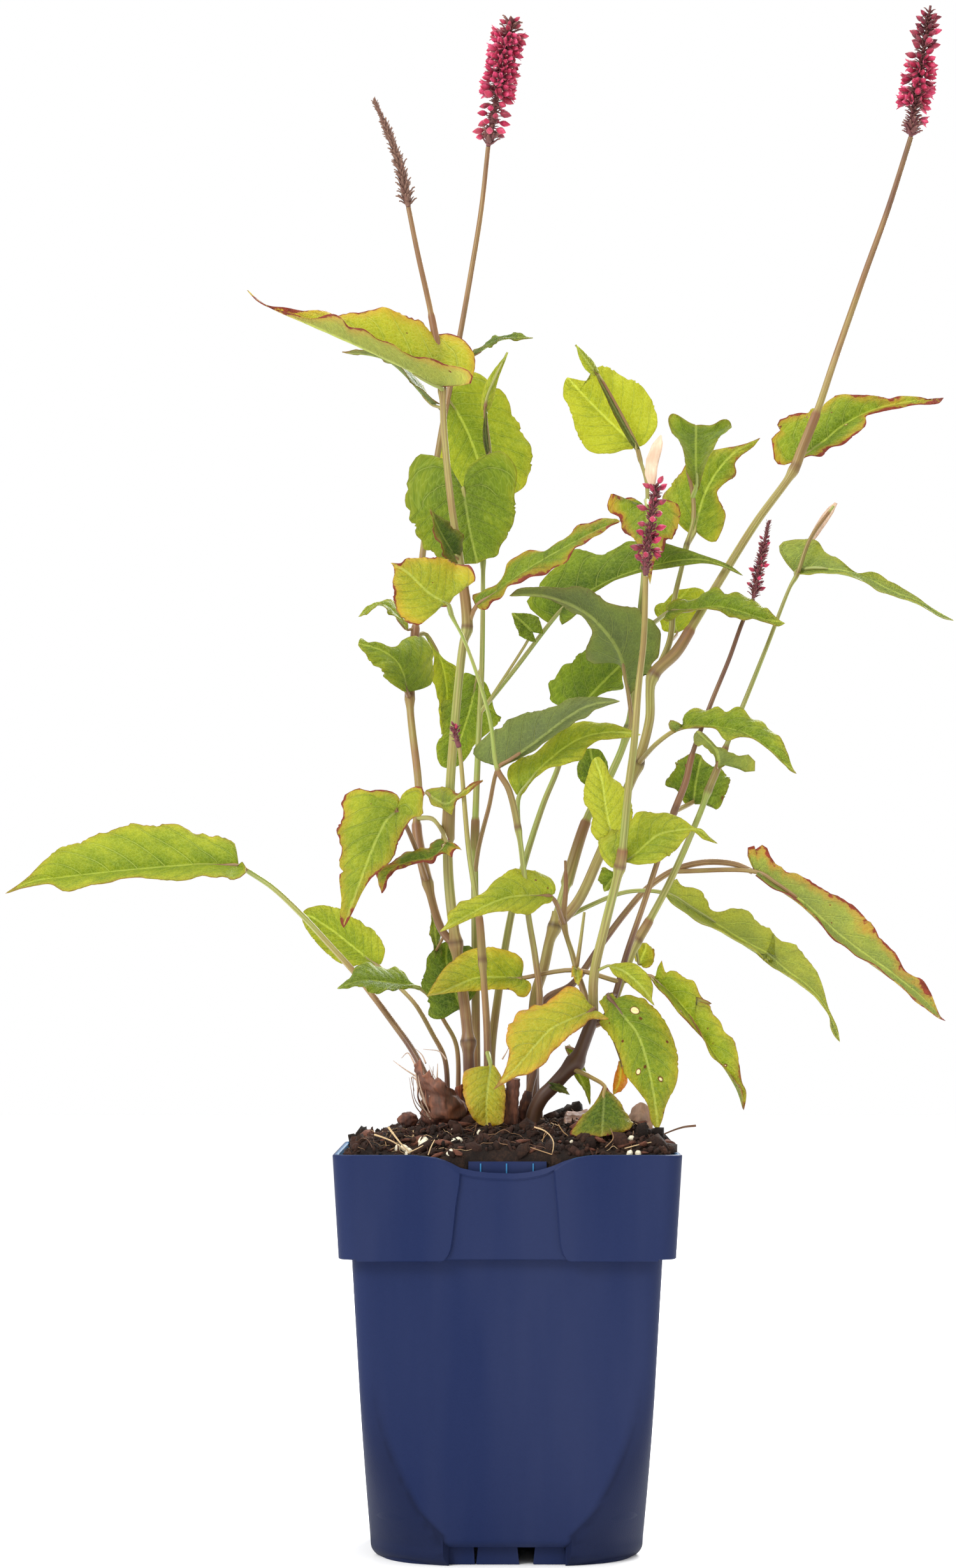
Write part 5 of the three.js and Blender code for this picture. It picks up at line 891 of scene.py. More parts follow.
def curve_at(points, params):
    """Points at 0 to 1 along the smooth centripetal curve through a list of places."""
    p = np.array(points, float)
    p = np.vstack([2 * p[0] - p[1], p, 2 * p[-1] - p[-2]])
    t = np.clip(np.asarray(params, float), 0, 1) * (len(p) - 3)
    i = np.minimum(t.astype(int), len(p) - 4)
    w = (t - i)[:, None]
    a, b, c, d = p[i], p[i + 1], p[i + 2], p[i + 3]
    lengths = [np.linalg.norm(y - x, axis=1)[:, None] for x, y in ((a, b), (b, c), (c, d))]
    gaps = [np.maximum(length**0.5, 1e-4) for length in lengths]
    start = ((b - a) / gaps[0] - (c - a) / (gaps[0] + gaps[1]) + (c - b) / gaps[1]) * gaps[1]
    end = ((c - b) / gaps[1] - (d - b) / (gaps[1] + gaps[2]) + (d - c) / gaps[2]) * gaps[1]
    return b + w * start + w**2 * (3 * (c - b) - 2 * start - end) + w**3 * (2 * (b - c) + start + end)


def seen_curve(places, params):
    """Points in mm along the curve through (column, row, depth) places of the view."""
    return curve_at([seen(place) for place in places], params)


def unit(vectors):
    """Vectors at length one."""
    return vectors / np.maximum(np.linalg.norm(vectors, axis=-1, keepdims=True), 1e-9)


def directions_at(points, params):
    """The way that the curve runs at each parameter."""
    params = np.asarray(params, float)
    return unit(curve_at(points, params + 1e-3) - curve_at(points, params - 1e-3))


def carried(vector, start, ways):
    """A vector that belongs to the way start, turned along to each of the ways."""
    turn = np.cross(start, ways)
    cos = ways @ start
    return vector * cos[:, None] + np.cross(turn, vector) + turn * ((turn @ vector) / (1 + cos))[:, None]


def width_share(u):
    """The half width of a blade as a share of its widest, from base to tip."""
    near = BASE_SHARE + (1 - BASE_SHARE) * np.sin(np.pi / 2 * np.minimum(u / WIDEST, 1)) ** 0.6
    x = np.maximum((u - WIDEST) / (1 - WIDEST), 0)
    return np.where(u < WIDEST, near, np.maximum((1 - x * x) * (1 - 0.3 * x), TIP_SHARE))


def reach_of(offset, depth, scale, along):
    """A margin's reach from the rib in mm, mostly square to it."""
    columns, rows = offset
    reach = np.array([columns * scale, depth, -rows * scale])
    return reach - 0.7 * (reach @ along) * along


def evenly(points, count=240):
    """Places at equal steps along the smooth curve through a list of points."""
    fine = curve_at(points, np.linspace(0, 1, count))
    steps = np.concatenate([[0], np.cumsum(np.linalg.norm(np.diff(fine, axis=0), axis=1))])
    even = np.linspace(0, steps[-1], count)
    return np.stack([np.interp(even, steps, values) for values in fine.T], 1)


def lines_by_rule(leaf, us):
    """The rib and both margins of a small leaf, from the reach of its halves."""
    left, right, lobe = REACHES[leaf.name]
    ribs = [seen(place) for place in leaf.rib]
    scale = (VIEW_DISTANCE + leaf.rib[1][2]) / VIEW_REACH
    start = directions_at(ribs, [WIDEST])[0]
    ways = directions_at(ribs, us)
    line = curve_at(ribs, us)
    back = ways[0] * -lobe * np.maximum(1 - us / LOBE_SHARE, 0)[:, None] ** 2
    share = width_share(us)[:, None]
    edges = []
    for offset, depth in zip((left, right), leaf.depths):
        reach = reach_of(offset, depth, scale, start)
        edges.append(line + carried(reach, start, ways) * share + back)
    return line, edges, ways


def lines_by_trace(leaf, us):
    """The rib and both margins of a leaf whose outline was read off the view."""
    traces = [np.cumsum(np.reshape(steps, (-1, 2)), axis=0) for steps in LEAF_TRACES[leaf.name]]
    rib_line, *margins = [evenly(places) for places in traces]
    long = np.linalg.norm(np.diff(rib_line, axis=0), axis=1).sum()
    share = np.linspace(0, 1, len(rib_line))
    parted = []
    for margin in margins:
        away = np.linalg.norm(margin[:, None] - rib_line[None], axis=2)
        near, gap = share[away.argmin(1)], away.min(1)
        # A side vein runs forward on its way out, and the rows of the sheet run with the veins.
        near = np.maximum.accumulate(np.clip(near - FORWARD * gap / long, 0, 1))
        near = np.maximum((near + 0.03 * share) / 1.03, 0)
        near[-1] = 1
        parted.append((near, gap, (near + FAN * share) / (1 + FAN)))
    spots = [np.interp(us, row, share) for _, _, row in parted]
    along = (1 + FAN) * us - FAN * (spots[0] + spots[1]) / 2
    depth = curve_at(leaf.rib, share)[:, 2]

    def lifted(flat, at, extra=0.0):
        rows = np.column_stack([flat, np.interp(at, share, depth) + extra])
        return np.array([seen(row) for row in rows])

    line = lifted(np.stack([np.interp(along, share, v) for v in rib_line.T], 1), along)
    edges = []
    for margin, (_, gap, _), spot, aside in zip(margins, parted, spots, leaf.depths):
        flat = np.stack([np.interp(spot, share, v) for v in margin.T], 1)
        extra = aside * np.interp(spot, share, gap) / gap.max()
        edges.append(lifted(flat, along, extra))
    whole = lifted(rib_line, share)
    ways = np.stack([np.interp(along, share, v) for v in np.gradient(whole, axis=0).T], 1)
    return line, edges, unit(ways)


def leaf_sheet(leaf, index, us, vs):
    """The middle sheet of a leaf as an array of points, its normals, its widths and length in mm."""
    wave, small = leaf.wave, leaf.small
    lines = lines_by_trace if leaf.name in LEAF_TRACES else lines_by_rule
    whole, whole_edges, whole_ways = lines(leaf, np.linspace(0, 1, 60))
    length = np.linalg.norm(np.diff(whole, axis=0), axis=1).sum()
    across = whole_edges[1] - whole_edges[0]
    broad = np.linalg.norm(across, axis=1).argmax()
    start = whole_ways[broad]
    facing = unit(np.cross(across[broad], start))
    half = np.linalg.norm(across[broad]) / 2
    line, edges, ways = lines(leaf, us)
    spread = np.abs(vs)[None, :]
    negative = (vs < 0)[None, :]
    # Shallow teeth a few mm apart scallop the margin, no two alike.
    beat = us * length / TOOTH_GAP + 0.8 * np.sin(us * 23 + index) + 1.3 * index
    notch = np.abs(np.sin(np.pi * beat)) * (0.6 + 0.4 * np.sin(2.3 * beat))
    tooth = 1 - TOOTH * spread**8 * notch[:, None]
    reaches = [edge - line for edge in edges]
    reach = np.where(negative[..., None], reaches[0][:, None, :], reaches[1][:, None, :])
    width = np.where(negative, *[np.linalg.norm(r, axis=1)[:, None] for r in reaches])
    points = line[:, None, :] + reach * (spread * tooth)[..., None]
    shift = np.where(negative, 0.0, 2.1)
    u = us[:, None]
    calm = np.minimum(1.4 * width / half, 1)
    lift = wave * spread**2 * np.sin(2 * np.pi * 2.3 * u + index * 1.7 + shift)
    lift = lift + 0.4 * wave * spread**4 * np.sin(2 * np.pi * 6.7 * u + index * 2.9 + 1.7 * shift)
    lift = lift + (0.3 if small else 0.9) * np.sin(np.pi * spread)
    phase = (u - VEIN_LEAN * spread**LEAN_POWER) * SIDE_VEINS + np.where(negative, 0.0, VEIN_STAGGER)
    from_vein = np.abs((phase % 1) - 0.5) * 2
    quilt = QUILT * (0.5 if small else 1) * (from_vein**0.6 - 0.7)
    quilt = quilt * np.sin(np.pi * np.minimum(spread, 0.97)) ** 0.5
    groove = -0.75 * np.exp(-((spread * width / 1.3) ** 2))
    normal = carried(facing, start, ways)[:, None, :]
    points = points + normal * ((lift + quilt + groove) * calm)[..., None]
    normals = unit(np.cross(np.gradient(points, axis=1), np.gradient(points, axis=0)))
    return points, normals, width, length


def grid_faces(rows, columns):
    """The faces of a grid of points and its border, in order."""
    grid = np.arange(rows * columns).reshape(rows, columns)
    quads = np.stack([grid[:-1, :-1], grid[:-1, 1:], grid[1:, 1:], grid[1:, :-1]], -1).reshape(-1, 4)
    return quads, np.concatenate([grid[0, :-1], grid[:-1, -1], grid[-1, :0:-1], grid[:0:-1, 0]])


def sheet_faces(rows, columns):
    """The faces of a thin sheet: a grid, the same grid below it, and a strip that closes the border."""
    count = rows * columns
    quads, border = grid_faces(rows, columns)
    after = np.roll(border, -1)
    rim = np.stack([after, border, border + count, after + count], -1)
    return np.vstack([quads, quads[:, ::-1] + count, rim])


def leaf_mesh(leaf, index):
    """Vertices, faces and the values that the leaf material reads."""
    rows, columns = (26, 13) if leaf.small else (84, 25)
    us = np.linspace(0, 1, rows)
    # The grid is finer at the midrib and at the margins.
    s = np.linspace(-1, 1, columns)
    vs = s - 0.06 * np.sin(2 * np.pi * s)
    points, normals, width, length = leaf_sheet(leaf, index, us, vs)
    spread = np.abs(vs)[None, :, None]
    ridge = RIDGE * np.exp(-((spread * width[..., None] / 0.9) ** 2)) * (1 - 0.8 * us[:, None, None])
    upper = points + normals * (LEAF_THICKNESS / 2)
    lower = points - normals * (LEAF_THICKNESS / 2 + ridge)
    count = rows * columns
    u, v = np.meshgrid(us, (vs + 1) / 2, indexing="ij")
    uv = np.tile(np.stack([u, v], -1).reshape(-1, 2), (2, 1))
    under = np.repeat([0.0, 1.0], count)
    values = np.ones((2 * count, 4))
    values[:, 0], values[:, 2], values[:, 3] = under, length / 100, (index * 0.37) % 1
    values[:, 1] = np.tile(width.ravel() / 100, 2)
    tints = np.tile(LEAF_LOOKS[leaf.name], (2 * count, 1))
    both = np.vstack([upper.reshape(-1, 3), lower.reshape(-1, 3)])
    return both, sheet_faces(rows, columns), uv, tints, values


def mesh_object(name, vertices, faces, material, smooth=True):
    """A mesh object from points in mm, at the origin."""
    mesh = bpy.data.meshes.new(name)
    mesh.from_pydata((np.asarray(vertices) * MM).tolist(), [], [list(map(int, f)) for f in faces])
    mesh.materials.append(material)
    mesh.polygons.foreach_set("use_smooth", [smooth] * len(mesh.polygons))
    return linked(name, mesh)


def set_values(mesh, name, values, kind="FLOAT_COLOR"):
    """Stores one value for each vertex under a name that materials can read."""
    field = {"FLOAT_COLOR": "color", "FLOAT_VECTOR": "vector", "FLOAT": "value"}[kind]
    attribute = mesh.attributes.new(name, kind, "POINT")
    attribute.data.foreach_set(field, np.asarray(values, float).ravel())


def leaves_object(name, chosen):
    """One mesh for all the leaves of a body."""
    vertices, faces, uv, tints, values = zip(*[leaf_mesh(LEAVES[i], i) for i in chosen])
    starts = np.cumsum([0] + [len(points) for points in vertices])
    faces = np.vstack([quads + start for quads, start in zip(faces, starts)])
    made = mesh_object(name, np.vstack(vertices), faces, leaf_material)
    corners = np.zeros(len(made.data.loops), int)
    made.data.loops.foreach_get("vertex_index", corners)
    made.data.uv_layers.new(name="blade").data.foreach_set("uv", np.vstack(uv)[corners].ravel())
    set_values(made.data, "looks", np.vstack(tints))
    set_values(made.data, "form", np.vstack(values))
    return made


leaf_pieces = {}
for node_name, stems in BODIES.items():
    chosen = [i for i, leaf in enumerate(LEAVES) if leaf.stem in stems]
    leaf_pieces[node_name] = leaves_object("leaves_of_" + node_name, chosen)
    print(node_name, "leaves:", len(chosen), "faces:", len(leaf_pieces[node_name].data.polygons))

# %% [markdown]
# A stem is a tube along a curve, and so is a leaf stalk, a root or a fibre. One Geometry Nodes tree makes
# them all: it turns lines of vertices into curves, gives each point its stored thickness, sweeps a round
# outline along them and closes the ends. The stored colour values travel with the points.


# %% A tree that sweeps tubes along lines
def new_tree(name, inputs):
    """A geometry tree with a geometry input and output and the named inputs given."""
    made = bpy.data.node_groups.new(name, "GeometryNodeTree")
    made.interface.new_socket("Geometry", in_out="INPUT", socket_type="NodeSocketGeometry")
    made.interface.new_socket("Geometry", in_out="OUTPUT", socket_type="NodeSocketGeometry")
    for label, kind in inputs:
        made.interface.new_socket(label, in_out="INPUT", socket_type="NodeSocket" + kind)
    return made


def grown(tree, source, values, name):
    """Runs a tree on an object and returns the result as a plain mesh object."""
    modifier = source.modifiers.new(tree.name, "NODES")
    modifier.node_group = tree
    for item in tree.interface.items_tree:
        if item.item_type == "SOCKET" and item.in_out == "INPUT" and item.name in values:
            modifier[item.identifier] = values[item.name]
    graph = bpy.context.evaluated_depsgraph_get()
    mesh = bpy.data.meshes.new_from_object(source.evaluated_get(graph), depsgraph=graph)
    mesh.name = name
    source.modifiers.remove(modifier)
    bpy.data.objects.remove(source)
    mesh.polygons.foreach_set("use_smooth", [True] * len(mesh.polygons))
    return linked(name, mesh)


def ended(tree, given, shape):
    """Ends a tree: its shape made real, in the material that was given."""
    real = node(tree, "GeometryNodeRealizeInstances", {}, {0: shape})
    inputs = {"Geometry": real.outputs[0], "Material": given.outputs["Material"]}
    dressed = node(tree, "GeometryNodeSetMaterial", {}, inputs)
    node(tree, "NodeGroupOutput", {}, {"Geometry": dressed.outputs[0]})


def named_value(tree, name, kind="FLOAT_VECTOR"):
    """A value that the points carry under a name."""
    return node(tree, "GeometryNodeInputNamedAttribute", {"data_type": kind}, {"Name": name}).outputs[0]


tubes = new_tree("tubes_along_lines", [("Sides", "Int"), ("Material", "Material")])
given = node(tubes, "NodeGroupInput")
thick = named_value(tubes, "thick", "FLOAT")
line = node(tubes, "GeometryNodeMeshToCurve", {}, {"Mesh": given.outputs["Geometry"]})
sized = node(tubes, "GeometryNodeSetCurveRadius", {}, {"Curve": line.outputs[0], "Radius": thick})
ring = node(tubes, "GeometryNodeCurvePrimitiveCircle", {}, {
    "Resolution": given.outputs["Sides"], "Radius": 1.0,
})
on_ring = node(tubes, "GeometryNodeInputPosition")
marking = {"data_type": "FLOAT_VECTOR", "domain": "POINT"}
marked = node(tubes, "GeometryNodeStoreNamedAttribute", marking, {
    "Geometry": ring.outputs["Curve"], "Name": "around", "Value": on_ring.outputs[0],
})
swept = node(tubes, "GeometryNodeCurveToMesh", {}, {
    "Curve": sized.outputs[0], "Profile Curve": marked.outputs[0], "Scale": thick, "Fill Caps": True,
})
ended(tubes, given, swept.outputs[0])


def tubes_object(name, lines, sides, material):
    """Tubes in one mesh. Each line is a list of points in mm, a thickness and a colour value for each."""
    vertices = np.vstack([points for points, _, _ in lines])
    starts = np.cumsum([0] + [len(points) for points, _, _ in lines])
    edges = [(a, a + 1) for start, end in zip(starts, starts[1:]) for a in range(start, end - 1)]
    mesh = bpy.data.meshes.new(name)
    mesh.from_pydata((vertices * MM).tolist(), edges, [])
    set_values(mesh, "thick", np.concatenate([thickness for _, thickness, _ in lines]) * MM, "FLOAT")
    set_values(mesh, "looks", np.vstack([looks for _, _, looks in lines]))
    return grown(tubes, linked(name + "_lines", mesh), {"Sides": sides, "Material": material}, name)


def plain_looks(count, first):
    """The same colour values for each of several points, of which only the first isn't 0."""
    return np.tile((first, 0.0, 0.0, 1.0), (count, 1))


# %% [markdown]
# A stem's skin is smooth and faintly ribbed lengthwise. It is pale green in shade and flushed pink-brown
# in the light and below each joint, with a dark ring at the joint itself.

# %% Stem material
stem_material, tree = material_tree("stem_skin_ribbed")
state = three_of(tree, stored(tree, "looks"))
place = object_place(tree)
# The place round the stem, with the height drawn out, so that streaks run along a leaning stem too.
around = stored(tree, "around", "Vector")
parts = node(tree, "ShaderNodeSeparateXYZ", {}, {0: around}).outputs
height = node(tree, "ShaderNodeSeparateXYZ", {}, {0: place}).outputs[2]
drawn_out = node(tree, "ShaderNodeCombineXYZ", {}, {
    0: parts[0], 1: parts[1], 2: times(tree, height, 9.0),
}).outputs[0]
streaks = cloudy(tree, drawn_out, 3.2, 3.0)
blotch = cloudy(tree, place, 55.0, 4.0)
flush = plus(tree, state[0], times_plus(tree, blotch, 0.7, -0.35), clamp=True)
skin_colour = ramp(tree, flush, (0.0, "#7b8d3b"), (0.35, "#88803f"), (0.65, "#83603a"), (1.0, "#58372b"))
pale = rising(tree, streaks, 0.46, 0.62, 0.6)
pale = times(tree, pale, times_plus(tree, flush, -0.75, 1.0))
skin_colour = mixed(tree, pale, skin_colour, linear("#b3aa70"))
furrow = rising(tree, cloudy(tree, drawn_out, 1.5), 0.47, 0.62, 0.75)
skin_colour = mixed(tree, furrow, skin_colour, mixed(tree, 0.55, skin_colour, linear("#5c3a22")))
skin_colour = mixed(tree, state[1], skin_colour, linear("#3d2517"))
papery = mixed(tree, streaks, linear("#4c2c1d"), linear("#93663f"))
skin_colour = mixed(tree, state[2], skin_colour, papery)
ribs = relief(tree, streaks, 0.3, 0.2)
skin = node(tree, "ShaderNodeBsdfPrincipled", {}, {
    "Base Color": skin_colour, "Roughness": 0.45, "IOR": 1.42, "Subsurface Weight": 0.12,
    "Subsurface Radius": (0.002, 0.0016, 0.0006), "Normal": ribs,
})
finished(tree, skin)

# %% [markdown]
# A sheath is dry and papery, red-brown with pale lengthwise nerves, and it hugs the stem above a joint.
# Here it is the stem's own tube, thicker between two places, which is how it reads.

# %% The lines of the stems and stalks
# How flushed each stem is at its foot, middle and top, from green (0) to red-brown (1).
STEM_FLUSH = {
    "tall": (0.45, 0.15, 0.85), "pink": (0.6, 0.55, 0.8), "rear": (0.15, 0.1, 0.15),
    "bud": (0.6, 0.15, 0.5), "yellow": (0.5, 0.12, 0.05), "pale": (0.1, 0.1, 0.2),
    "fork": (0.45, 0.2, 0.3), "inner": (0.25, 0.05, 0.45), "outer": (0.45, 0.3, 0.95),
    "twig": (0.3, 0.2, 0.5), "rootstock": (1.0, 0.9, 0.7), "middle": (0.1, 0.2, 0.55),
    "right": (0.2, 0.1, 0.05), "thin": (0.75, 0.9, 1.0), "short": (0.2, 0.3, 0.75),
    "sprig": (0.3, 0.3, 0.3), "farLeft": (0.75, 0.3, 0.05), "rearLeft": (0.5, 0.2, 0.1),
    "lowLeft": (0.15, 0.1, 0.1), "arching": (0.7, 0.65, 0.75),
}
STEP = 2.0  # mm between the points along a stem
SHEATH_SWELL = 1.4  # how much thicker a sheath is than its stem
FOOT_DEPTH = 9  # how deep a stem starts in the soil
REDDENED = 290  # below this height stems grow redder
SOIL_EDGE = 175  # the soil's height at the rim, and how much higher it is in the middle
SOIL_MOUND = 13
RIM_HALF = 75  # half the pot's width at its rim


def soil_height(x, y):
    """The height of the soil's surface, before lumps."""
    reach = np.minimum(np.maximum(np.abs(x), np.abs(y)) / RIM_HALF, 1)
    rise = SOIL_MOUND * (1 - reach**3)
    corner = 7 * np.exp(-((x - 58) ** 2 + (y + 40) ** 2) / 400)
    return SOIL_EDGE + rise + corner + 1.2 * np.sin(x / 7) * np.cos(y / 6 + 1)


def on_stem(name, row):
    """The (column, row, depth) where a stem passes a row of the view."""
    route = STEMS[name]["route"]
    for low, high in zip(route, route[1:]):
        if high[1] <= row <= low[1]:
            share = (low[1] - row) / (low[1] - high[1])
            return tuple(a + share * (b - a) for a, b in zip(low, high))
    return route[-1]


def stem_line(name):
    """Points, thicknesses and colour values along a stem."""
    stem = STEMS[name]
    places = [seen(place) for place in stem["route"]]
    rows = [place[1] for place in stem["route"]]
    if stem.get("rooted"):
        foot = places[0].copy()
        foot[2] = soil_height(foot[0], foot[1]) - FOOT_DEPTH
        places.insert(0, foot)
        rows.insert(0, rows[0] + 40)
    span = np.linalg.norm(np.diff(places, axis=0), axis=1)
    count = max(int(span.sum() / STEP), 4)
    steps = np.linspace(0, 1, len(places))
    travelled = np.concatenate([[0], np.cumsum(span)])
    params = np.interp(np.linspace(0, span.sum(), count), travelled, steps)
    points = curve_at(places, params)
    row = np.interp(params, steps, rows)
    first, last = stem["route"][0][1], stem["route"][-1][1]
    share = np.clip((first - row) / (first - last), 0, 1)
    thin = stem["radius"][0] + (stem["radius"][1] - stem["radius"][0]) * share
    swell, dark, papery = np.ones(count), np.zeros(count), np.zeros(count)
    for joint in stem["joints"]:
        away = (row - joint) * VIEW_DISTANCE / VIEW_REACH  # in mm
        swell = swell + 0.5 * np.exp(-((away / 3.2) ** 2))
        dark = dark + 0.8 * np.exp(-(((away + 1.2) / 1.0) ** 2))
    for low, high in stem["sheaths"]:
        inside = (row <= low) & (row >= high)
        taper = np.clip((low - row) / max(low - high, 1), 0, 1)
        swell = np.where(inside, np.maximum(swell, SHEATH_SWELL - 0.12 * taper), swell)
        papery = np.maximum(papery, np.where(inside, 0.35 + 0.6 * taper, 0))
    flush = np.interp(share, [0, 0.5, 1], STEM_FLUSH[name])
    # Stems redden towards the soil, and the creeping rootstock is bark all along.
    flush = np.clip(flush + 0.6 * np.clip((REDDENED - points[:, 2]) / 80, 0, 1), 0, 1)
    dark = np.maximum(dark, 0.8 * (name == "rootstock"))
    looks = np.stack([flush, np.clip(dark, 0, 1), np.clip(papery, 0, 1), np.ones(count)], 1)
    return points, thin * swell, looks


def stalk_line(leaf, index):
    """A leaf's stalk, from its stem to a little way along its rib, on the under side."""
    rows = [0.0, 0.14, 0.24] if leaf.name in LEAF_TRACES else [0.0, 0.05, 0.1]
    sheet, normals, _, _ = leaf_sheet(leaf, index, np.array(rows), np.array([-0.02, 0.0, 0.02]))
    places = [seen(place) for place in [on_stem(leaf.stem, leaf.row)] + leaf.stalk]
    places += [p[1] - 0.5 * n[1] for p, n in zip(sheet, normals)]
    count = max(int(np.linalg.norm(np.diff(places, axis=0), axis=1).sum() / STEP), 8)
    share = np.linspace(0, 1, count)
    thick = (0.7 if leaf.small else 1.15) * (1 - 0.35 * share)
    thick[-1] = 0.3
    flush = STEM_FLUSH[leaf.stem][1] * 0.6 + 0.25 * (index % 3)
    return curve_at(places, share), thick, plain_looks(count, flush)


stem_pieces = {}
for node_name, stems in BODIES.items():
    lines = [stem_line(name) for name in stems]
    lines += [stalk_line(leaf, i) for i, leaf in enumerate(LEAVES) if leaf.stem in stems]
    stem_pieces[node_name] = tubes_object("stems_of_" + node_name, lines, 14, stem_material)
    print(node_name, "tubes:", len(lines), "faces:", len(stem_pieces[node_name].data.polygons))

# %% [markdown]
# A flower spike is a brown central stalk covered in small pointed bracts, with florets standing out from
# it. They open from the middle, so one spike holds closed red buds, open pink stars and bare brown parts.
# Three shapes are made once and set along each spike: a bract, a teardrop bud and an open floret.


# %% Shapes that repeat: bract, bud and open floret
def ring_faces(sides, rings):
    """The faces of a closed shape of rings of points, one above the other."""
    last = sides * (rings - 1)
    faces = [tuple(reversed(range(sides))), tuple(range(last, last + sides))]
    for low in range(0, last, sides):
        faces += [(low + k, low + (k + 1) % sides, low + sides + (k + 1) % sides, low + sides + k)
                  for k in range(sides)]
    return faces


def petal(route, widths, thickness, turn=0.0):
    """A closed pointed petal along a (reach, height) line in mm, turned about the height axis."""
    vertices, along = [], []
    spin = Matrix.Rotation(turn, 3, "Z")
    for i, ((reach, height), width) in enumerate(zip(route, widths)):
        back, ahead = Vector(route[max(i - 1, 0)]), Vector(route[min(i + 1, len(route) - 1)])
        way = (ahead - back).normalized()
        outwards = Vector((way.y, -way.x)) * thickness
        for side, push in ((-1, -0.35), (0, 0.6), (1, -0.35), (0, -0.4)):
            place = Vector((reach, side * width, height)) + Vector((outwards.x, 0, outwards.y)) * push
            vertices.append(spin @ place)
            along.append(i / (len(route) - 1))
    return vertices, ring_faces(4, len(route)), along


def turned(profile, sides, lobes=0.0):
    """A closed round shape from (radius, height) pairs, with slight lengthwise lobes."""
    vertices, along = [], []
    for i, (radius, height) in enumerate(profile):
        for k in range(sides):
            angle = 2 * math.pi * k / sides
            wide = radius * (1 + lobes * (-1) ** k)
            vertices.append(Vector((wide * math.cos(angle), wide * math.sin(angle), height)))
            along.append(i / (len(profile) - 1))
    return vertices, ring_faces(sides, len(profile)), along


def shape_object(name, parts):
    """One source object from several closed parts. Each part's own number is stored as its kind."""
    vertices, faces, along, kinds = [], [], [], []
    for kind, (points, corners, shares) in parts:
        start = len(vertices)
        vertices += [point * MM for point in points]
        faces += [tuple(start + i for i in face) for face in corners]
        along += shares
        kinds += [kind] * len(points)
    mesh = bpy.data.meshes.new(name)
    mesh.from_pydata(vertices, [], faces)
    set_values(mesh, "along", along, "FLOAT")
    set_values(mesh, "kind", kinds, "FLOAT")
    print(name, "faces:", len(faces))
    return linked(name, mesh)


BRACT_LINE = [(0.0, 0.0), (0.5, 1.0), (0.7, 2.2), (0.9, 3.2), (1.5, 4.0)]
BUD_PROFILE = [(0.28, -2.4), (0.25, -0.3), (0.75, 0.3), (1.3, 1.3), (1.45, 2.4), (1.0, 3.8), (0.42, 4.7),
               (0.1, 5.2)]
STAR_LINE = [(0.5, 0.2), (1.25, 1.3), (1.85, 2.8), (2.6, 4.2), (3.3, 5.2)]
STAR_TURN = 2 * math.pi / 5
shapes = {
    "bract": shape_object("bract_shape", [(0, petal(BRACT_LINE, [0.7, 1.1, 0.9, 0.5, 0.06], 0.5))]),
    "bud": shape_object("bud_shape", [(0, turned(BUD_PROFILE, 8, 0.05))]),
    "star": shape_object(
        "floret_shape",
        [(0, petal(STAR_LINE, [0.5, 1.25, 1.5, 1.15, 0.12], 0.22, k * STAR_TURN)) for k in range(5)]
        + [(0, turned([(0.28, -2.4), (0.3, -0.2), (0.8, 0.5), (0.5, 1.2)], 6))]
        + [(1, turned([(0.09, 0.6), (0.08, 4.9), (0.24, 5.1), (0.1, 5.5)], 4))],
    ),
}

# %% [markdown]
# Each floret's place, aim and size is stored on a point. A second Geometry Nodes tree sets the shape on
# every point and makes it real.

# %% A tree that sets a shape on points
setting = new_tree("shape_on_points", [("Shape", "Object"), ("Material", "Material")])
given = node(setting, "NodeGroupInput")
chosen = node(setting, "GeometryNodeObjectInfo", {}, {
    "Object": given.outputs["Shape"], "As Instance": True,
})
spin = node(setting, "FunctionNodeEulerToRotation", {}, {0: named_value(setting, "aim")})
placed = node(setting, "GeometryNodeInstanceOnPoints", {}, {
    "Points": given.outputs["Geometry"], "Instance": chosen.outputs["Geometry"],
    "Rotation": spin.outputs[0], "Scale": named_value(setting, "size"),
})
ended(setting, given, placed.outputs[0])


def set_object(name, shape, spots, material):
    """Copies of a shape in one mesh. A spot is (place in mm, 3 by 3 aim, size, colour values)."""
    mesh = bpy.data.meshes.new(name)
    mesh.from_pydata([Vector(place) * MM for place, _, _, _ in spots], [], [])
    set_values(mesh, "aim", [tuple(turn.to_euler()) for _, turn, _, _ in spots], "FLOAT_VECTOR")
    set_values(mesh, "size", [tuple(scale) for _, _, scale, _ in spots], "FLOAT_VECTOR")
    set_values(mesh, "looks", [looks for _, _, _, looks in spots])
    values = {"Shape": shapes[shape], "Material": material}
    return grown(setting, linked(name + "_points", mesh), values, name)


# %% [markdown]
# Petals are thin and let light through. They run from dark maroon in bud to bright pink when open, with
# a paler base. Bracts and the central stalk are brown and papery.

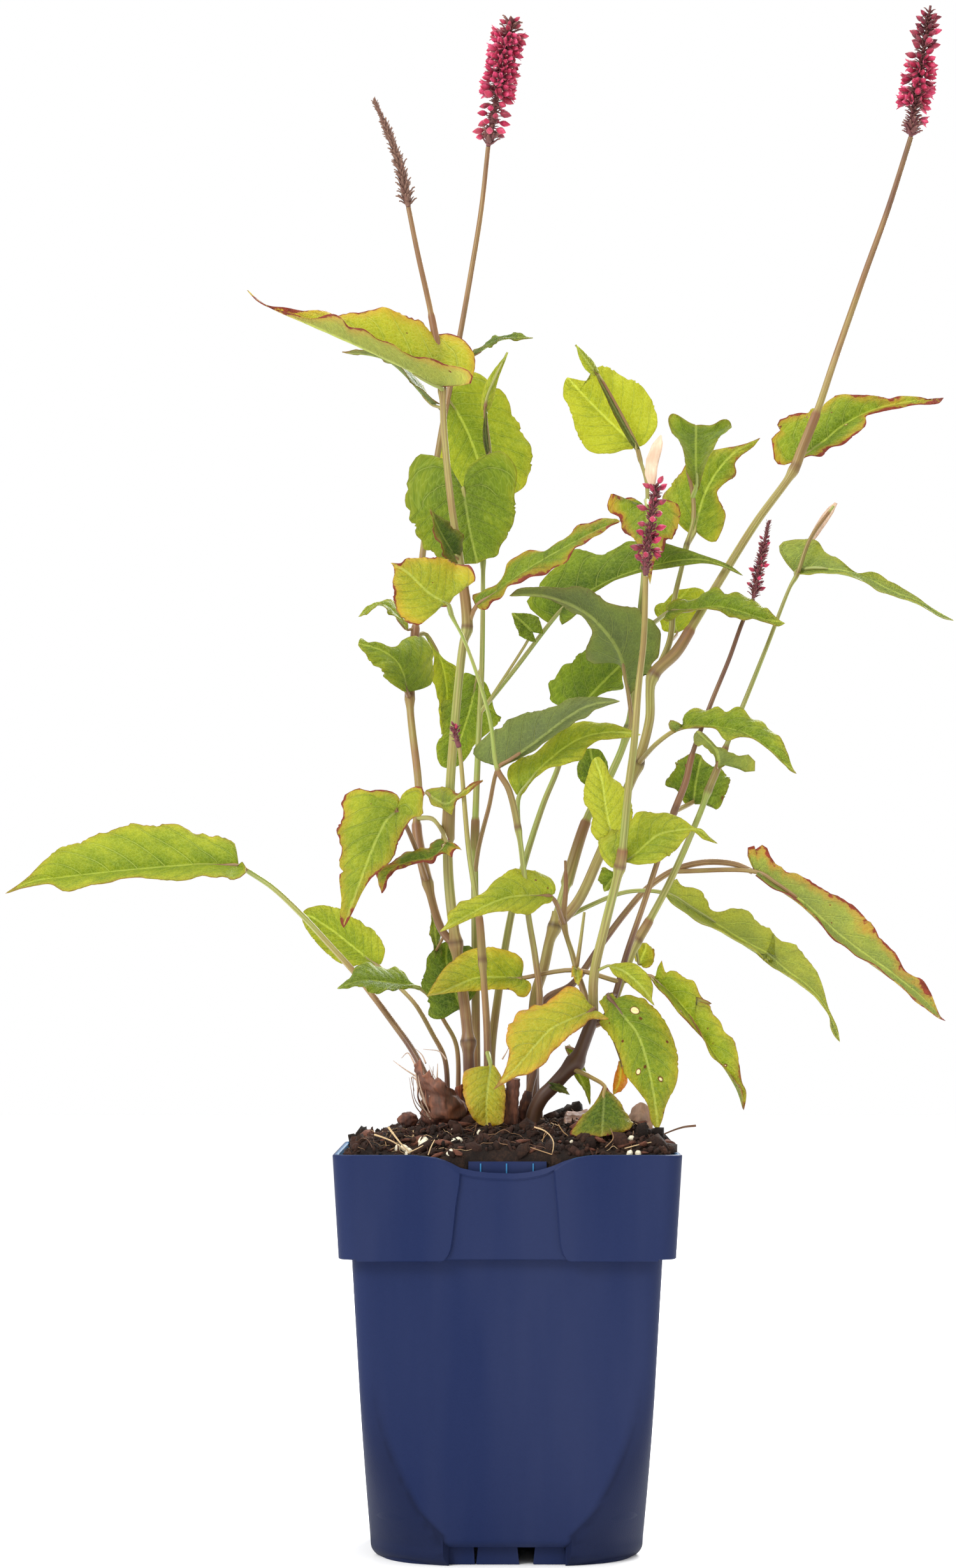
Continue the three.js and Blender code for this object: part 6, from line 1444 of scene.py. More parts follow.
# %% Petal and bract materials
petal_material, tree = material_tree("flower_petal_translucent")
state = three_of(tree, stored(tree, "looks"))
along = stored(tree, "along", "Fac")
kind = stored(tree, "kind", "Fac")
place = object_place(tree)
mottle = cloudy(tree, place, 520.0, 4.0)
deep = plus(tree, state[0], times_plus(tree, mottle, 1.5, -0.75), clamp=True)
tint = ramp(tree, deep, (0.0, "#ea5a8c"), (0.3, "#cf2c60"), (0.65, "#a31b42"), (1.0, "#571425"))
tint = mixed(tree, times_plus(tree, along, -1.6, 0.85, clamp=True), tint, linear("#6e1730"))
tint = mixed(tree, state[1], tint, linear("#c9606c"))
tint = mixed(tree, kind, tint, linear("#f3d7c8"))
grain = relief(tree, mottle, 0.25, 0.3)
face = node(tree, "ShaderNodeBsdfPrincipled", {}, {
    "Base Color": tint, "Roughness": 0.5, "Sheen Weight": 0.25, "Sheen Roughness": 0.4, "Normal": grain,
})
through = node(tree, "ShaderNodeBsdfTranslucent", {}, {"Color": tint})
finished(tree, face, through, 0.35)

bract_material, tree = material_tree("bract_papery_dry")
state = three_of(tree, stored(tree, "looks"))
along = stored(tree, "along", "Fac")
place = object_place(tree)
mottle = cloudy(tree, place, 900.0, 4.0)
maroon = mixed(tree, mottle, linear("#3a1a20"), linear("#7c3a3e"))
brown = mixed(tree, mottle, linear("#40261d"), linear("#7d5a48"))
dry = mixed(tree, state[0], maroon, brown)
dry = mixed(tree, times_plus(tree, along, 1.4, -1.0, clamp=True), dry, linear("#b08a72"))
grain = relief(tree, mottle, 0.4, 0.3)
paper = node(tree, "ShaderNodeBsdfPrincipled", {}, {"Base Color": dry, "Roughness": 0.7, "Normal": grain})
finished(tree, paper)

# %% [markdown]
# The spikes, from the foot to the tip of their central stalk. A band is a stretch of one kind of shape:
# from and to as shares of the spike, the kind, how many, their tilt away from square in degrees, their
# size, and how deep their colour is. Brownness runs from maroon (0) to dry brown (1).

# %% The spikes
SPIKES = {
    "spike_tall": {
        "rib": [(641, 324.8, -10), (628, 262, -8), (608, 205, -6), (588, 160, -4)],
        "girth": (1.5, 0.35), "brown": 1.0,
        "bands": [(0.0, 0.36, "bract", 80, 68, 1.15, 0), (0.3, 0.7, "bract", 90, 72, 1.0, 0),
                  (0.66, 0.98, "bract", 60, 77, 0.74, 0), (0.0, 0.1, "bract", 10, 55, 1.15, 0)],
    },
    "spike_pink": {
        "rib": [(766, 229.8, 50), (778, 160, 50), (790, 95, 50), (803, 34, 50)],
        "girth": (1.5, 0.7), "brown": 0.25,
        "bands": [(0.0, 0.07, "bract", 18, 58, 1.35, 0), (0.05, 0.95, "bract", 190, 34, 0.74, 0),
                  (0.08, 0.46, "bud", 26, -10, 1.05, 0.55), (0.4, 0.9, "star", 40, -6, 1.0, 0.25),
                  (0.5, 0.92, "bud", 22, 5, 0.85, 0.75), (0.88, 1.0, "bud", 5, 32, 0.78, 0.75),
                  (0.9, 1.0, "bract", 12, 50, 1.3, 0)],
    },
    "spike_right": {
        "rib": [(1429, 214.8, 36), (1437, 150, 36), (1449, 80, 36), (1460, 9, 36)],
        "girth": (1.4, 0.6), "brown": 0.15,
        "bands": [(0.0, 0.08, "bract", 16, 60, 1.3, 0), (0.0, 0.36, "bract", 90, 44, 0.9, 0),
                  (0.3, 0.95, "bract", 170, 38, 0.78, 0),
                  (0.14, 0.17, "star", 1, 0, 0.8, 0.05), (0.24, 0.62, "star", 18, -8, 1.0, 0.25),
                  (0.3, 0.8, "bud", 26, 8, 0.95, 0.6), (0.66, 0.92, "bud", 28, 25, 0.78, 0.95)],
    },
    "spike_middle": {
        "rib": [(1013, 902.8, -62), (1016, 860, -62), (1023, 810, -62), (1030, 762, -62)],
        "girth": (1.5, 0.8), "brown": 0.1,
        "bands": [(0.0, 0.98, "bract", 190, 58, 0.66, 0), (0.06, 0.94, "bud", 60, 50, 0.4, 0.95),
                  (0.14, 0.85, "bud", 14, 12, 0.92, 0.55), (0.3, 0.5, "star", 3, -20, 0.75, 0.6),
                  (0.88, 1.0, "bud", 4, 30, 0.8, 0.65)],
    },
    "spike_small": {
        "rib": [(1182, 938.8, -8), (1190, 900, -8), (1198, 860, -8), (1206, 820, -8)],
        "girth": (1.1, 0.5), "brown": 0.1,
        "bands": [(0.0, 0.7, "bract", 150, 56, 0.68, 0), (0.66, 0.99, "bract", 60, 68, 0.5, 0),
                  (0.04, 0.8, "bud", 40, 46, 0.42, 0.85), (0.06, 0.5, "bud", 7, 22, 0.62, 0.55)],
    },
    "spike_bud": {
        "rib": [(720.7, 1172.8, -30), (716, 1158, -30), (714, 1148, -30), (713, 1140, -30)],
        "girth": (1.3, 0.6), "brown": 0.0,
        "bands": [(0.1, 0.9, "bract", 22, 50, 0.6, 0), (0.3, 0.9, "bud", 6, 60, 0.42, 0.8)],
    },
}
GOLDEN_TURN = math.radians(137.5)
STEEP = 65  # degrees of tilt past which bracts lie along the stalk


def girth_at(spike, shares):
    """The radius of the central stalk along a spike."""
    return spike["girth"][0] + (spike["girth"][1] - spike["girth"][0]) * shares


def near_value(value, spread):
    """A chance value around a given one, between 0 and 1."""
    return min(max(value + random.uniform(-spread, spread), 0), 1)


def spike_spots(spike, kind):
    """The places, aims, sizes and colour values of one kind of shape along a spike."""
    route = [seen(place) for place in spike["rib"]]
    spots = []
    for number, (start, end, shape, count, tilt, scale, deep) in enumerate(spike["bands"]):
        if shape != kind:
            continue
        shares = start + (end - start) * (np.arange(count) + 0.5) / count
        places = curve_at(route, shares)
        ways = directions_at(route, shares)
        for i, (place, way) in enumerate(zip(places, ways)):
            way = Vector(way)
            turn = (i + 7 * number) * GOLDEN_TURN + random.uniform(-0.25, 0.25)
            out = Matrix.Rotation(turn, 3, "Z") @ Vector((1, 0, 0))
            out = (out - way * out.dot(way)).normalized()
            lean = math.radians(tilt + random.uniform(-14, 14) * (0.5 if tilt > STEEP else 1))
            axis = (out * math.cos(lean) + way * math.sin(lean)).normalized()
            flat = (out - axis * out.dot(axis)) if tilt > 20 else (axis * way.dot(axis) - way)
            flat = flat.normalized()
            aim = Matrix((flat, axis.cross(flat), axis)).transposed()
            girth = girth_at(spike, shares[i])
            rest = 0.6 * girth if shape == "bract" else girth + 2.0 * scale
            size = scale * random.uniform(0.88, 1.12)
            looks = (near_value(deep, 0.3), 0.3 * random.random(), random.random(), 1)
            if shape == "bract":
                looks = (near_value(spike["brown"], 0.2),) + looks[1:]
            flatness = 0.7 if tilt > STEEP else 1  # scales pressed to the stalk bend out less
            spots.append((Vector(place) + axis * rest, aim, (size * flatness, size, size), looks))
    return spots


random.seed(41)
spike_pieces = {}
for node_name, spike in SPIKES.items():
    shares = np.linspace(0, 1, 40)
    foot = np.minimum(0.7 + 6 * shares, 1)  # the foot is no thicker than the stem below it
    looks = plain_looks(len(shares), spike["brown"])
    rachis = (seen_curve(spike["rib"], shares), girth_at(spike, shares) * foot, looks)
    pieces = [tubes_object(node_name + "_stalk", [rachis], 10, bract_material)]
    for kind, material in (("bract", bract_material), ("bud", petal_material), ("star", petal_material)):
        spots = spike_spots(spike, kind)
        if spots:
            pieces.append(set_object(node_name + "_" + kind + "s", kind, spots, material))
    spike_pieces[node_name] = pieces
    print(node_name, "faces:", sum(len(piece.data.polygons) for piece in pieces))

# %% [markdown]
# The pot is one thin moulding. It is laid out as a grid: columns run round its square outline and rows
# climb the outside, cross the rim and go down inside. The body's corners widen towards the base, the
# collar's front has a recessed panel between two plates, and the rim dips in front of a label pocket.

# %% The pot's sizes
POT_HEIGHT = 178
BASE_HALF = 59.5  # half the width at the base, at the body's top and at the collar's foot
BODY_TOP_HALF = 67
COLLAR_FOOT = 133  # the height where the collar starts
COLLAR_HALF = 72.5
RIM_CORNER = 8  # the corners' radius at the rim and at the body's base
BODY_CORNER = 4
LENS_CORNER = 32  # how far the round corners reach along each side at the base
LENS_TOP = 76  # the height where they end
NOTCH_HEIGHT = 8  # the opening between the corner posts at the base
WALL = 1.8
COLLAR_WALL = 2.9
PANEL_RECESS = 1.3  # how deep the front panel lies behind the plates beside it
PLATE_HANG = 0.7  # how much lower than the panel the plates end
LIP_DROP = 3.2  # how much lower the outer lip is in the rim's dip

# Heights, and the places of the panel's left and right edge at them.
PANEL_EDGES = ([132.4, 133.4, 135, 137.5, 141, 170, 178],
               [-30, -27.2, -25.2, -24.2, -23.5, -20.5, -20.2],
               [28.5, 25.6, 23.9, 23.0, 22.4, 20.3, 20])
# Places along the front, and how far the rim dips at them.
RIM_DIP = ([-40, -35.7, -30, -26.5, -23, -20.2, -14, -7.7, 2.6, 8, 12.9, 18, 21, 23.5, 28, 31.7, 36],
           [0, 0.5, 1.2, 2.2, 3.8, 5.2, 6.6, 7.3, 7.6, 7.2, 6.3, 4.9, 3.9, 2.8, 1.4, 0.7, 0])


def body_half(z):
    """Half the body's width at a height."""
    return BASE_HALF + (BODY_TOP_HALF - BASE_HALF) * z / COLLAR_FOOT - 2.4 * max(1 - z / 5, 0) ** 2


def collar_half(z):
    """Half the collar's width at a height."""
    return COLLAR_HALF + (RIM_HALF - COLLAR_HALF) * (z - COLLAR_FOOT) / (POT_HEIGHT - COLLAR_FOOT)


def body_corner(z):
    """How far the body's corners reach along its sides at a height."""
    share = max(1 - max(z - NOTCH_HEIGHT, 0) / (LENS_TOP - NOTCH_HEIGHT), 0)
    wide = (LENS_CORNER - BODY_CORNER) * share**1.67
    return BODY_CORNER + wide + (RIM_CORNER - BODY_CORNER) * z / COLLAR_FOOT


def corner_points(half, corner, kink, count=12):
    """A corner of the outline from the +X side to the +Y side. A kink creases both its ends."""
    middle = half - corner
    swing = math.pi / 4 - kink
    radius = corner / math.sqrt(2) / math.sin(swing)
    centre = middle + corner / 2 - radius * math.cos(swing) / math.sqrt(2)
    return [(centre + radius * math.cos(math.pi / 4 + a), centre + radius * math.sin(math.pi / 4 + a))
            for a in np.linspace(-swing, swing, count)]


# %% [markdown]
# A row is one turn round the outline at one level. Each side has its own columns, so that a column runs
# exactly along each edge of the panel and of the notch below.

# %% The rows of the pot
SIDE_STATIONS = 15  # places along each third of a side
NOTCH_TOP = 24  # above this height the rows are level again
LENS_KINK = math.radians(16)  # the crease where a round corner meets the flat sides


def side_places(flat, z, front):
    """Places along one side, doubled at its two ends, and at the panel's edges on the front."""
    if not front:
        inner = list(np.linspace(-flat, flat, 3 * SIDE_STATIONS))
        return [-flat] + inner + [flat], [0.0] * (3 * SIDE_STATIONS + 2)
    if z >= COLLAR_FOOT - 1:
        left, right = (float(np.interp(z, PANEL_EDGES[0], edges)) for edges in PANEL_EDGES[1:])
    else:
        left, right = -0.47 * flat, 0.44 * flat
    outer = list(np.linspace(-flat, left - 0.35, SIDE_STATIONS))
    panel = list(np.linspace(left + 0.35, right - 0.35, SIDE_STATIONS))
    other = list(np.linspace(right + 0.35, flat, SIDE_STATIONS))
    inside = [0.0] * (SIDE_STATIONS + 1) + [1.0] * SIDE_STATIONS + [0.0] * (SIDE_STATIONS + 1)
    return [-flat] + outer + panel + other + [flat], inside


def pot_row(half, corner, z, kink=0.0, notch=False, collar=False, rim=0.0, inside=0.0):
    """One row. Rim is 1 where it follows the dip, and inside is 1 on the inner side of the wall."""
    points = []
    for quarter in range(4):
        front = quarter == 0
        places, panel = side_places(half - corner, z, front)
        row = []
        for i, (place, recess) in enumerate(zip(places, panel)):
            height, depth = z, half
            if notch and 0 < i < len(places) - 1:
                height = NOTCH_HEIGHT + (NOTCH_TOP - NOTCH_HEIGHT) * z / NOTCH_TOP
            if front and collar:
                depth -= PANEL_RECESS * recess * (1 - inside)
                height -= PLATE_HANG * (1 - recess) * (z < COLLAR_FOOT + 1.5)
            if front and rim:
                dip = float(np.interp(place, *RIM_DIP))
                height -= rim * (dip + LIP_DROP * (1 - inside) * min(dip / 5, 1) ** 2)
            row.append((place, -depth, height))
        row += [(x, -y, z) for x, y in reversed(corner_points(half, corner, kink))]
        turn = quarter * math.pi / 2
        points += [(x * math.cos(turn) - y * math.sin(turn), x * math.sin(turn) + y * math.cos(turn), h)
                   for x, y, h in row]
    return points


def pot_rows():
    """All rows from the middle of the underside, up the outside and down the inside."""
    under = NOTCH_HEIGHT + 0.3
    rows = [pot_row(body_half(0) - WALL - 4, LENS_CORNER - 6, under),
            pot_row(body_half(0) - WALL, LENS_CORNER - 2, under),
            pot_row(body_half(0) - WALL, LENS_CORNER - 2, 0, notch=True)]
    heights = [0, 0.5, 1.2, 2.2, 3.5, 5, 6.5, 8, 10, 12.5, 15, 18, 21, NOTCH_TOP]
    heights += list(np.linspace(28, LENS_TOP, 16)) + list(np.linspace(82, COLLAR_FOOT, 10))
    for z in heights:
        kink = LENS_KINK * min(max((LENS_TOP - z) / 50, 0), 1)
        rows.append(pot_row(body_half(z), body_corner(z), z, kink=kink, notch=z < NOTCH_TOP))
    foot = COLLAR_FOOT
    rows.append(pot_row(COLLAR_HALF - 0.5, RIM_CORNER, foot, collar=True))
    for rise in (0.15, 0.5, 1.0, 2, 3.5, 5, 7, 10, 16):
        grow = 0.5 * max(1 - rise / 0.5, 0) ** 2
        rows.append(pot_row(collar_half(foot + rise) - grow, RIM_CORNER, foot + rise, collar=True))
    low, high = 156, 177.3  # the dip of the rim grows between these heights
    for z in (low, 162, 167, 171, 174, 176, high):
        rows.append(pot_row(collar_half(z), RIM_CORNER, z, collar=True, rim=(z - low) / (high - low)))
    rows.append(pot_row(RIM_HALF - 0.15, RIM_CORNER, 177.7, collar=True, rim=1))
    # Over the rim and down the inner wall: half width, corner, height, share of the dip, inside.
    for half, corner, z, dip, inside in (
        (RIM_HALF - 0.6, RIM_CORNER, POT_HEIGHT, 1, 0.2),
        (RIM_HALF - 1.8, RIM_CORNER - 1, POT_HEIGHT, 1, 0.9),
        (RIM_HALF - 2.3, RIM_CORNER - 1.5, 177.6, 1, 1),
        (RIM_HALF - COLLAR_WALL, RIM_CORNER - 2, 168, 0.6, 1),
        (COLLAR_HALF - COLLAR_WALL, RIM_CORNER - 2, foot + 6, 0, 1),
        (BODY_TOP_HALF - WALL, RIM_CORNER - 2, foot + 2, 0, 1),
        (body_half(20) - WALL, body_corner(20) - 1, 20, 0, 1),
        (body_half(12) - WALL - 3, body_corner(12) - 1, NOTCH_HEIGHT + 3, 0, 1),
    ):
        rows.append(pot_row(half, corner, z, rim=dip, inside=inside))
    return rows


def sharpened(piece, degrees=32):
    """Smooth shading, with the edges kept crisp where two faces meet at more than an angle."""
    build = bmesh.new()
    build.from_mesh(piece.data)
    bmesh.ops.remove_doubles(build, verts=build.verts, dist=1e-6)
    for face in build.faces:
        face.smooth = True
    for edge in build.edges:
        edge.smooth = len(edge.link_faces) != 2 or edge.calc_face_angle() < math.radians(degrees)
    build.to_mesh(piece.data)
    build.free()


def boxes_mesh(boxes):
    """Vertices and faces of closed blocks, each given by two corners and a narrowing of its top."""
    vertices, faces = [], []
    quads = [(3, 2, 1, 0), (4, 5, 6, 7), (0, 1, 5, 4), (1, 2, 6, 5), (2, 3, 7, 6), (3, 0, 4, 7)]
    for (x0, y0, z0), (x1, y1, z1), narrow in boxes:
        start = len(vertices)
        vertices += [(x0, y0, z0), (x1, y0, z0), (x1, y1, z0), (x0, y1, z0)]
        x0, x1 = x0 + narrow, x1 - narrow
        vertices += [(x0, y0, z1), (x1, y0, z1), (x1, y1, z1), (x0, y1, z1)]
        faces += [tuple(start + i for i in quad) for quad in quads]
    return vertices, faces

# %% [markdown]
# The pot's plastic is a matte polypropylene with a fine moulded grain. Its blue is dark, with purplish
# clouds drawn out along the wall, painted shade along each crease of the round corners and a painted
# highlight on the lip, as if lit from behind, and on the pocket's ribs.

# %% Pot material
pot_material, tree = material_tree("polypropylene_blue_matte")
place = object_place(tree)
axes = node(tree, "ShaderNodeSeparateXYZ", {}, {0: place})
grain = cloudy(tree, place, 1500.0)
flow = rising(tree, cloudy(tree, drawn(tree, place, 0.12), 38.0, 3.0), 0.35, 0.65)
blue = mixed(tree, flow, linear("#101d41"), linear("#1d2646"))
blue = mixed(tree, times(tree, grain, 0.25), blue, linear("#222e57"))
# Painted shade along the creases of the round corners.
blue = mixed(tree, stored(tree, "crease", "Fac"), blue, linear("#050b22"))
# Painted highlight on the lip and on the pocket's ribs.
blue = mixed(tree, stored(tree, "rim", "Fac"), blue, linear("#3a86b8"))
from_seam = size_of(tree, plus(tree, axes.outputs[2], -NOTCH_TOP * MM))
seam = arithmetic("LESS_THAN")(tree, from_seam, 0.2 * MM)
skin = relief(tree, times_plus(tree, seam, -2.0, grain), 0.25, 0.3)
plastic = node(tree, "ShaderNodeBsdfPrincipled", {}, {
    "Base Color": blue, "Roughness": 0.55, "IOR": 1.49, "Specular IOR Level": 0.12, "Normal": skin,
})
finished(tree, plastic)

# %% The pot
rows = pot_rows()
width = len(rows[0])
vertices = [point for row in rows for point in row]
faces = [
    (low + k, low + (k + 1) % width, low + width + (k + 1) % width, low + width + k)
    for low in range(0, width * (len(rows) - 1), width)
    for k in range(width)
]
faces += [tuple(reversed(range(width))), tuple(range(width * (len(rows) - 1), width * len(rows)))]
# Painted highlight on the lip: the two rows over its top are lighter where they are above its dip.
highlight_rows = range(len(rows) - 7, len(rows) - 5)  # the two rows that turn over the lip's top
HIGHLIGHT_LEVEL = 176.5  # the lip is lighter above this height, so not in its dip
painted_highlight_values = [0.45 * (point[2] > HIGHLIGHT_LEVEL) * (i // width in highlight_rows)
              for i, point in enumerate(vertices)]
# Painted shade: each crease where a round corner meets the flat sides is darkened, and the round corner
# a little less, fading out towards the top of the round corners.
quarter_columns = width // 4
corner_start = quarter_columns - 13  # the last column of the side, before the 12 of the corner
CREASE_SHADE = {0: 1.0, 1: 1.0, 2: 0.35, corner_start - 2: 0.35, corner_start - 1: 1.0, corner_start: 1.0}
painted_crease_shade = []
for i, point in enumerate(vertices):
    column = (i % width) % quarter_columns
    share = CREASE_SHADE.get(column, 0.7 if column > corner_start else 0.0)
    painted_crease_shade.append(0.62 * share * min(max((LENS_TOP + 8 - point[2]) / 40, 0), 1))
# Ribs stand under the base along each side, and a pad stands in its middle: left, right, narrowing.
FOOT_Y = BASE_HALF - 5.5
FOOT_TOP = 8.6
feet = [((left, -FOOT_Y, 0.2), (right, -FOOT_Y + 4, FOOT_TOP), narrow)
        for left, right, narrow in ((-25.6, -14, 0.5), (-13.4, 5.2, 0.9), (11.3, 25.6, 0.9))]
feet.append(((-12, -12, 0), (12, 12, FOOT_TOP), 0.5))
for quarter in range(4):
    block_vertices, block_faces = boxes_mesh(feet[: 3 if quarter else 4])
    turn = Matrix.Rotation(quarter * math.pi / 2, 3, "Z")
    faces += [tuple(len(vertices) + i for i in face) for face in block_faces]
    vertices += [tuple(turn @ Vector(point)) for point in block_vertices]
# The label pocket is a plate behind the rim's dip, with three ribs and two posts, and the ribs get a painted
# highlight.
POCKET_Y = -RIM_HALF + COLLAR_WALL + 2.0
pocket = [((-17.3, POCKET_Y, 152), (17.3, POCKET_Y + 1.4, 175), 0.6)]
pocket += [((x - 0.3, POCKET_Y - 0.5, 153), (x + 0.3, POCKET_Y, 174.2), 0) for x in (-11.5, -0.4, 11.0)]
pocket += [((x - 0.6, POCKET_Y - 1.2, 152), (x + 0.6, POCKET_Y + 0.4, 168), 0) for x in (-16.7, 16.7)]
block_vertices, block_faces = boxes_mesh(pocket)
painted_highlight_values += [0.0] * (len(vertices) - len(painted_highlight_values))
# Painted highlight on the pocket's three ribs.
for light in (0.0, 0.55, 0.55, 0.55, 0.0, 0.0):
    painted_highlight_values += [light] * 8
faces += [tuple(len(vertices) + i for i in face) for face in block_faces]
vertices += block_vertices
painted_crease_shade += [0.0] * (len(vertices) - len(painted_crease_shade))
pot = mesh_object("pot_shell", np.array(vertices, float), faces, pot_material)
set_values(pot.data, "rim", painted_highlight_values, "FLOAT")
set_values(pot.data, "crease", painted_crease_shade, "FLOAT")
sharpened(pot)
print("pot faces:", len(pot.data.polygons))

# %% [markdown]
# Potting soil is dark peat with crumbs, chips of bark, grains of cream perlite and loose fibres. The soil
# itself is one closed lumpy body. Thousands of small pieces lie on it, set there by the same tree as the
# florets, and the fibres are thin tubes that arch over the surface.

# %% Soil and bark materials
soil_material, tree = material_tree("potting_soil_peat")
state = three_of(tree, stored(tree, "looks"))
place = object_place(tree)
coarse = cloudy(tree, place, 160.0, 5.0)
fine = cloudy(tree, place, 900.0, 5.0)
crumbling = times_plus(tree, coarse, 0.6, times(tree, fine, 0.4))
peat = ramp(tree, crumbling, (0.3, "#0c0705"), (0.5, "#1d120c"), (0.68, "#372418"), (0.85, "#553a28"))
bark = mixed(tree, fine, linear("#3c211a"), linear("#8a5744"))
white = mixed(tree, fine, linear("#c9bd98"), linear("#f6efdc"))
matter = mixed(tree, state[0], peat, bark)
matter = mixed(tree, state[1], matter, white)
matter = mixed(tree, times(tree, state[2], 0.55), matter, linear("#0e0907"))
rough_face = relief(tree, fine, 0.8, 0.8)
crust = node(tree, "ShaderNodeBsdfPrincipled", {}, {
    "Base Color": matter, "Roughness": 0.92, "Specular IOR Level": 0.25, "Normal": rough_face,
})
finished(tree, crust)

# %% The body of the soil
SOIL_HALF = 71  # half the soil's width at its surface
SOIL_FOOT = 12  # the height of its floor
SOIL_GRID = 96
HEAP = 5.0  # how much higher the soil is heaped at the right
HEAP_WIDTH = 26
POCKET_HALF = 18.5  # the label pocket keeps the soil back here
POCKET_BACK = -68.2


def lumps(x, y):
    """Lumps of the surface in mm over a place."""
    place = Vector((x, y, 3.0))
    coarse = noise.fractal(place / 14, 1.0, 2.0, 3) * 2.1
    heap = HEAP * math.exp(-(((x - 42) / HEAP_WIDTH) ** 2) - ((y - 4) / HEAP_WIDTH) ** 2)
    heap *= max(abs(x), abs(y)) < 70  # not beside the wall
    return coarse + noise.fractal(place / 3.3, 1.0, 2.0, 2) * 1.1 + heap


def soil_top(x, y):
    """The height of the lumpy surface."""
    return float(soil_height(x, y)) + lumps(x, y) - 0.4


def on_soil(column, row, drop=0.0):
    """The place on the soil that is seen at a column and a row of the view."""
    places = [seen((column, row, depth)) for depth in np.arange(-69, 69, 1.0)]
    above = [place[2] - float(soil_height(place[0], place[1])) for place in places]
    nearest = int(np.argmin(np.abs(above)))
    first = next((i for i, height in enumerate(above) if abs(height) < 0.8), nearest)
    x, y, _ = np.clip(places[first], 1 - SOIL_HALF, SOIL_HALF - 1)
    return Vector((x, y, soil_top(x, y) - drop))


grid = np.linspace(-1, 1, SOIL_GRID)
top = []
for v in grid:
    for u in grid:
        pull = 1 - 0.03 * (abs(u * v) ** 6)
        x, y = SOIL_HALF * u * pull, SOIL_HALF * v * pull
        dip = 12 if abs(x) < POCKET_HALF and y < POCKET_BACK else 0
        top.append((x, y, soil_top(x, y) - dip))
quads, border = grid_faces(SOIL_GRID, SOIL_GRID)
faces = quads.tolist()
count = len(top)
low = []
# The sides step in below the collar and narrow to the floor, so they stay inside the pot.
for share, height, corner in ((0.97, 160, 3), (0.9, 139, 5), (0.86, 80, 9), (0.78, SOIL_FOOT, 18)):
    for i in border:
        x, y = top[i][0] * share, top[i][1] * share
        limit = SOIL_HALF * share * 2 - corner
        over = max(abs(x) + abs(y) - limit, 0) / 2
        low.append((x - math.copysign(over, x), y - math.copysign(over, y), height))
around = len(border)
for level in range(4):
    for k in range(around):
        upper, following = count + (level - 1) * around, (k + 1) % around
        ends = (int(border[following]), int(border[k])) if level == 0 else (upper + following, upper + k)
        faces.append(ends + (count + level * around + k, count + level * around + following))
faces.append(tuple(count + 3 * around + k for k in reversed(range(around))))
soil = mesh_object("soil_body", np.array(top + low, float), faces, soil_material)
set_values(soil.data, "looks", np.tile((0.0, 0.0, 0.25, 1.0), (len(soil.data.vertices), 1)))

# %% [markdown]
# Crumbs, chips and grains are rough lumps of a few faces, turned and sized one by one.


# %% Crumbs, bark and perlite
def rough_lump(name, stretch, jitter, seed):
    """A closed lump with uneven faces, about one mm in radius."""
    build = bmesh.new()
    bmesh.ops.create_icosphere(build, subdivisions=2 if jitter < 0.2 else 1, radius=1.0)
    chance = random.Random(seed)
    vertices = [vertex.co * (1 + chance.uniform(-jitter, jitter)) for vertex in build.verts]
    vertices = [Vector((v.x * stretch[0], v.y * stretch[1], v.z * stretch[2])) for v in vertices]
    faces = [tuple(vertex.index for vertex in face.verts) for face in build.faces]
    build.free()
    return shape_object(name, [(0, (vertices, faces, [0.0] * len(vertices)))])


shapes["crumb"] = rough_lump("crumb_shape", (1, 0.85, 0.7), 0.35, 5)
shapes["chip"] = rough_lump("chip_shape", (1.5, 0.9, 0.42), 0.3, 8)
shapes["grain"] = rough_lump("grain_shape", (1, 0.9, 0.8), 0.16, 13)
shapes["flake"] = rough_lump("flake_shape", (1.7, 0.4, 0.28), 0.3, 21)


def any_turn(flat=False):
    """A chance aim, or one that lies nearly flat."""
    lean = 0.45 if flat else math.pi
    angles = (random.uniform(-lean, lean), random.uniform(-lean, lean), random.uniform(0, 6.3))
    return Euler(angles).to_matrix()


def strewn(count, sizes, looks, sunk, flat=False, reach=SOIL_HALF - 1.5):
    """Spots all over the soil. Looks gives the lowest and highest of three colour values."""
    spots = []
    while len(spots) < count:
        x, y = random.uniform(-reach, reach), random.uniform(-reach, reach)
        if abs(x) < POCKET_HALF and y < POCKET_BACK + 1:
            continue
        size = sizes[0] + (sizes[1] - sizes[0]) * random.random() ** 2.2
        tint = tuple(random.uniform(a, b) for a, b in looks) + (1,)
        place = Vector((x, y, soil_top(x, y) + size * (0.5 - sunk)))
        turn = any_turn(flat)
        sizes_xyz = (size, size * random.uniform(0.7, 1.2), size * random.uniform(0.6, 1.1))
        spots.append((place, turn, sizes_xyz, tint))
    return spots


random.seed(7)
# The lowest and highest share of bark, of white and of shade in the colour of each kind.
PEAT = ((0.0, 0.25), (0, 0), (0, 1))
BARK = ((0.6, 1.0), (0, 0), (0, 0.45))
PERLITE = ((0, 0), (0.9, 1.0), (0, 0.06))
crumbs = strewn(4600, (0.4, 2.2), PEAT, 0.3)
flakes = strewn(900, (0.6, 2.6), ((0.0, 0.35), (0, 0), (0, 0.9)), 0.2)
chips = strewn(110, (1.3, 4.2), BARK, 0.25, flat=True)
clods = strewn(120, (2.2, 5.2), PEAT, 0.35)
grains = strewn(46, (0.7, 1.7), PERLITE, 0.25)
